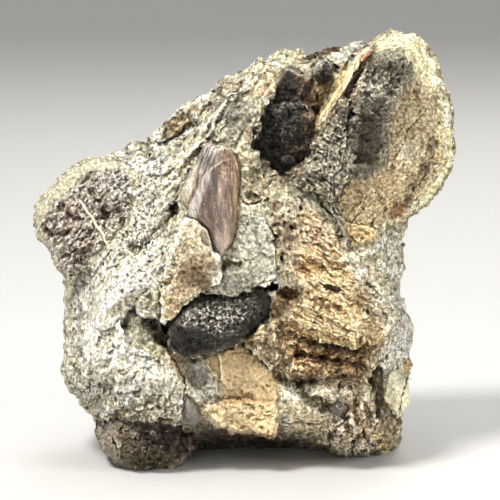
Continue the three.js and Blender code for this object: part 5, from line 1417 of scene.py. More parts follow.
def make_grey_spongy_bone(g, P):
    """Grey spongy bone."""
    g = cropped(g, 280, 44, 420, 208)
    U, V, W1, W2, X1, X2, big, mid, lump, fine, grit, pits, craze, facA, facB, facC, crisp, rag = (g[k] for k in ("U", "V", "W1", "W2", "X1", "X2", "big", "mid", "lump", "fine", "grit", "pits", "craze", "facA", "facB", "facC", "crisp", "rag"))
    f = piece(P, g, "grey_spongy_bone", SPONGY_OUTLINE, spots(SPONGY_FACE, U, V, 9), (112, 106, 94), wob=0.7)
    w1, w2, wid = cells(X1, X2, 8.5, 141)
    v1, v2, vid = cells(X1, X2, 4.2, 143)
    crum = ridged(W1, W2, 9, 4, 145)
    calm = sstep(1.15, 0.75, ball(368, 141, 18, 22, X1, X2))
    knob = 0.75 * (0.55 - w1) + 0.42 * (0.5 - v1) + 0.4 * lump
    calm = sstep(1.25, 0.6, ball(369, 141, 17, 26, X1, X2, -6))
    f.H += (1 - calm) * (0.9 * knob + 0.5 * facA + 0.35 * facB + 0.15 * facC + 0.5 * crisp + 0.12 * grit) + calm * (0.4 * mid + 0.2 * crisp)
    f.paint((1 - calm) * sstep(0.1, 0.55, knob + 0.25 * fine), (146, 140, 124), 0.65)
    f.paint((1 - calm) * sstep(0.0, -0.4, knob), (74, 68, 56), 0.6)
    dk3 = soft([[372, 58], [392, 52], [408, 62], [410, 84], [400, 98], [388, 106], [392, 88], [384, 74], [374, 72]], X1, X2, 5)
    f.paint(dk3, (116, 110, 94), 0.65)
    f.paint(dk3 * sstep(0.0, 0.5, -mid - 0.4 * lump), (64, 60, 50), 0.7)
    f.paint(dk3 * sstep(0.1, 0.6, crisp + 0.5 * fine), (170, 166, 148), 0.6)
    lt3 = soft([[356, 78], [374, 66], [384, 78], [388, 92], [374, 104], [358, 104], [350, 92]], X1, X2, 5)
    f.paint(lt3 * sstep(-0.3, 0.4, fine + 0.5 * crisp + 0.3 * lump), (188, 182, 166), 0.6)
    lt4 = soft([[318, 140], [334, 128], [346, 134], [350, 160], [346, 178], [324, 176], [306, 166]], X1, X2, 6)
    f.paint(lt4 * sstep(-0.3, 0.4, fine + 0.5 * crisp + 0.3 * lump), (182, 174, 154), 0.6)
    f.paint((1 - calm) * sstep(0.25, 0.6, fine + 0.4 * knob), (186, 180, 162), 0.5)
    # the smooth hollow is painted dark, darkest at its top: partly the bone's dark tone, partly painted shade
    f.paint(calm, (76, 71, 58), 0.85)
    f.paint(calm * sstep(140, 164, V), (112, 105, 88), 0.6)
    f.paint(calm * sstep(0.2, 0.6, mid + 0.5 * fine), (110, 104, 88), 0.5)
    f.paint(calm * sstep(0.2, 0.6, -mid), (48, 44, 36), 0.6)
    q = sstep(1.1, 0.4, ball(366, 133, 8, 9, W1, W2)) + sstep(1.1, 0.4, ball(371, 151, 9, 9, W1, W2))
    f.H += 0.9 * q
    f.H -= 0.8 * calm
    for (u, v, a, b_, h, ang) in [(381, 64, 9.5, 8, 1.6, 0), (397, 63, 8, 9, 1.2, 0), (402, 79, 9, 9, 1.0, 0), (391, 86, 8, 8, 0.8, 0), (341, 105, 8, 8, 1.6, 30), (336, 120, 7, 7, 1.0, 0), (356, 98, 7, 6, 0.8, 0), (384, 114, 7, 7, 0.9, 0), (375, 100, 9, 7, 0.6, 0)]:
        q = sstep(1.15, 0.2, ball(u, v, a, b_, X1, X2, ang))
        f.H += h * q
        f.paint(q, (84, 79, 70), 0.55)
    ring = sstep(1.0, 0.1, line([[350, 168], [362, 166], [374, 164], [383, 156], [387, 146]], W1, W2)[0] / 5.5)
    f.H += 0.8 * ring
    f.paint(ring, (138, 130, 108), 0.6)
    # the lumps are painted lighter towards their crowns: painted highlights
    for (u, v, a, b_, h) in [(364, 128, 8, 7, 0.9), (374, 140, 7, 8, 0.7), (362, 148, 8, 8, 0.9), (374, 156, 8, 6, 0.6)]:
        q = np.sqrt(np.clip(1 - ball(u, v, a, b_, X1, X2) ** 2, 0, 1))
        f.H += h * q
        f.paint(q * sstep(-0.2, 0.5, fine + 0.3), (104, 98, 82), 0.35)
    f.H += calm * (0.25 * facB + 0.12 * facC + 0.15 * fine)
    # dark slot right of the blade: painted shade inside it
    q = soft([[343, 96], [350, 84], [357, 72], [366, 62], [362, 74], [356, 86], [352, 96], [346, 100]], W1, W2, 1.6)
    f.H -= 1.5 * q
    f.paint(q, (78, 60, 50), 0.8)
    f.paint(q * sstep(0.1, 0.5, -fine - 0.5 * lump), (38, 30, 26), 0.8)
    q = soft([[352, 94], [357, 84], [361, 88], [358, 100], [353, 102]], X1, X2, 1.4)
    f.H += 1.2 * q
    f.paint(q, (96, 82, 68), 0.7)
    # near-black hole: painted shade
    q = sstep(1.3, 0.5, ball(353.8, 113, 3.6, 4.6, X1, X2))
    f.H -= 3.0 * q
    f.paint(q, (18, 15, 13), 0.97)
    f.crack([[349.5, 116], [347, 124], [345.5, 131]], W1, W2, 2.4, 2.2, 0.8, False)
    q = soft([[318, 132], [330, 116], [338, 112], [344, 118], [342, 132], [334, 140], [322, 146]], X1, X2, 2)
    f.paint(q * sstep(-0.2, 0.4, lump), (176, 168, 150), 0.6)
    q = soft([[286, 180], [300, 168], [316, 170], [336, 180], [338, 196], [320, 200], [300, 194], [290, 188]], X1, X2, 3)
    f2 = fbm(*turned(U, V, -40, 3, 1), 3, 3, 147)
    f.paint(q, (104, 94, 80), 0.6)
    f.H += q * 0.5 * f2
    f.paint(q * sstep(0.1, 0.5, f2), (160, 152, 134), 0.6)
    f.paint(q * sstep(0.1, 0.5, -f2), (56, 46, 38), 0.7)
    f.H += (1 - 0.8 * calm) * (0.2 * fine + 0.08 * grit - 0.3 * pits)
    f.tint((1 - calm) * pits, 0.55)
    f.C = f.C * 1.05
    # the hollow darkened once more: painted shade
    f.tint(sstep(1.3, 0.6, ball(369, 141, 17, 26, X1, X2, -6)), 0.74)
    f.C *= 1 + 0.12 * (dk3 + lt3)[..., None]
    f.R[:] = 0.8 - 0.2 * calm


def make_blade(g, P):
    """Blade."""
    g = cropped(g, 302, 42, 384, 142)
    U, V, W1, W2, X1, X2, big, mid, lump, fine, grit, pits, craze, facA, facB, facC, crisp, rag = (g[k] for k in ("U", "V", "W1", "W2", "X1", "X2", "big", "mid", "lump", "fine", "grit", "pits", "craze", "facA", "facB", "facC", "crisp", "rag"))
    d, t = line([[363, 50], [352, 66], [340, 86], [327, 108], [315, 129]], U, V, 30)
    f = piece(P, g, "bone_blade", BLADE_OUTLINE, spots(BLADE_FACE, U, V, 14), (190, 166, 124), wob=0.35)
    st = fbm(*turned(W1, W2, 57, 8, 1), 2.2, 3, 151, 0.6)
    off = line([[368, 52], [352, 74], [343, 91], [331, 109], [316, 132]], U, V, 30)[0]
    f.H += 0.35 * st + 0.1 * fine - 0.10 * off
    f.paint(sstep(0.05, 0.5, st), (216, 198, 158), 0.5)
    f.paint(sstep(0.1, 0.5, -st), (146, 118, 82), 0.6)
    f.paint(sstep(4, 8, off), (168, 144, 104), 0.5)
    # the near-white line along the crest is a painted highlight
    f.ridge([[366, 54], [352, 74], [343, 91], [331, 109], [314, 133]], U, V, 1.7, 0.7, (244, 238, 220), 0.9)
    # right side: reddish brown tone with painted shadow
    right_brown_and_shadow = soft([[360, 62], [366, 58], [376, 52], [376, 64], [362, 80], [352, 96], [344, 104], [344, 94], [350, 82]], X1, X2, 1.6)
    f.H -= 1.0 * right_brown_and_shadow
    f.paint(right_brown_and_shadow, (96, 72, 58), 0.8)
    f.paint(soft([[356, 52], [364, 48], [373, 47], [377, 54], [368, 60], [360, 60]], X1, X2, 2), (122, 84, 66), 0.75)
    f.C *= 1 + (0.12 * fine + 0.12 * grit)[..., None]
    f.R[:] = 0.6


def make_tan_lobe(g, P):
    """Tan lobe."""
    g = cropped(g, 330, 28, 458, 254)
    U, V, W1, W2, X1, X2, big, mid, lump, fine, grit, pits, craze, facA, facB, facC, crisp, rag = (g[k] for k in ("U", "V", "W1", "W2", "X1", "X2", "big", "mid", "lump", "fine", "grit", "pits", "craze", "facA", "facB", "facC", "crisp", "rag"))
    f = piece(P, g, "tan_bone_lobe", LOBE_OUTLINE, spots(LOBE_FACE, U, V, 13), (206, 188, 152), wob=0.35)
    t1 = fbm(W1, W2, 20, 3, 161)
    f.paint(sstep(0.0, 0.5, t1), (190, 172, 138), 0.6)
    rimq = sstep(19, 5, f.sd + 5 * mid + 3 * lump + sstep(60, 120, V) * 7 - sstep(150, 210, V) * 2)
    edge = rimq * sstep(366, 378, U + 0.3 * (V - 60))
    f.paint(edge, (232, 221, 178), 0.8)
    topc = soft([[372, 44], [386, 34], [412, 35], [428, 50], [436, 74], [446, 96], [438, 98], [426, 84], [416, 74], [410, 58], [394, 50], [378, 52]], X1, X2, 5)
    f.paint(topc, (240, 231, 190), 0.85)
    f.paint(topc * sstep(0.1, 0.6, fine + 0.5 * mid + 0.4 * facB), (206, 190, 140), 0.55)
    f.paint(topc * sstep(0.3, 0.8, -fine - 0.4 * lump), (176, 160, 112), 0.6)
    lowl = soft([[340, 190], [352, 180], [372, 178], [390, 168], [404, 176], [400, 200], [386, 212], [380, 226], [352, 222], [340, 210]], X1, X2, 4)
    f.paint(lowl, (212, 188, 146), 0.7)
    orp = soft([[341, 222], [350, 223], [368, 226], [380, 231], [379, 244], [350, 250], [340, 240]], X1, X2, 2.4)
    f.paint(orp, (240, 206, 152), 0.9)
    f.H += 0.3 * orp
    grc = soft([[398, 92], [414, 84], [432, 96], [436, 120], [430, 140], [414, 146], [402, 130], [396, 110]], X1, X2, 5)
    f.paint(grc, (196, 178, 144), 0.6)
    wht = sstep(1.3, 0.3, ball(406, 152, 12, 11, X1, X2))
    f.paint(wht, (220, 212, 190), 0.6)
    q = soft([[390, 206], [398, 202], [406, 205], [407, 213], [400, 220], [390, 219]], X1, X2, 2.5)
    f.paint(q, (150, 104, 78), 0.8)
    f.H -= 0.5 * q
    for (u, v, a, b_, c) in [(439, 92, 4, 6, (112, 104, 84)), (436, 99, 5, 4, (96, 88, 70)), (438, 108, 3, 6, (140, 126, 98)), (429, 146, 7, 4, (104, 96, 80)), (436, 156, 7, 4, (184, 146, 102)), (415, 187, 6, 4, (124, 106, 84)), (409, 200, 5, 5, (98, 84, 68)),
                             (396, 202, 3, 5, (120, 92, 70)), (405, 95, 7, 6, (176, 152, 118)), (414, 92, 5, 3, (150, 128, 100)), (440, 122, 3, 6, (206, 160, 116)), (425, 170, 4, 7, (150, 126, 96)), (418, 100, 4, 3, (160, 136, 100))]:
        q = sstep(1.4, 0.3, ball(u, v, a, b_, X1, X2)) * sstep(-0.5, 0.3, fine + 0.5 * grit + 0.2)
        f.paint(q, c, 0.75)
        f.H -= 0.35 * q
    sw = fbm(U, V, 34, 2, 167)
    flow = V * 0.10 + 0.016 * (U - 392) * (V - 120) / 10 + 2.6 * sw + 0.9 * mid + 0.35 * lump
    ring1 = fbm(flow * 3.0, (U - 0.35 * V) * 0.06 + 3 * sw, 1.0, 3, 163, 0.6)
    a2 = fbm(*turned(X1, X2, 66, 4, 1), 3.4, 3, 165, 0.6)
    low2 = sstep(168, 190, V - 0.1 * (U - 380))
    fibre = a2 * (1 - low2) + ring1 * low2
    f.H += 0.35 * t1 + 0.35 * mid + 0.25 * lump + 0.30 * fibre + 0.26 * facA + 0.12 * facC + 0.25 * crisp + 0.10 * grit
    f.paint(sstep(0.06, 0.4, -fibre) * (1 - 0.7 * topc), (160, 134, 98), 0.5)
    f.paint(sstep(0.08, 0.45, fibre) * (1 - 0.7 * topc), (230, 214, 178), 0.55)
    valley = line([[434, 140], [431, 152], [426, 164], [417, 180], [408, 192], [404, 204]], X1, X2)[0]
    q = sstep(9, 0.5, valley + 2.5 * rag)
    f.H -= 0.8 * q
    f.paint(q * sstep(-0.4, 0.5, fine + 0.4 * lump), (160, 136, 104), 0.55)
    q = soft([[440, 88], [446, 94], [450, 116], [452, 156], [450, 168], [442, 184], [430, 198], [418, 211], [410, 212], [418, 196], [432, 176], [438, 156], [440, 130], [438, 104]], X1, X2, 3)
    f.paint(q, (230, 216, 172), 0.75)
    f.paint(q * sstep(0.0, 0.5, fine + lump), (196, 168, 118), 0.65)
    f.H += q * (0.3 * lump + 0.3 * crisp)
    f.crack([[424, 115], [417, 120], [411, 126], [407, 133], [404, 141], [400, 150], [395, 158], [391, 167]], W1, W2, 1.1, 0.4, 0.35, False)
    f.crack([[343, 219], [352, 223], [364, 225], [374, 227.6], [379, 232]], W1, W2, 1.2, 0.8, 0.65, False)
    f.crack([[350, 224], [356, 216], [362, 212], [366, 205]], W1, W2, 1.0, 0.4, 0.45)
    f.crack([[428, 168], [424, 178], [415, 188], [408, 198]], X1, X2, 1.7, 0.6, 0.45)
    f.H -= 0.2 * pits * (1 - 0.4 * topc)
    f.tint(pits * (1 - 0.4 * topc), 0.72)
    f.tint(sstep(0.25, 0.7, -fine), 0.86)
    f.C *= (0.945 - 0.03 * sstep(396, 372, U))[..., None]
    f.R[:] = 0.78


def make_orange_spongy_bone(g, P):
    """Orange spongy bone with its ledge and the layered recess."""
    g = cropped(g, 268, 202, 404, 388)
    U, V, W1, W2, X1, X2, big, mid, lump, fine, grit, pits, craze, facA, facB, facC, crisp, rag = (g[k] for k in ("U", "V", "W1", "W2", "X1", "X2", "big", "mid", "lump", "fine", "grit", "pits", "craze", "facA", "facB", "facC", "crisp", "rag"))
    f = piece(P, g, "orange_spongy_bone", ORANGE_OUTLINE, spots(ORANGE_FACE, U, V, 10), (206, 178, 136), wob=1.0)
    o1 = fbm(*turned(X1, X2, -28, 1.9, 1), 3.8, 4, 171, 0.65)
    o2 = fbm(*turned(X1, X2, -26, 1.8, 1), 10, 3, 173)
    o3 = facets(*turned(X1, X2, -28, 1.8, 1), 5, 174)
    o4 = ridged(*turned(X1, X2, -27, 3.4, 1), 6.5, 3, 178) - 0.36
    edge_v = np.interp(U, [276, 284, 300, 318, 330, 345, 362, 375, 386, 396], [326, 331, 337, 340, 341, 346, 348.5, 348, 341, 330]) + 2.4 * lump + 1.4 * fine + 1.0 * facB
    below = sstep(-2.2, 2.4, V - edge_v)
    f.H += 0.24 * o1 + 0.5 * o2 + 0.12 * lump + 0.14 * o3 + 0.12 * crisp + 0.12 * grit + 0.22 * facA + 0.8 * o4
    # brown hollows at the left, cream swellings at the right
    for (u, v, a, b_, d, g_) in [(302, 270, 11, 8, 1.0, -20), (312, 262, 14, 5, 0.7, -25), (284, 322, 9, 5, 1.0, -35), (296, 326, 10, 4, 0.7, -20), (318, 300, 16, 4, 0.5, -28), (330, 262, 16, 4, 0.5, -30), (344, 312, 14, 4, 0.45, -26), (366, 322, 12, 4, 0.4, -26), (318, 244, 12, 3.6, 0.5, -35)]:
        q = sstep(1.4, 0.2, ball(u, v, a, b_, X1, X2, g_) - 0.25 * rag)
        f.H -= d * q
        f.paint(q * sstep(-0.5, 0.3, o1 + 0.4 * fine), (156, 116, 78), 0.6)
    f.H -= 2.6 * sstep(16, -1, edge_v - V) ** 2
    shelf = 2.0 * sstep(330, 300, U) + np.interp(V, [330, 345, 352, 358, 366, 372, 380], [14.6, 14.4, 15.2, 15.0, 16.0, 15.8, 14.6]) + 1.1 * fbm(*turned(X1, X2, 4, 2.6, 1), 7, 3, 175) + 0.5 * facB
    f.H = f.H * (1 - below) + shelf * below
    f.paint(sstep(0.0, 0.5, o1 + 0.4 * o3), (232, 210, 170), 0.6)
    f.paint(sstep(0.08, 0.4, o4), (238, 218, 180), 0.4)
    f.paint(sstep(0.1, 0.34, -o4), (152, 114, 78), 0.42)
    f.paint(sstep(0.1, 0.5, -o1 - 0.3 * fine), (170, 132, 92), 0.5)
    f.paint(sstep(0.15, 0.6, o2), (218, 184, 130), 0.45)
    f.paint(sstep(1.3, 0.3, ball(318, 234, 20, 20, X1, X2, -40)), (204, 176, 152), 0.7)
    f.paint(sstep(1.2, 0.3, ball(326, 222, 8, 12, X1, X2)) * 0.6, (172, 160, 140), 0.7)
    f.paint(soft([[340, 250], [362, 262], [384, 284], [398, 300], [400, 322], [390, 338], [378, 322], [370, 300], [356, 280]], X1, X2, 8), (234, 225, 202), 0.8)
    f.paint(soft([[336, 312], [364, 314], [384, 322], [376, 336], [350, 334], [330, 328]], X1, X2, 5), (224, 202, 160), 0.5)
    f.paint(sstep(1.2, 0.3, ball(306, 268, 14, 10, X1, X2)), (178, 130, 86), 0.55)
    f.paint(sstep(1.3, 0.3, ball(352, 266, 12, 6, X1, X2, -40)), (196, 190, 168), 0.6)
    lip = sstep(7, 1, np.abs(V - edge_v + 4)) * (1 - below)
    # darker brown where the dome rounds down to its lower edge: painted shade
    f.paint(sstep(13, 2, edge_v - V + 3 * lump) * (1 - below), (190, 150, 104), 0.6)
    f.paint(lip * sstep(0.1, 0.6, fine + 0.4 * facC), (232, 210, 164), 0.45)
    q = soft([[324, 285], [331, 284.6], [341, 288], [343, 292], [334, 293], [325, 290]], W1, W2, 1.2)
    f.H -= 0.9 * q
    f.paint(q, (124, 104, 90), 0.7)
    for (u, v, a, b_, ang) in [(326, 300, 5, 1.6, -24), (316, 312, 4, 1.5, -24), (352, 306, 6, 1.4, -24), (368, 286, 6, 1.5, -20), (384, 314, 5, 1.6, -35), (340, 270, 5, 1.5, -24), (312, 330, 5, 1.5, -15), (350, 332, 6, 1.3, -12), (322, 322, 4, 1.4, -20), (366, 312, 4, 1.3, -20), (338, 248, 6, 1.6, -40), (330, 262, 5, 1.4, -30)]:
        q = sstep(1.3, 0.3, ball(u, v, a, b_, X1, X2, ang)) * sstep(-0.4, 0.3, fine + 0.4)
        f.H -= 0.6 * q
        f.paint(q, (128, 92, 62), 0.6)
    bands = fbm(*turned(X1, X2, 5, 2.8, 1), 6.0, 4, 177, 0.6)
    f.paint(below, (176, 146, 108), 0.92)
    f.paint(below * sstep(0.0, 0.45, bands + 0.3 * fine), (222, 190, 146), 0.75)
    f.paint(below * sstep(0.35, 0.7, bands + 0.4 * fine), (230, 208, 172), 0.6)
    f.paint(below * sstep(0.0, 0.4, -bands - 0.2 * fine), (92, 70, 48), 0.8)
    f.H += below * (0.9 * bands + 0.5 * crisp)
    # dark bands just under the ledge: painted shadow
    f.paint(below * sstep(12, 3, V - edge_v + 3 * lump) * sstep(316, 328, U), (84, 66, 48), 0.8)
    f.paint(below * sstep(6, 1, V - edge_v), (96, 74, 54), 0.6)
    f.paint(below * sstep(364, 374, V + 2 * mid), (120, 98, 72), 0.5)
    # dark line under the lower ledge: painted shadow
    q = sstep(6, 0.5, line([[284, 372], [300, 378.5], [326, 379], [350, 378], [366, 370]], X1, X2)[0] + 2.5 * rag)
    f.H -= 1.2 * q
    f.paint(q, (88, 66, 48), 0.65)
    q = sstep(5, 0.5, line([[296, 352], [318, 356], [340, 362], [366, 366]], X1, X2)[0] + 3 * rag)
    f.H -= 0.9 * q
    f.paint(q * below, (86, 62, 44), 0.65)
    f.H -= (1 - below) * 0.22 * pits
    f.tint(pits, 0.66)
    f.tint(sstep(0.25, 0.7, -fine), 0.84)
    f.C *= 0.965
    f.R[:] = 0.85


def make_ochre_slab(g, P):
    """Ochre slab."""
    g = cropped(g, 196, 336, 286, 444)
    U, V, W1, W2, X1, X2, big, mid, lump, fine, grit, pits, craze, facA, facB, facC, crisp, rag = (g[k] for k in ("U", "V", "W1", "W2", "X1", "X2", "big", "mid", "lump", "fine", "grit", "pits", "craze", "facA", "facB", "facC", "crisp", "rag"))
    f = piece(P, g, "ochre_bone_slab", OCHRE_OUTLINE, spots(OCHRE_FACE, U, V, 9), (222, 196, 152), wob=0.9)
    s1 = fbm(*turned(X1, X2, -38, 2.0, 1), 10, 4, 181, 0.55)
    s2 = fbm(*turned(X1, X2, -8, 1.8, 1), 5, 3, 183)
    f.H += 0.4 * s1 + 0.22 * s2 + 0.15 * lump + 0.25 * facA
    f.paint(sstep(0.0, 0.5, s1), (204, 172, 126), 0.55)
    f.paint(sstep(0.1, 0.6, -s1), (234, 216, 178), 0.55)
    lower = sstep(-2.0, 2.0, V - 399 - 0.02 * (U - 250) + 1.6 * lump + 1.2 * fine)
    lft = sstep(262, 236, U)
    f.H += 0.6 * lower * sstep(410, 400, V) * lft - 0.6 * sstep(385, 398, V) * (1 - lower) * lft
    f.paint(lower, (234, 212, 170), 0.6)
    f.paint(lower * sstep(0.1, 0.5, s2), (212, 180, 132), 0.5)
    f.paint(lower * sstep(0.3, 0.7, lump + 0.5 * fine), (240, 226, 192), 0.5)
    # soft dark line along the step: painted shadow
    q = sstep(6, 0.5, line([[219, 400], [230, 401], [242, 399], [252, 398]], X1, X2)[0] + 2.0 * rag)
    f.H -= 0.5 * q
    f.paint(q, (160, 126, 88), 0.6)
    q = soft([[240, 400], [250, 398], [278, 396], [279, 402], [262, 405], [250, 406], [244, 404]], X1, X2, 3)
    f.paint(q, (196, 160, 112), 0.5)
    for (u, v, a, b_) in [(242, 392, 1.6, 1.2), (248, 394, 3, 1.4), (247, 405.6, 4, 2), (240, 413, 3, 1.5), (250, 416, 5, 2), (258, 420, 5, 1.8), (231, 421, 2.4, 1.4), (268, 411, 2.4, 1.2), (234, 353, 3, 1.4), (244, 427, 4, 1.6), (213, 413, 3, 1.6), (262, 427, 3, 1.3), (268, 385, 2, 1.2), (252, 408, 4, 2)]:
        q = sstep(1.4, 0.3, ball(u, v, a, b_, X1, X2, -5))
        f.H -= 0.4 * q
        f.paint(q, (170, 134, 92), 0.5)
    f.H += lower * (0.2 * crisp + 0.12 * facB)
    f.C *= 0.93
    f.paint(sstep(1.3, 0.3, ball(213, 364, 12, 10, X1, X2)), (192, 160, 118), 0.5)
    f.paint(sstep(1.3, 0.3, ball(252, 358, 16, 7, X1, X2, -45)), (196, 164, 118), 0.4)
    f.paint(sstep(426, 434, V + 2 * lump), (170, 138, 100), 0.6)
    f.H += 0.10 * fine + 0.10 * crisp + 0.06 * grit - 0.14 * pits
    f.tint(pits * 0.6, 0.75)
    f.tint(sstep(0.25, 0.7, -fine), 0.88)
    f.R[:] = 0.8


def make_brown_knob(g, P):
    """Brown knob."""
    g = cropped(g, 92, 412, 200, 474)
    U, V, W1, W2, X1, X2, big, mid, lump, fine, grit, pits, craze, facA, facB, facC, crisp, rag = (g[k] for k in ("U", "V", "W1", "W2", "X1", "X2", "big", "mid", "lump", "fine", "grit", "pits", "craze", "facA", "facB", "facC", "crisp", "rag"))
    bb = ball(145, 440, 48, 34, U, V)
    f = piece(P, g, "brown_bone_knob", KNOB_OUTLINE, 5.5 + 9.2 * np.sqrt(np.clip(1 - 0.9 * bb * bb, 0, 1)), (104, 92, 76), wob=0.35)
    f.paint(sstep(0.0, 0.5, mid + 0.3 * lump), (88, 78, 62), 0.6)
    q = soft([[98, 424], [112, 426], [122, 438], [126, 452], [122, 466], [110, 460], [98, 440]], X1, X2, 6)
    shell = q
    f.paint(q, (176, 160, 140), 0.85)
    f.paint(q * sstep(0.0, 0.5, fine + 0.4 * lump), (204, 190, 168), 0.5)
    f.paint(q * sstep(0.2, 0.6, -lump), (120, 98, 78), 0.6)
    q = soft([[140, 424], [156, 418], [184, 420], [193, 438], [186, 450], [168, 454], [150, 448], [138, 436]], X1, X2, 5)
    f.paint(q, (50, 40, 34), 0.9)
    f.paint(q * sstep(0.1, 0.6, fine + 0.4 * lump + 0.3 * grit), (112, 98, 84), 0.55)
    q = soft([[126, 446], [150, 450], [178, 456], [168, 468], [140, 470], [122, 462]], X1, X2, 5)
    f.paint(q, (86, 76, 54), 0.8)
    f.paint(q * sstep(0.1, 0.6, fine + 0.4 * mid), (136, 120, 88), 0.6)
    for (u, v, a, b) in [(143, 450, 5, 3.6), (133, 436, 4, 6), (126, 430, 4, 3), (152, 432, 4, 3), (168, 430, 4, 2.4), (120, 446, 3, 4), (160, 446, 3, 2.4)]:
        q = sstep(1.3, 0.3, ball(u, v, a, b, X1, X2)) * sstep(-0.3, 0.3, fine + 0.4 * grit + 0.1)
        f.paint(q, (186, 176, 158), 0.75)
        f.H += 0.4 * q
    f.paint(sstep(432, 422, V + 3 * mid) * sstep(-0.1, 0.4, fine), (170, 158, 136), 0.5)
    f.crack([[99, 425], [105, 430], [112, 437], [116, 446], [118, 456]], W1, W2, 1.3, 0.8, 0.5)
    f.H += (1 - 0.3 * shell) * (0.8 * mid + 0.5 * lump + 0.6 * big + 0.6 * facA + 0.35 * facB + 0.2 * facC + 0.5 * crisp + 0.12 * grit)
    f.paint(sstep(430, 420, V + 3 * mid + 3 * rag), (200, 190, 166), 0.75)
    f.C *= 0.9
    f.R[:] = 0.55


def make_pebbles(g, P):
    """Pebbles, chip."""
    g = cropped(g, 174, 220, 418, 434)
    U, V, W1, W2, X1, X2, big, mid, lump, fine, grit, pits, craze, facA, facB, facC, crisp, rag = (g[k] for k in ("U", "V", "W1", "W2", "X1", "X2", "big", "mid", "lump", "fine", "grit", "pits", "craze", "facA", "facB", "facC", "crisp", "rag"))
    def small(name, outline, h, colour, dome=1.4, rough_=0.55, wob=0.35):
        q = piece(P, g, name, outline, h + dome * sstep(-3, 9, poly(outline, U, V)), colour, wob=wob)
        q.H += 0.15 * lump + 0.10 * fine + 0.12 * crisp + 0.3 * facB
        q.paint(sstep(0.0, 0.6, mid + 0.4 * fine + 0.4 * lump), tuple(min(255, c * 1.35) for c in colour), 0.6)
        q.paint(sstep(0.2, 0.7, -mid - 0.3 * fine), tuple(c * 0.72 for c in colour), 0.5)
        q.C *= 1 + (0.16 * fine + 0.14 * grit)[..., None]
        q.R[:] = rough_
        return q
    f = small("dark_pebble_upper", [[187.6, 371], [188.4, 363], [193, 359.4], [203, 359.6], [207.4, 365], [207.8, 375], [205, 383], [201, 388.6], [195, 388.8], [189.6, 383], [186.6, 378]], 14.6, (112, 108, 99), 1.0)
    up2 = soft([[186, 356], [210, 356], [210, 368], [200, 371], [188, 374], [184, 366]], X1, X2, 3)
    f.paint(up2, (150, 146, 134), 0.8)
    f.paint(up2 * sstep(0.1, 0.5, fine + 0.4 * grit), (186, 182, 168), 0.5)
    f = small("dark_pebble_lower", [[186.4, 394], [191, 398], [196, 403], [200, 411], [200.6, 418], [197, 424.6], [191, 426.4], [185.4, 421], [181, 413], [182, 402]], 14.4, (104, 101, 92), 1.2)
    f.paint(soft([[182, 398], [188, 396], [190, 408], [186, 420], [180, 412]], X1, X2, 2), (136, 130, 116), 0.5)
    f.H -= 0.2 * facB + 0.05 * crisp
    f = small("dark_chip", [[337, 399], [344, 404.6], [347, 408], [341, 416], [334, 414.4], [329.4, 407]], 14.8, (82, 79, 72), 0.5, 0.45)
    f.paint(sstep(1.3, 0.3, ball(337, 406.4, 1.2, 0.9, U, V)), (206, 202, 190), 0.8)
    small("grey_grit_by_tooth", [[203.6, 226.4], [207, 230.6], [209.2, 238], [210.6, 246], [206, 245], [201.4, 242], [199.6, 234]], 22.3, (128, 118, 104), 0.8, 0.5)
    f = piece(P, g, "pale_shell_chip", CHIP_OUTLINE, spots(CHIP_FACE, U, V, 9), (200, 197, 168), wob=0.4)
    f.H += 0.3 * mid + 0.1 * fine + 0.15 * fbm(*turned(U, V, 70, 4, 1), 4, 2, 191) + 0.12 * crisp + 0.2 * facB
    f.paint(sstep(0.0, 0.5, mid + 0.3 * fine), (222, 219, 194), 0.55)
    f.paint(sstep(0.1, 0.6, -mid - 0.2 * lump), (176, 170, 140), 0.6)
    q = soft([[385, 376], [391, 372], [392, 390], [396, 406], [390, 408], [383, 396]], X1, X2, 2)
    f.paint(q, (168, 156, 126), 0.6)
    for (u, v) in [(393.4, 383), (393, 389.4)]:
        f.paint(sstep(1.3, 0.4, ball(u, v, 1.0, 1.0, U, V)), (84, 74, 60), 0.8)
    f.crack([[407, 377], [404.6, 386], [402, 396], [401, 404], [399, 414]], W1, W2, 1.3, 0.5, 0.5, False)
    f.paint(soft([[404, 372], [411, 378], [410, 404], [401, 416], [402, 398], [406, 386]], X1, X2, 1.4), (228, 220, 192), 0.6)
    f.R[:] = 0.6


MAKERS = [make_left_spongy_bone, make_tooth, make_black_rib, make_black_shaft, make_black_pebble, make_grey_spongy_bone, make_blade, make_tan_lobe, make_orange_spongy_bone, make_ochre_slab, make_brown_knob, make_pebbles]


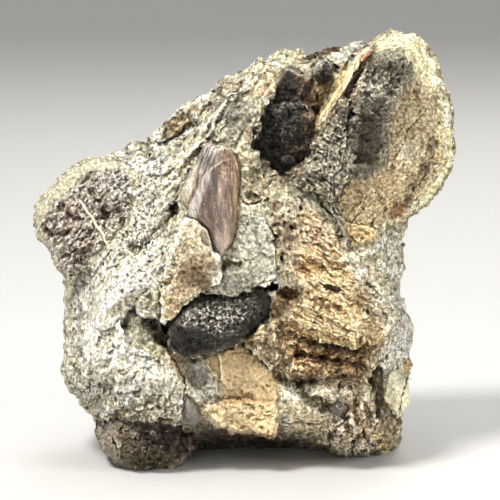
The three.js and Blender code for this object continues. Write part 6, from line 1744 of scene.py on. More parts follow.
# ================================================================ pieces: outline, depth of the back, rim at own edge and at the silhouette (mm)
PIECES = {
    # name: (box u0, v0, u1, v1), back h, own rim, outer rim, seam (how sharply the stone stands off), voxel
    "left_spongy_bone": ((30, 152, 146, 288), -1.0, 0.35, 3.2, 0.2, 0.45),
    "tooth_crown": ((170, 136, 250, 264), 14.6, 0.5, 3.2, 0.6, 0.36),
    "black_rib_bone": ((160, 280, 280, 366), 12.5, 0.8, 3.2, 0.6, 0.40),
    "black_bone_shaft": ((250, 62, 322, 186), 4.5, 0.45, 3.0, 0.4, 0.38),
    "black_pebble": ((306, 50, 340, 90), 7.5, 0.6, 2.0, 0.5, 0.30),
    "grey_spongy_bone": ((280, 44, 420, 208), 5.5, 0.4, 2.6, 0.3, 0.42),
    "bone_blade": ((302, 42, 384, 142), 7.0, 0.4, 1.0, 0.4, 0.30),
    "tan_bone_lobe": ((330, 28, 458, 254), -8.6, 0.35, 6.0, 0.3, 0.5),
    "orange_spongy_bone": ((268, 202, 404, 388), 7.4, 0.4, 2.4, 0.25, 0.45),
    "ochre_bone_slab": ((196, 336, 286, 444), 6.4, 0.4, 1.2, 0.4, 0.42),
    "brown_bone_knob": ((92, 412, 200, 474), 0.0, 0.8, 3.0, 0.4, 0.45),
    "dark_pebble_upper": ((180, 350, 214, 396), 12.6, 0.4, 1.4, 0.3, 0.28),
    "dark_pebble_lower": ((172, 386, 208, 434), 12.4, 0.4, 1.4, 0.3, 0.28),
    "dark_chip": ((322, 392, 354, 422), 12.6, 0.4, 1.0, 0.4, 0.26),
    "grey_grit_by_tooth": ((192, 220, 216, 252), 21.2, 0.5, 0.6, 0.5, 0.2),
    "pale_shell_chip": ((378, 362, 416, 424), 4.4, 0.35, 0.9, 0.3, 0.3),
}
SILHOUETTE_EXTRA = ["tan_bone_lobe", "left_spongy_bone", "brown_bone_knob"]
P_ = 2.5
WILD = {"left_spongy_bone": 1.0, "grey_spongy_bone": 1.0, "tan_bone_lobe": 1.1, "orange_spongy_bone": 1.0, "ochre_bone_slab": 0.5, "brown_bone_knob": 0.7, "black_bone_shaft": 0.5, "tooth_crown": 0.1, "pale_shell_chip": 0.6}


def front_height(F, back, edge):
    """Height of the face where its rim bends away to the side."""
    return (F + back) / 2 + (F - back) / 2 * (1 - np.clip(edge, 0, 0.9999) ** P_) ** (1 / P_)


class Fossil:
    def __init__(self, name, f, sil):
        self.name = name
        (u0, v0, u1, v1), self.back, self.rim, self.outer, self.seam, self.vox = PIECES[name]
        self.sd = Sheet(f.sd * UNIT, f.u0, f.v0, SUB)
        f.H = np.maximum(f.H, self.back + 0.6)
        self.F0 = Sheet(blur(f.H, 3), f.u0, f.v0, SUB)
        self.F1 = Sheet(f.H, f.u0, f.v0, SUB)
        self.C = Sheet(f.C, f.u0, f.v0, SUB)
        self.R = Sheet(f.R, f.u0, f.v0, SUB)
        self.sil = sil
        self.win = (u0, v0, u1, v1)
        self.wild = WILD.get(name, 0.3)
        self.steep = Sheet(sstep(0.9, 2.4, slope_of(blur(f.H, 3), SUB)), f.u0, f.v0, SUB)

    def uv(self, x, y, z):
        """Place on the sheet; where the face is steep, and down the sides, it wanders with the depth."""
        u, v = to_sheet(x, y, z)
        a = self.wild * (3.2 * self.steep(u, v) + 3.4 * sstep(1.2, 5, self.F0(u, v) - SHIFT_Y + y))
        return u + a * wobble(x, y, z, 0.3), v + a * wobble(x, y, z, 4.1)

    def edge(self, u, v, w=0.0):
        e = np.maximum(1 - self.sd(u, v) / self.rim, 1 - (self.sil(u, v) + 0.2) / self.outer)
        return np.maximum(e, 0)

    def shape(self, x, y, z):
        u, v = self.uv(x, y, z)
        h = SHIFT_Y - y
        F = self.F0(u, v)
        across = np.abs(h - (F + self.back) / 2) / ((F - self.back) / 2)
        own = 1 - self.sd(u, v) / self.rim
        e = np.maximum(np.maximum(own, 1 - (self.sil(u, v) + 0.2) / self.outer), 0)
        return ((across ** P_ + np.maximum(e, 0) ** P_) ** (1 / P_) - 1) * min(self.rim, 2.0)


def inside_mm(pts, x, z):
    best = np.full(x.shape, 1e9)
    odd = np.zeros(x.shape, bool)
    for i in range(len(pts)):
        (ax, ay), (bx, by) = pts[i - 1], pts[i]
        ex, ey = bx - ax, by - ay
        t = np.clip(((x - ax) * ex + (z - ay) * ey) / (ex * ex + ey * ey), 0, 1)
        best = np.minimum(best, (x - ax - ex * t) ** 2 + (z - ay - ey * t) ** 2)
        if ay != by:
            odd ^= ((ay > z) != (by > z)) & (x < ex * (z - ay) / (by - ay) + ax)
    return np.where(odd, np.sqrt(best), -np.sqrt(best))


REAR_OUTLINE = [
    [-22, -4], [-26.5, 6], [-28.5, 14], [-29.5, 24], [-30, 32], [-27, 41], [-14, 47], [-3, 57], [10, 61],
    [22, 63], [28, 60], [30, 52], [30, 43], [26, 35], [24.5, 28], [24, 12], [25, -4],
]
REAR_FACETS = [
    [0.34, 0.93, 0.12, 28.4], [-0.42, 0.9, 0.06, 27.4], [-0.05, 0.93, 0.36, 33.6], [0.1, 0.97, -0.22, 24.0],
    [-0.86, 0.5, 0.1, 33.6], [0.88, 0.47, 0.04, 32.2], [-0.5, 0.42, 0.76, 44.5], [0.3, 0.5, 0.81, 67.5],
    [0.62, 0.62, -0.48, 23.0], [-0.66, 0.58, -0.48, 18.2], [-0.93, -0.1, -0.36, 22.9], [0.97, -0.05, -0.24, 24.2],
]
BACK = -28.0


class Stone:
    def __init__(self, H, C, R, sil, block):
        self.F0 = Sheet(blur(H, 7), U0, V0, SUB)
        self.F1 = Sheet(H, U0, V0, SUB)
        self.C = Sheet(C, U0, V0, SUB)
        self.R = Sheet(R, U0, V0, SUB)
        self.block = block
        self.sil = sil
        xs = np.arange(-36, 36.01, 0.5)
        zs = np.arange(-6, 70.01, 0.5)
        X, Z = np.meshgrid(xs, zs)
        self.rear = Sheet(inside_mm(REAR_OUTLINE, X, Z), -36, -6, 2)
        self.steep = Sheet(sstep(0.8, 2.2, slope_of(blur(H, 7), SUB)), U0, V0, SUB)

    def uv(self, x, y, z):
        u, v = to_sheet(x, y, z)
        a = 4.6 * self.steep(u, v) + 3.6 * sstep(1.2, 5, self.F0(u, v) - SHIFT_Y + y)
        return u + a * wobble(x, y, z, 0.3), v + a * wobble(x, y, z, 4.1)

    def edge(self, u, v, w):
        t = sstep(0, 19, w)
        return np.maximum(0, 1 - self.block(u, v) / (6.5 + 7.5 * t))

    def shape(self, x, y, z):
        u, v = self.uv(x, y, z)
        h = SHIFT_Y - y
        w = -h
        t = sstep(0, 19, w)
        into = self.block(u, v) * (1 - t) + self.rear(x, z) * t
        F = self.F0(u, v)
        across = np.abs(h - (F + BACK) / 2) / ((F - BACK) / 2)
        e = np.maximum(0, 1 - into / (6.5 + 7.5 * t))
        d = ((across ** P_ + e ** P_) ** (1 / P_) - 1) * 12
        for a, b, c, k in REAR_FACETS:
            d = np.maximum(d, a * x + b * w + c * z - k)
        s = 0.5 * np.sin(0.23 * x + 0.13 * z + 1) * np.sin(0.19 * z - 0.21 * w + 2) + 0.16 * np.sin(0.41 * z - 0.33 * x + 0.5) * np.cos(0.45 * x + 0.37 * w)
        return d + t * s


def coarse(outline, step=2, pad=400):
    nu, nv = (U1 - U0 + 40) // step + 1, (V1 - V0 + 40) // step + 1
    A, B = np.meshgrid(U0 - 20 + np.arange(nu) * step, V0 - 20 + np.arange(nv) * step)
    return A, B, poly(outline, A, B, pad) * UNIT


def mesh_object(name, verts, quads, odd, colours, rough, keep, side=None):
    """Makes the object: points in mm to metres, with a colour and a roughness at every point."""
    v = verts / 1000.0 + np.array([0, OFFSET_Y, 0])
    used_ = np.unique(np.concatenate([quads.ravel()] + ([np.array([i for q in odd for i in q])] if odd else [])).astype(np.int64))
    remap = np.full(len(v), -1, np.int64)
    remap[used_] = np.arange(len(used_))
    v = v[used_]
    loops = [remap[quads].ravel()]
    starts = np.arange(len(quads)) * 4
    totals = np.full(len(quads), 4)
    if odd:
        lo = np.array([len(q) for q in odd])
        loops.append(remap[np.array([i for q in odd for i in q])])
        starts = np.concatenate([starts, len(quads) * 4 + np.concatenate([[0], np.cumsum(lo)[:-1]])])
        totals = np.concatenate([totals, lo])
    loops = np.concatenate(loops).astype(np.int32)
    me = bpy.data.meshes.new(name)
    me.vertices.add(len(v))
    me.vertices.foreach_set("co", v.astype(np.float32).ravel())
    me.loops.add(len(loops))
    me.loops.foreach_set("vertex_index", loops)
    me.polygons.add(len(starts))
    me.polygons.foreach_set("loop_start", starts.astype(np.int32))
    me.polygons.foreach_set("loop_total", totals.astype(np.int32))
    me.polygons.foreach_set("use_smooth", np.ones(len(starts), bool))
    me.update(calc_edges=True)
    me.validate()
    c = np.ones((len(used_), 4), np.float32)
    c[:, :3] = np.clip(colours[used_], 0, 1) ** 2.2
    a = me.color_attributes.new("Col", "FLOAT_COLOR", "POINT")
    a.data.foreach_set("color", c.ravel())
    r = me.attributes.new("Rough", "FLOAT", "POINT")
    r.data.foreach_set("value", rough[used_].astype(np.float32))
    s = me.attributes.new("Side", "FLOAT", "POINT")
    s.data.foreach_set("value", (side[used_] if side is not None else np.zeros(len(used_))).astype(np.float32))
    o = bpy.data.objects.new(name, me)
    bpy.context.scene.collection.objects.link(o)
    return o


def facing(verts, quads):
    return -vertex_normals(verts, quads)[:, 1]


def build_surface(part, xs, ys, zs, hidden, noise, side_colour, seed, budget=None):
    verts, quads = net(part.shape, xs, ys, zs)
    verts = relax(verts, quads, 1, 0.5)
    verts = onto(part.shape, verts, 2, 0.5)
    fn = face_normals(verts, quads)
    ny = -fn[:, 1] / np.maximum(np.linalg.norm(fn, axis=1), 1e-12)
    mid_ = verts[quads].mean(1)
    u, v = to_sheet(*mid_.T)
    pick = (ny > 0.12) & ~hidden(u, v)
    if budget is not None and len(quads) + 8 * pick.sum() > budget:
        pick &= ny > np.sort(ny[pick])[-int((budget - len(quads)) / 8)]
    verts, quads, odd = split3(verts, quads, pick)
    verts = onto(part.shape, verts, 1, 0.3)
    n = vertex_normals(verts, quads)
    f = sstep(0.0, 0.32, -n[:, 1])
    fd = sstep(0.22, 0.6, -n[:, 1])
    fc = sstep(-0.15, 0.12, -n[:, 1]) if budget is not None else sstep(-0.4, -0.05, -n[:, 1])
    u, v = part.uv(*verts.T)
    w = verts[:, 1] - SHIFT_Y
    e = part.edge(u, v, w)
    b = part.back if hasattr(part, "back") else BACK
    d = front_height(part.F1(u, v), b, e) - front_height(part.F0(u, v), b, e)
    d = np.where(w < 12, d, 0) * fd
    n3 = np.zeros(len(verts))
    aside = f < 0.97
    n3[aside] = noise(verts[aside], f[aside])
    verts = verts.copy()
    verts[:, 1] -= d
    verts += n * n3[:, None]
    # colour
    away = (1 - f) * 6
    cf = part.C(u + away * wobble(*(0.7 * verts).T, 1.3), v + away * wobble(*(0.7 * verts).T, 2.9))
    cs = side_colour(verts, n)
    k = (fc * sstep(16, 6, w))[:, None]
    col = cs * (1 - k) + cf * k
    r3 = n3 - (n3[aside].mean() if aside.any() else 0)
    # hollows of the side relief darker and its bumps lighter: painted shade and painted light
    col = col * (1 + np.clip(0.20 * r3 / max(r3.std(), 1e-6), -0.22, 0.12) * (1 - f))[:, None]
    rg = 0.9 * (1 - k[:, 0]) + part.R(u, v) * k[:, 0]
    return verts, quads, odd, col, rg, 1 - f


# ================================================================ the whole object
G = fields()
FOSSILS = {}
for maker in MAKERS:
    maker(G, FOSSILS)
ROCK = stone_maps(G)

CA, CB, block_c = coarse(BLOCK_OUTLINE)
sil_c = block_c.copy()
for name in SILHOUETTE_EXTRA:
    outline = {"tan_bone_lobe": LOBE_OUTLINE, "left_spongy_bone": LEFT_OUTLINE, "brown_bone_knob": KNOB_OUTLINE}[name]
    sil_c = np.maximum(sil_c, coarse(outline)[2])
BLOCK = Sheet(block_c, U0 - 20, V0 - 20, 0.5)
SIL = Sheet(sil_c, U0 - 20, V0 - 20, 0.5)

# nothing stands higher than the tallest fossil
for part in [ROCK] + list(FOSSILS.values()):
    part.H = np.minimum(np.where(part.H > 22.0, 22.0 + (part.H - 22.0) * 0.55, part.H), 23.2)

# where a fossil and the stone meet, height and colour run into each other; the stone dips under every fossil
HID = np.full(ROCK.H.shape, -14.0)
BLEND = {
    # name: half width of the change of colour and of height, in sheet units
    "left_spongy_bone": (12, 8), "tan_bone_lobe": (6, 4), "grey_spongy_bone": (12, 6), "orange_spongy_bone": (10, 7), "ochre_bone_slab": (5.5, 4),
    "brown_bone_knob": (8, 6), "bone_blade": (4, 3), "black_bone_shaft": (2.6, 2.2), "black_rib_bone": (3.2, 1.6), "tooth_crown": (0.7, 1.5),
    "black_pebble": (1.0, 0.8), "dark_pebble_upper": (5, 4), "dark_pebble_lower": (2.4, 2.4), "dark_chip": (1.0, 1.0), "pale_shell_chip": (3.0, 3.0), "grey_grit_by_tooth": (1.2, 1.0),
}
COMP = ROCK.H.copy()
for name, f in FOSSILS.items():
    r = int(round((f.v0 - V0) * SUB))
    c = int(round((f.u0 - U0) * SUB))
    w = slice(r, r + f.H.shape[0]), slice(c, c + f.H.shape[1])
    s = PIECES[name][4]
    bc, bh = BLEND.get(name, (0.8, 0))
    n = 1.1 * G["rag"][w]
    shift = 5.0 * sstep(98, 120, G["U"][w]) if name == "left_spongy_bone" else 0.0
    e = sstep(-bc, bc, f.sd + bc * n - shift)[..., None]
    mix_ = ROCK.C[w] * (1 - e) + f.C * e
    f.C = mix_
    ROCK.C[w] = mix_
    if bh > 0:
        e = sstep(-bh, bh, f.sd)
        H = ROCK.H[w] * (1 - e) + f.H * e
        f.H = H + 0.03
        ROCK.H[w] = np.where(f.sd > -13, H, ROCK.H[w])
        COMP[w] = np.where((f.sd > -13) & ((HID[w] <= 0) | (bh > 3)), H, COMP[w])
    COMP[w] = np.where(f.sd > 0, f.H, COMP[w])
    start = 2.4 - 3.0 * s
    m = sstep(start, start + 1.8, f.sd)
    low = np.minimum(ROCK.H[w], f.H - 1.5)
    ROCK.H[w] = ROCK.H[w] * (1 - m) + low * m
    HID[w] = np.maximum(HID[w], f.sd)


def shade(H):
    """Painted shade, with some dust, lies in what is lower than its surroundings; raised edges get painted light."""
    k = np.ones(H.shape)
    for r, a, lo, hi in ((1, 1.3, -0.26, 0.42), (3, 0.42, -0.16, 0.32), (8, 0.15, -0.10, 0.22), (18, 0.05, -0.06, 0.16)):
        k *= 1 - np.clip((blur(H, r) - H) * a, lo, hi)
    return k


SHADE = shade(COMP)
ROCK.C *= SHADE[..., None]
for f in FOSSILS.values():
    r, c = int(round((f.v0 - V0) * SUB)), int(round((f.u0 - U0) * SUB))
    f.C *= SHADE[r:r + f.H.shape[0], c:c + f.H.shape[1], None]

HIDDEN = Sheet(HID, U0, V0, SUB)


def stone_side(p, n):
    a, b, c = fbm3(p, 14, 3, 301), fbm3(p, 4.5, 3, 311), fbm3(p, 1.6, 2, 321)
    v, e = chips(p + 0.8 * b[:, None], 5.0, 331)
    col = np.ones((len(p), 3)) * rgb(216, 207, 184)
    for m, to in ((sstep(0.0, 0.45, a) * 0.8, (190, 184, 166)), (sstep(0.05, 0.45, -a), (214, 200, 168)), (sstep(0.1, 0.5, b), (228, 221, 200)), (sstep(0.2, 0.55, -b) * 0.7, (176, 162, 136)),
                  (sstep(0.2, 0.7, v), (224, 217, 198)), (sstep(0.2, 0.7, -v) * 0.6, (184, 177, 158)), (sstep(0.12, 0.0, e) * sstep(-0.1, 0.3, c) * 0.7, (130, 114, 90)), (sstep(0.35, 0.7, c) * 0.5, (146, 130, 104))):
        col += (rgb(*to) - col) * m[:, None]
    # faces turned up are lighter and faces turned down darker: painted light from above
    return col * (0.92 + 0.14 * n[:, 2:3]) * (1 + 0.14 * c[:, None])


def stone_noise(p, f):
    a, b, c = fbm3(p, 9, 2, 401), fbm3(p, 3.2, 3, 411), fbm3(p, 1.3, 2, 421)
    q = p + 0.7 * b[:, None]
    v1, e1 = chips(q, 8.0, 441)
    v2, e2 = chips(q, 3.6, 451)
    crag = np.abs(fbm3(p, 5.5, 3, 431))
    return (1 - f) * (0.3 * a + 0.35 * b + 0.52 * v1 + 0.19 * v2 - 0.42 * sstep(0.14, 0.0, e1) - 0.15 * sstep(0.12, 0.0, e2) - 1.6 * np.clip(0.12 - crag, 0, 1) + 0.16 * c)


def tinted(base, other, seed, scale=5):
    def side(p, n):
        a, b = fbm3(p, scale, 3, seed), fbm3(p, 1.5, 2, seed + 9)
        col = np.ones((len(p), 3)) * rgb(*base)
        col += (rgb(*other) - col) * sstep(-0.1, 0.4, a)[:, None]
        v, e = chips(p, 2.2, seed + 21)
        return col * (1 + 0.22 * b + 0.12 * v - 0.25 * sstep(0.12, 0.0, e))[:, None]
    return side


SIDES = {
    "left_spongy_bone": ((190, 176, 152), (220, 212, 186)), "tooth_crown": ((120, 96, 80), (160, 130, 104)), "black_rib_bone": ((34, 33, 34), (70, 70, 72)),
    "black_bone_shaft": ((34, 28, 26), (84, 66, 52)), "black_pebble": ((36, 34, 34), (80, 78, 76)), "grey_spongy_bone": ((96, 90, 78), (140, 132, 114)),
    "bone_blade": ((150, 116, 78), (196, 166, 118)), "tan_bone_lobe": ((186, 168, 126), (212, 198, 154)), "orange_spongy_bone": ((190, 158, 114), (216, 192, 148)),
    "ochre_bone_slab": ((170, 132, 84), (206, 168, 112)), "brown_bone_knob": ((70, 56, 44), (112, 96, 74)), "dark_pebble_upper": ((84, 82, 76), (110, 108, 98)),
    "dark_pebble_lower": ((76, 74, 66), (104, 102, 90)), "dark_chip": ((52, 49, 45), (80, 76, 68)), "grey_grit_by_tooth": ((108, 102, 94), (140, 134, 122)),
    "pale_shell_chip": ((176, 168, 132), (212, 206, 170)),
}


def fossil_noise(amp):
    def noise(p, f):
        b = fbm3(p, 3.0, 3, 501)
        v, e = chips(p + 0.4 * b[:, None], 2.4, 541)
        pit = sstep(0.45, 0.8, fbm3(p, 1.7, 2, 551) + 0.5 * b)
        return (1 - f) * amp * (1.0 * b + 0.7 * v - 0.3 * sstep(0.12, 0.0, e) - 0.8 * pit + 0.15 * fbm3(p, 1.3, 2, 511))
    return noise


OBJ = {}
t0 = time.time()
rock = Stone(ROCK.H, ROCK.C, ROCK.R, SIL, BLOCK)
ys = np.concatenate([np.arange(-27.6, 2, 0.8), np.arange(2, 28.6, 1.3)])
verts, quads, odd, col, rg, side = build_surface(rock, np.arange(-33.75, 33.76, 0.72), ys, np.arange(-3.0, 68.5, 0.72), lambda u, v: HIDDEN(u, v) > 3.0, stone_noise, stone_side, 7, budget=90500)
verts[:, 2] = np.maximum(verts[:, 2], 0.0)
OBJ["stone_block"] = mesh_object("siltstone_matrix", verts, quads, odd, col, rg, None, side)
print("stone", len(verts), len(quads) * 2 + sum(len(q) - 2 for q in odd), round(time.time() - t0, 1))

for name, f in FOSSILS.items():
    t0 = time.time()
    (u0, v0, u1, v1), back, rim, outer, seam, vox = PIECES[name]
    F = Fossil(name, f, SIL)
    hmax = float(f.H[f.sd > 0].max())
    P8 = from_sheet(np.array([u0, u1, u0, u1]), np.array([v0, v0, v1, v1]), np.array([back, back, back, back]) * 1.0)
    Q8 = from_sheet(np.array([u0, u1, u0, u1]), np.array([v0, v0, v1, v1]), np.full(4, hmax))
    allp = np.concatenate([P8, Q8])
    lo, hi = allp.min(0) - vox, allp.max(0) + vox
    yb = SHIFT_Y - back
    yf = SHIFT_Y - hmax
    ys = np.concatenate([np.arange(yf - 1.2, yf + 6, vox * 1.2), np.arange(yf + 6, yb + 1.2, max(0.7, vox))]) if yb - yf > 6 else np.arange(yf - 1.2, yb + 1.2, vox)
    verts, quads, odd, col, rg, side = build_surface(F, np.arange(lo[0], hi[0], vox), ys, np.arange(lo[2], hi[2], vox), lambda u, v: np.zeros(u.shape, bool),
                                               fossil_noise(0.06 if F.wild < 0.5 else 0.25 * F.wild), tinted(*SIDES[name], 600), 8)
    verts[:, 2] = np.maximum(verts[:, 2], 0.0)
    OBJ[name] = mesh_object({"tooth_crown": "tooth_crown_enamel"}.get(name, name + "_relief"), verts, quads, odd, col, rg, None, side)
    print(name, len(verts), len(quads) * 2 + sum(len(q) - 2 for q in odd), round(time.time() - t0, 1))


# ================================================================ small loose things
def rootlet():
    """A thread of dry root, tapered and slightly kinked."""
    pts = np.array([[79, 200], [82, 204], [86, 209], [89, 214], [93, 219], [96, 224.5], [100, 230], [103, 235], [105, 239.5], [107, 244], [109, 249.5]], float)
    f = FOSSILS["left_spongy_bone"]
    face = Sheet(blur(f.H, 4), f.u0, f.v0, SUB)
    t = np.linspace(0, 1, 60)
    k = np.linspace(0, 1, len(pts))
    u, v = np.interp(t, k, pts[:, 0]), np.interp(t, k, pts[:, 1])
    u = u + 0.5 * np.sin(t * 21)
    h = face(u, v) + 0.45 + 0.15 * np.sin(t * 9)
    c = from_sheet(u, v, h)
    r = 0.17 * (0.75 + 0.45 * np.sin(np.pi * np.clip(t * 1.02, 0, 1)) + 0.12 * np.sin(t * 40))
    r[[0, -1]] *= 0.35
    d = np.gradient(c, axis=0)
    d /= np.linalg.norm(d, axis=1, keepdims=True)
    a = np.cross(d, [0.0, 1.0, 0.0])
    a /= np.linalg.norm(a, axis=1, keepdims=True)
    b = np.cross(d, a)
    m = 8
    ang = np.arange(m) / m * 2 * np.pi
    ring = c[:, None] + r[:, None, None] * (a[:, None] * np.cos(ang)[None, :, None] + b[:, None] * np.sin(ang)[None, :, None])
    verts = np.concatenate([ring.reshape(-1, 3), c[:1], c[-1:]])
    quads, odd = [], []
    n = len(c)
    for i in range(n - 1):
        for j in range(m):
            quads.append([i * m + j, i * m + (j + 1) % m, (i + 1) * m + (j + 1) % m, (i + 1) * m + j])
    for j in range(m):
        odd.append([n * m, (j + 1) % m, j])
        odd.append([n * m + 1, (n - 1) * m + j, (n - 1) * m + (j + 1) % m])
    noise = fbm3(verts, 0.8, 2, 77)
    col = np.ones((len(verts), 3)) * rgb(226, 216, 194) * (1 + 0.15 * noise[:, None])
    return mesh_object("white_rootlet_thread", verts, np.array(quads), odd, col, np.full(len(verts), 0.8), None)


OBJ["white_rootlet"] = rootlet()

# ================================================================ materials
def material(name, grain=0.0, grain_scale=900.0, speck=0.0, speck_scale=500.0, bump=0.2, bump_scale=1500.0, rough=None, spec=0.35, coat=0.0, fibre=None, dark=(0.2, 0.17, 0.14), rugged=0.0):
    """Colour and roughness from the surface's own attributes, broken up by fine mineral grain, with a fine bump."""
    m = bpy.data.materials.new(name)
    m.use_nodes = True
    nt = m.node_tree
    nt.nodes.clear()
    out = nt.nodes.new("ShaderNodeOutputMaterial")
    bs = nt.nodes.new("ShaderNodeBsdfPrincipled")
    nt.links.new(bs.outputs[0], out.inputs[0])
    bs.inputs["Specular IOR Level"].default_value = spec
    bs.inputs["Coat Weight"].default_value = coat
    bs.inputs["Coat Roughness"].default_value = 0.18
    at = nt.nodes.new("ShaderNodeAttribute")
    at.attribute_name = "Col"
    ar = nt.nodes.new("ShaderNodeAttribute")
    ar.attribute_name = "Rough"
    tc = nt.nodes.new("ShaderNodeTexCoord")
    pos = tc.outputs["Object"]
    if fibre:
        mp = nt.nodes.new("ShaderNodeMapping")
        mp.inputs["Rotation"].default_value = (0, np.radians(fibre[0]), 0)
        mp.inputs["Scale"].default_value = (1.0, 1.0, fibre[1])
        nt.links.new(pos, mp.inputs["Vector"])
        pos = mp.outputs["Vector"]
    n1 = nt.nodes.new("ShaderNodeTexNoise")
    n1.inputs["Scale"].default_value = grain_scale
    n1.inputs["Detail"].default_value = 6
    n1.inputs["Roughness"].default_value = 0.65
    nt.links.new(pos, n1.inputs["Vector"])
    ramp = nt.nodes.new("ShaderNodeMapRange")
    ramp.inputs["From Min"].default_value = 0.3
    ramp.inputs["From Max"].default_value = 0.7
    ramp.inputs["To Min"].default_value = 1 - grain
    ramp.inputs["To Max"].default_value = 1 + grain
    nt.links.new(n1.outputs["Fac"], ramp.inputs["Value"])
    mul = nt.nodes.new("ShaderNodeVectorMath")
    mul.operation = "SCALE"
    nt.links.new(at.outputs["Color"], mul.inputs[0])
    nt.links.new(ramp.outputs["Result"], mul.inputs["Scale"])
    col = mul.outputs["Vector"]
    if speck > 0:
        vo = nt.nodes.new("ShaderNodeTexVoronoi")
        vo.inputs["Scale"].default_value = speck_scale
        vo.inputs["Randomness"].default_value = 1.0
        nt.links.new(tc.outputs["Object"], vo.inputs["Vector"])
        sr = nt.nodes.new("ShaderNodeMapRange")
        sr.inputs["From Min"].default_value = 0.10
        sr.inputs["From Max"].default_value = 0.26
        sr.inputs["To Min"].default_value = speck
        sr.inputs["To Max"].default_value = 0.0
        nt.links.new(vo.outputs["Distance"], sr.inputs["Value"])
        n3 = nt.nodes.new("ShaderNodeTexNoise")
        n3.inputs["Scale"].default_value = 140.0
        n3.inputs["Detail"].default_value = 3
        nt.links.new(tc.outputs["Object"], n3.inputs["Vector"])
        gate = nt.nodes.new("ShaderNodeMapRange")
        gate.inputs["From Min"].default_value = 0.46
        gate.inputs["From Max"].default_value = 0.62
        nt.links.new(n3.outputs["Fac"], gate.inputs["Value"])
        mm = nt.nodes.new("ShaderNodeMath")
        mm.operation = "MULTIPLY"
        nt.links.new(sr.outputs["Result"], mm.inputs[0])
        nt.links.new(gate.outputs["Result"], mm.inputs[1])
        mx = nt.nodes.new("ShaderNodeMix")
        mx.data_type = "RGBA"
        nt.links.new(mm.outputs[0], mx.inputs["Factor"])
        nt.links.new(col, mx.inputs["A"])
        mx.inputs["B"].default_value = (*[c ** 2.2 for c in dark], 1)
        col = mx.outputs["Result"]
    nt.links.new(col, bs.inputs["Base Color"])
    rr = nt.nodes.new("ShaderNodeMath")
    rr.operation = "MULTIPLY_ADD"
    nt.links.new(n1.outputs["Fac"], rr.inputs[0])
    rr.inputs[1].default_value = 0.25
    ra = nt.nodes.new("ShaderNodeMath")
    ra.operation = "SUBTRACT"
    nt.links.new(ar.outputs["Fac"], ra.inputs[0])
    ra.inputs[1].default_value = 0.125
    nt.links.new(ra.outputs[0], rr.inputs[2])
    nt.links.new(rr.outputs[0], bs.inputs["Roughness"])
    n2 = nt.nodes.new("ShaderNodeTexNoise")
    n2.inputs["Scale"].default_value = bump_scale
    n2.inputs["Detail"].default_value = 5
    n2.inputs["Roughness"].default_value = 0.6
    nt.links.new(pos, n2.inputs["Vector"])
    bp = nt.nodes.new("ShaderNodeBump")
    bp.inputs["Strength"].default_value = bump
    bp.inputs["Distance"].default_value = 0.0008
    nt.links.new(n2.outputs["Fac"], bp.inputs["Height"])
    if rugged > 0:
        asd = nt.nodes.new("ShaderNodeAttribute")
        asd.attribute_name = "Side"
        n4 = nt.nodes.new("ShaderNodeTexNoise")
        n4.inputs["Scale"].default_value = 620.0
        n4.inputs["Detail"].default_value = 9
        n4.inputs["Roughness"].default_value = 0.66
        nt.links.new(tc.outputs["Object"], n4.inputs["Vector"])
        hs = nt.nodes.new("ShaderNodeMath")
        hs.operation = "MULTIPLY"
        nt.links.new(n4.outputs["Fac"], hs.inputs[0])
        nt.links.new(asd.outputs["Fac"], hs.inputs[1])
        b2 = nt.nodes.new("ShaderNodeBump")
        b2.inputs["Strength"].default_value = rugged
        b2.inputs["Distance"].default_value = 0.0022
        nt.links.new(hs.outputs[0], b2.inputs["Height"])
        nt.links.new(b2.outputs["Normal"], bp.inputs["Normal"])
    nt.links.new(bp.outputs["Normal"], bs.inputs["Normal"])
    return m


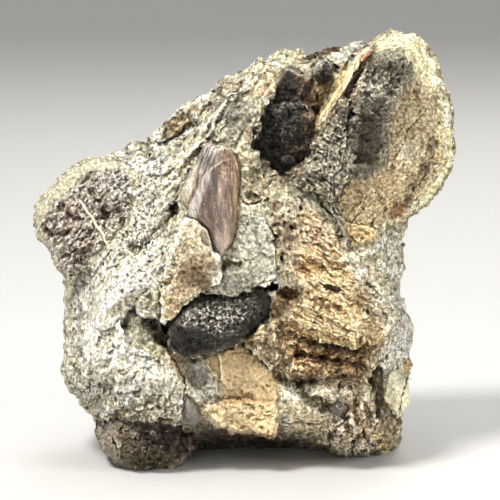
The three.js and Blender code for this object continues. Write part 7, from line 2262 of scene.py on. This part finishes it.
LOOKS = {
    "stone_block": ("siltstone", dict(rugged=1.0, grain=0.92, grain_scale=1900, speck=0.3, speck_scale=1500, bump=1.0, bump_scale=2000, spec=0.2)),
    "tooth_crown": ("tooth_enamel", dict(grain=0.5, grain_scale=1500, bump=0.14, bump_scale=2200, spec=0.5, coat=0.35, fibre=(4, 0.2))),
    "black_rib_bone": ("black_bone", dict(grain=0.95, grain_scale=2000, speck=0.0, bump=1.0, bump_scale=2800, spec=0.45)),
    "grey_spongy_bone": ("grey_bone", dict(rugged=0.8, grain=0.92, grain_scale=2000, speck=0.2, speck_scale=1200, bump=0.9, bump_scale=2100, spec=0.3)),
    "bone_blade": ("blade_bone", dict(grain=0.25, grain_scale=3000, bump=0.5, bump_scale=2800, spec=0.4, fibre=(33, 0.3))),
    "black_bone_shaft": ("shaft_bone", dict(grain=0.95, grain_scale=2000, bump=0.8, bump_scale=2600, spec=0.5)),
    "black_pebble": ("black_stone", dict(grain=0.30, grain_scale=2600, bump=0.4, bump_scale=2600, spec=0.5)),
    "dark_chip": ("black_stone", None),
    "orange_spongy_bone": ("orange_bone", dict(rugged=0.8, grain=0.85, grain_scale=2000, speck=0.35, speck_scale=1400, bump=1.0, bump_scale=2100, spec=0.2, dark=(0.40, 0.28, 0.18))),
    "tan_bone_lobe": ("tan_bone", dict(rugged=0.8, grain=0.85, grain_scale=2000, speck=0.25, speck_scale=1300, bump=0.9, bump_scale=2100, spec=0.25, dark=(0.46, 0.37, 0.26))),
    "ochre_bone_slab": ("ochre_bone", dict(rugged=0.8, grain=0.22, grain_scale=2300, speck=0.2, speck_scale=1400, bump=0.6, bump_scale=2100, spec=0.25, dark=(0.48, 0.35, 0.22))),
    "left_spongy_bone": ("pink_bone", dict(rugged=0.8, grain=0.8, grain_scale=2000, speck=0.25, speck_scale=1400, bump=1.0, bump_scale=2100, spec=0.2, dark=(0.30, 0.22, 0.18))),
    "brown_bone_knob": ("brown_bone", dict(rugged=0.8, grain=0.6, grain_scale=2300, speck=0.3, speck_scale=1200, bump=0.8, bump_scale=2600, spec=0.4)),
    "dark_pebble_upper": ("grey_stone", dict(grain=0.25, grain_scale=3000, bump=0.4, bump_scale=2800, spec=0.35)),
    "dark_pebble_lower": ("grey_stone", None),
    "grey_grit_by_tooth": ("grey_stone", None),
    "pale_shell_chip": ("pale_shell", dict(grain=0.16, grain_scale=3000, bump=0.35, bump_scale=2800, spec=0.35)),
    "white_rootlet": ("rootlet", dict(grain=0.15, grain_scale=1500, bump=0.3, bump_scale=2500, spec=0.3)),
}
MATS = {}
for node, (slot, kw) in LOOKS.items():
    if slot not in MATS:
        MATS[slot] = material(slot + "_surface", **kw)
for node, o in OBJ.items():
    slot = LOOKS[node][0]
    o.data.materials.append(MATS[slot])
    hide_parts(node)
    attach(o, "root")

# ================================================================ floor, light, camera
def area(name, loc, target, size, energy, colour=(1, 1, 1)):
    d = bpy.data.lights.new(name, "AREA")
    d.shape = "DISK"
    d.size = size
    d.energy = energy
    d.color = colour
    o = bpy.data.objects.new(name, d)
    o.location = loc
    o.rotation_euler = (Vector(target) - Vector(loc)).to_track_quat("-Z", "Y").to_euler()
    bpy.context.scene.collection.objects.link(o)
    return o


def floor():
    prof = [(0.0, 0.0), (0.3, 0.0), (0.6, 0.0), (0.9, 0.0), (1.02, 0.012), (1.12, 0.05), (1.2, 0.115), (1.25, 0.21), (1.28, 0.35), (1.28, 1.1)]
    n = 96
    v = [(r * np.cos(2 * np.pi * i / n), r * np.sin(2 * np.pi * i / n), z) for r, z in prof[1:] for i in range(n)] + [(0, 0, 0)]
    f = [(k * n + i, k * n + (i + 1) % n, (k + 1) * n + (i + 1) % n, (k + 1) * n + i) for k in range(len(prof) - 2) for i in range(n)]
    f = [q[::-1] for q in f] + [(i, (i + 1) % n, len(v) - 1) for i in range(n)]
    me = bpy.data.meshes.new("floor_sweep")
    me.from_pydata(v, [], f)
    for p in me.polygons:
        p.use_smooth = True
    o = bpy.data.objects.new("floor_sweep", me)
    bpy.context.scene.collection.objects.link(o)
    m = bpy.data.materials.new("pale_floor")
    m.use_nodes = True
    b = m.node_tree.nodes["Principled BSDF"]
    b.inputs["Base Color"].default_value = (0.60, 0.595, 0.58, 1)
    b.inputs["Roughness"].default_value = 0.9
    me.materials.append(m)
    return o


floor()
T = (0.00084, 0.0, 0.0320)
area("key", (-0.20, -0.34, 0.53), T, 0.16, 4.9, (1.0, 0.985, 0.96))
area("side", (0.42, -0.30, 0.24), T, 0.26, 1.45, (1.0, 0.99, 0.97))
area("front", (-0.05, -0.62, 0.10), T, 0.45, 1.0, (1.0, 0.99, 0.97))
area("back", (0.12, 0.42, 0.5), T, 0.35, 1.8, (1.0, 0.99, 0.97))
area("above", (0.0, 0.0, 1.5), T, 1.5, 7.0, (1.0, 1.0, 1.0))
world = bpy.data.worlds.new("studio")
bpy.context.scene.world = world
world.use_nodes = True
world.node_tree.nodes["Background"].inputs["Color"].default_value = (1.0, 0.985, 0.96, 1)
world.node_tree.nodes["Background"].inputs["Strength"].default_value = 0.14

cam = bpy.data.cameras.new("camera")
cam.sensor_width = 36.0
cam.sensor_fit = "HORIZONTAL"
cam.lens = 36.0 * 500.0 / 77.25
cam.clip_start = 0.01
cam.clip_end = 10.0
co = bpy.data.objects.new("camera", cam)
co.location = (T[0], T[1] - 0.5 * CL, T[2] + 0.5 * SL)
co.rotation_euler = (Vector(T) - Vector(co.location)).to_track_quat("-Z", "Y").to_euler()
bpy.context.scene.collection.objects.link(co)
bpy.context.scene.camera = co
bpy.context.scene.view_settings.view_transform = "Standard"
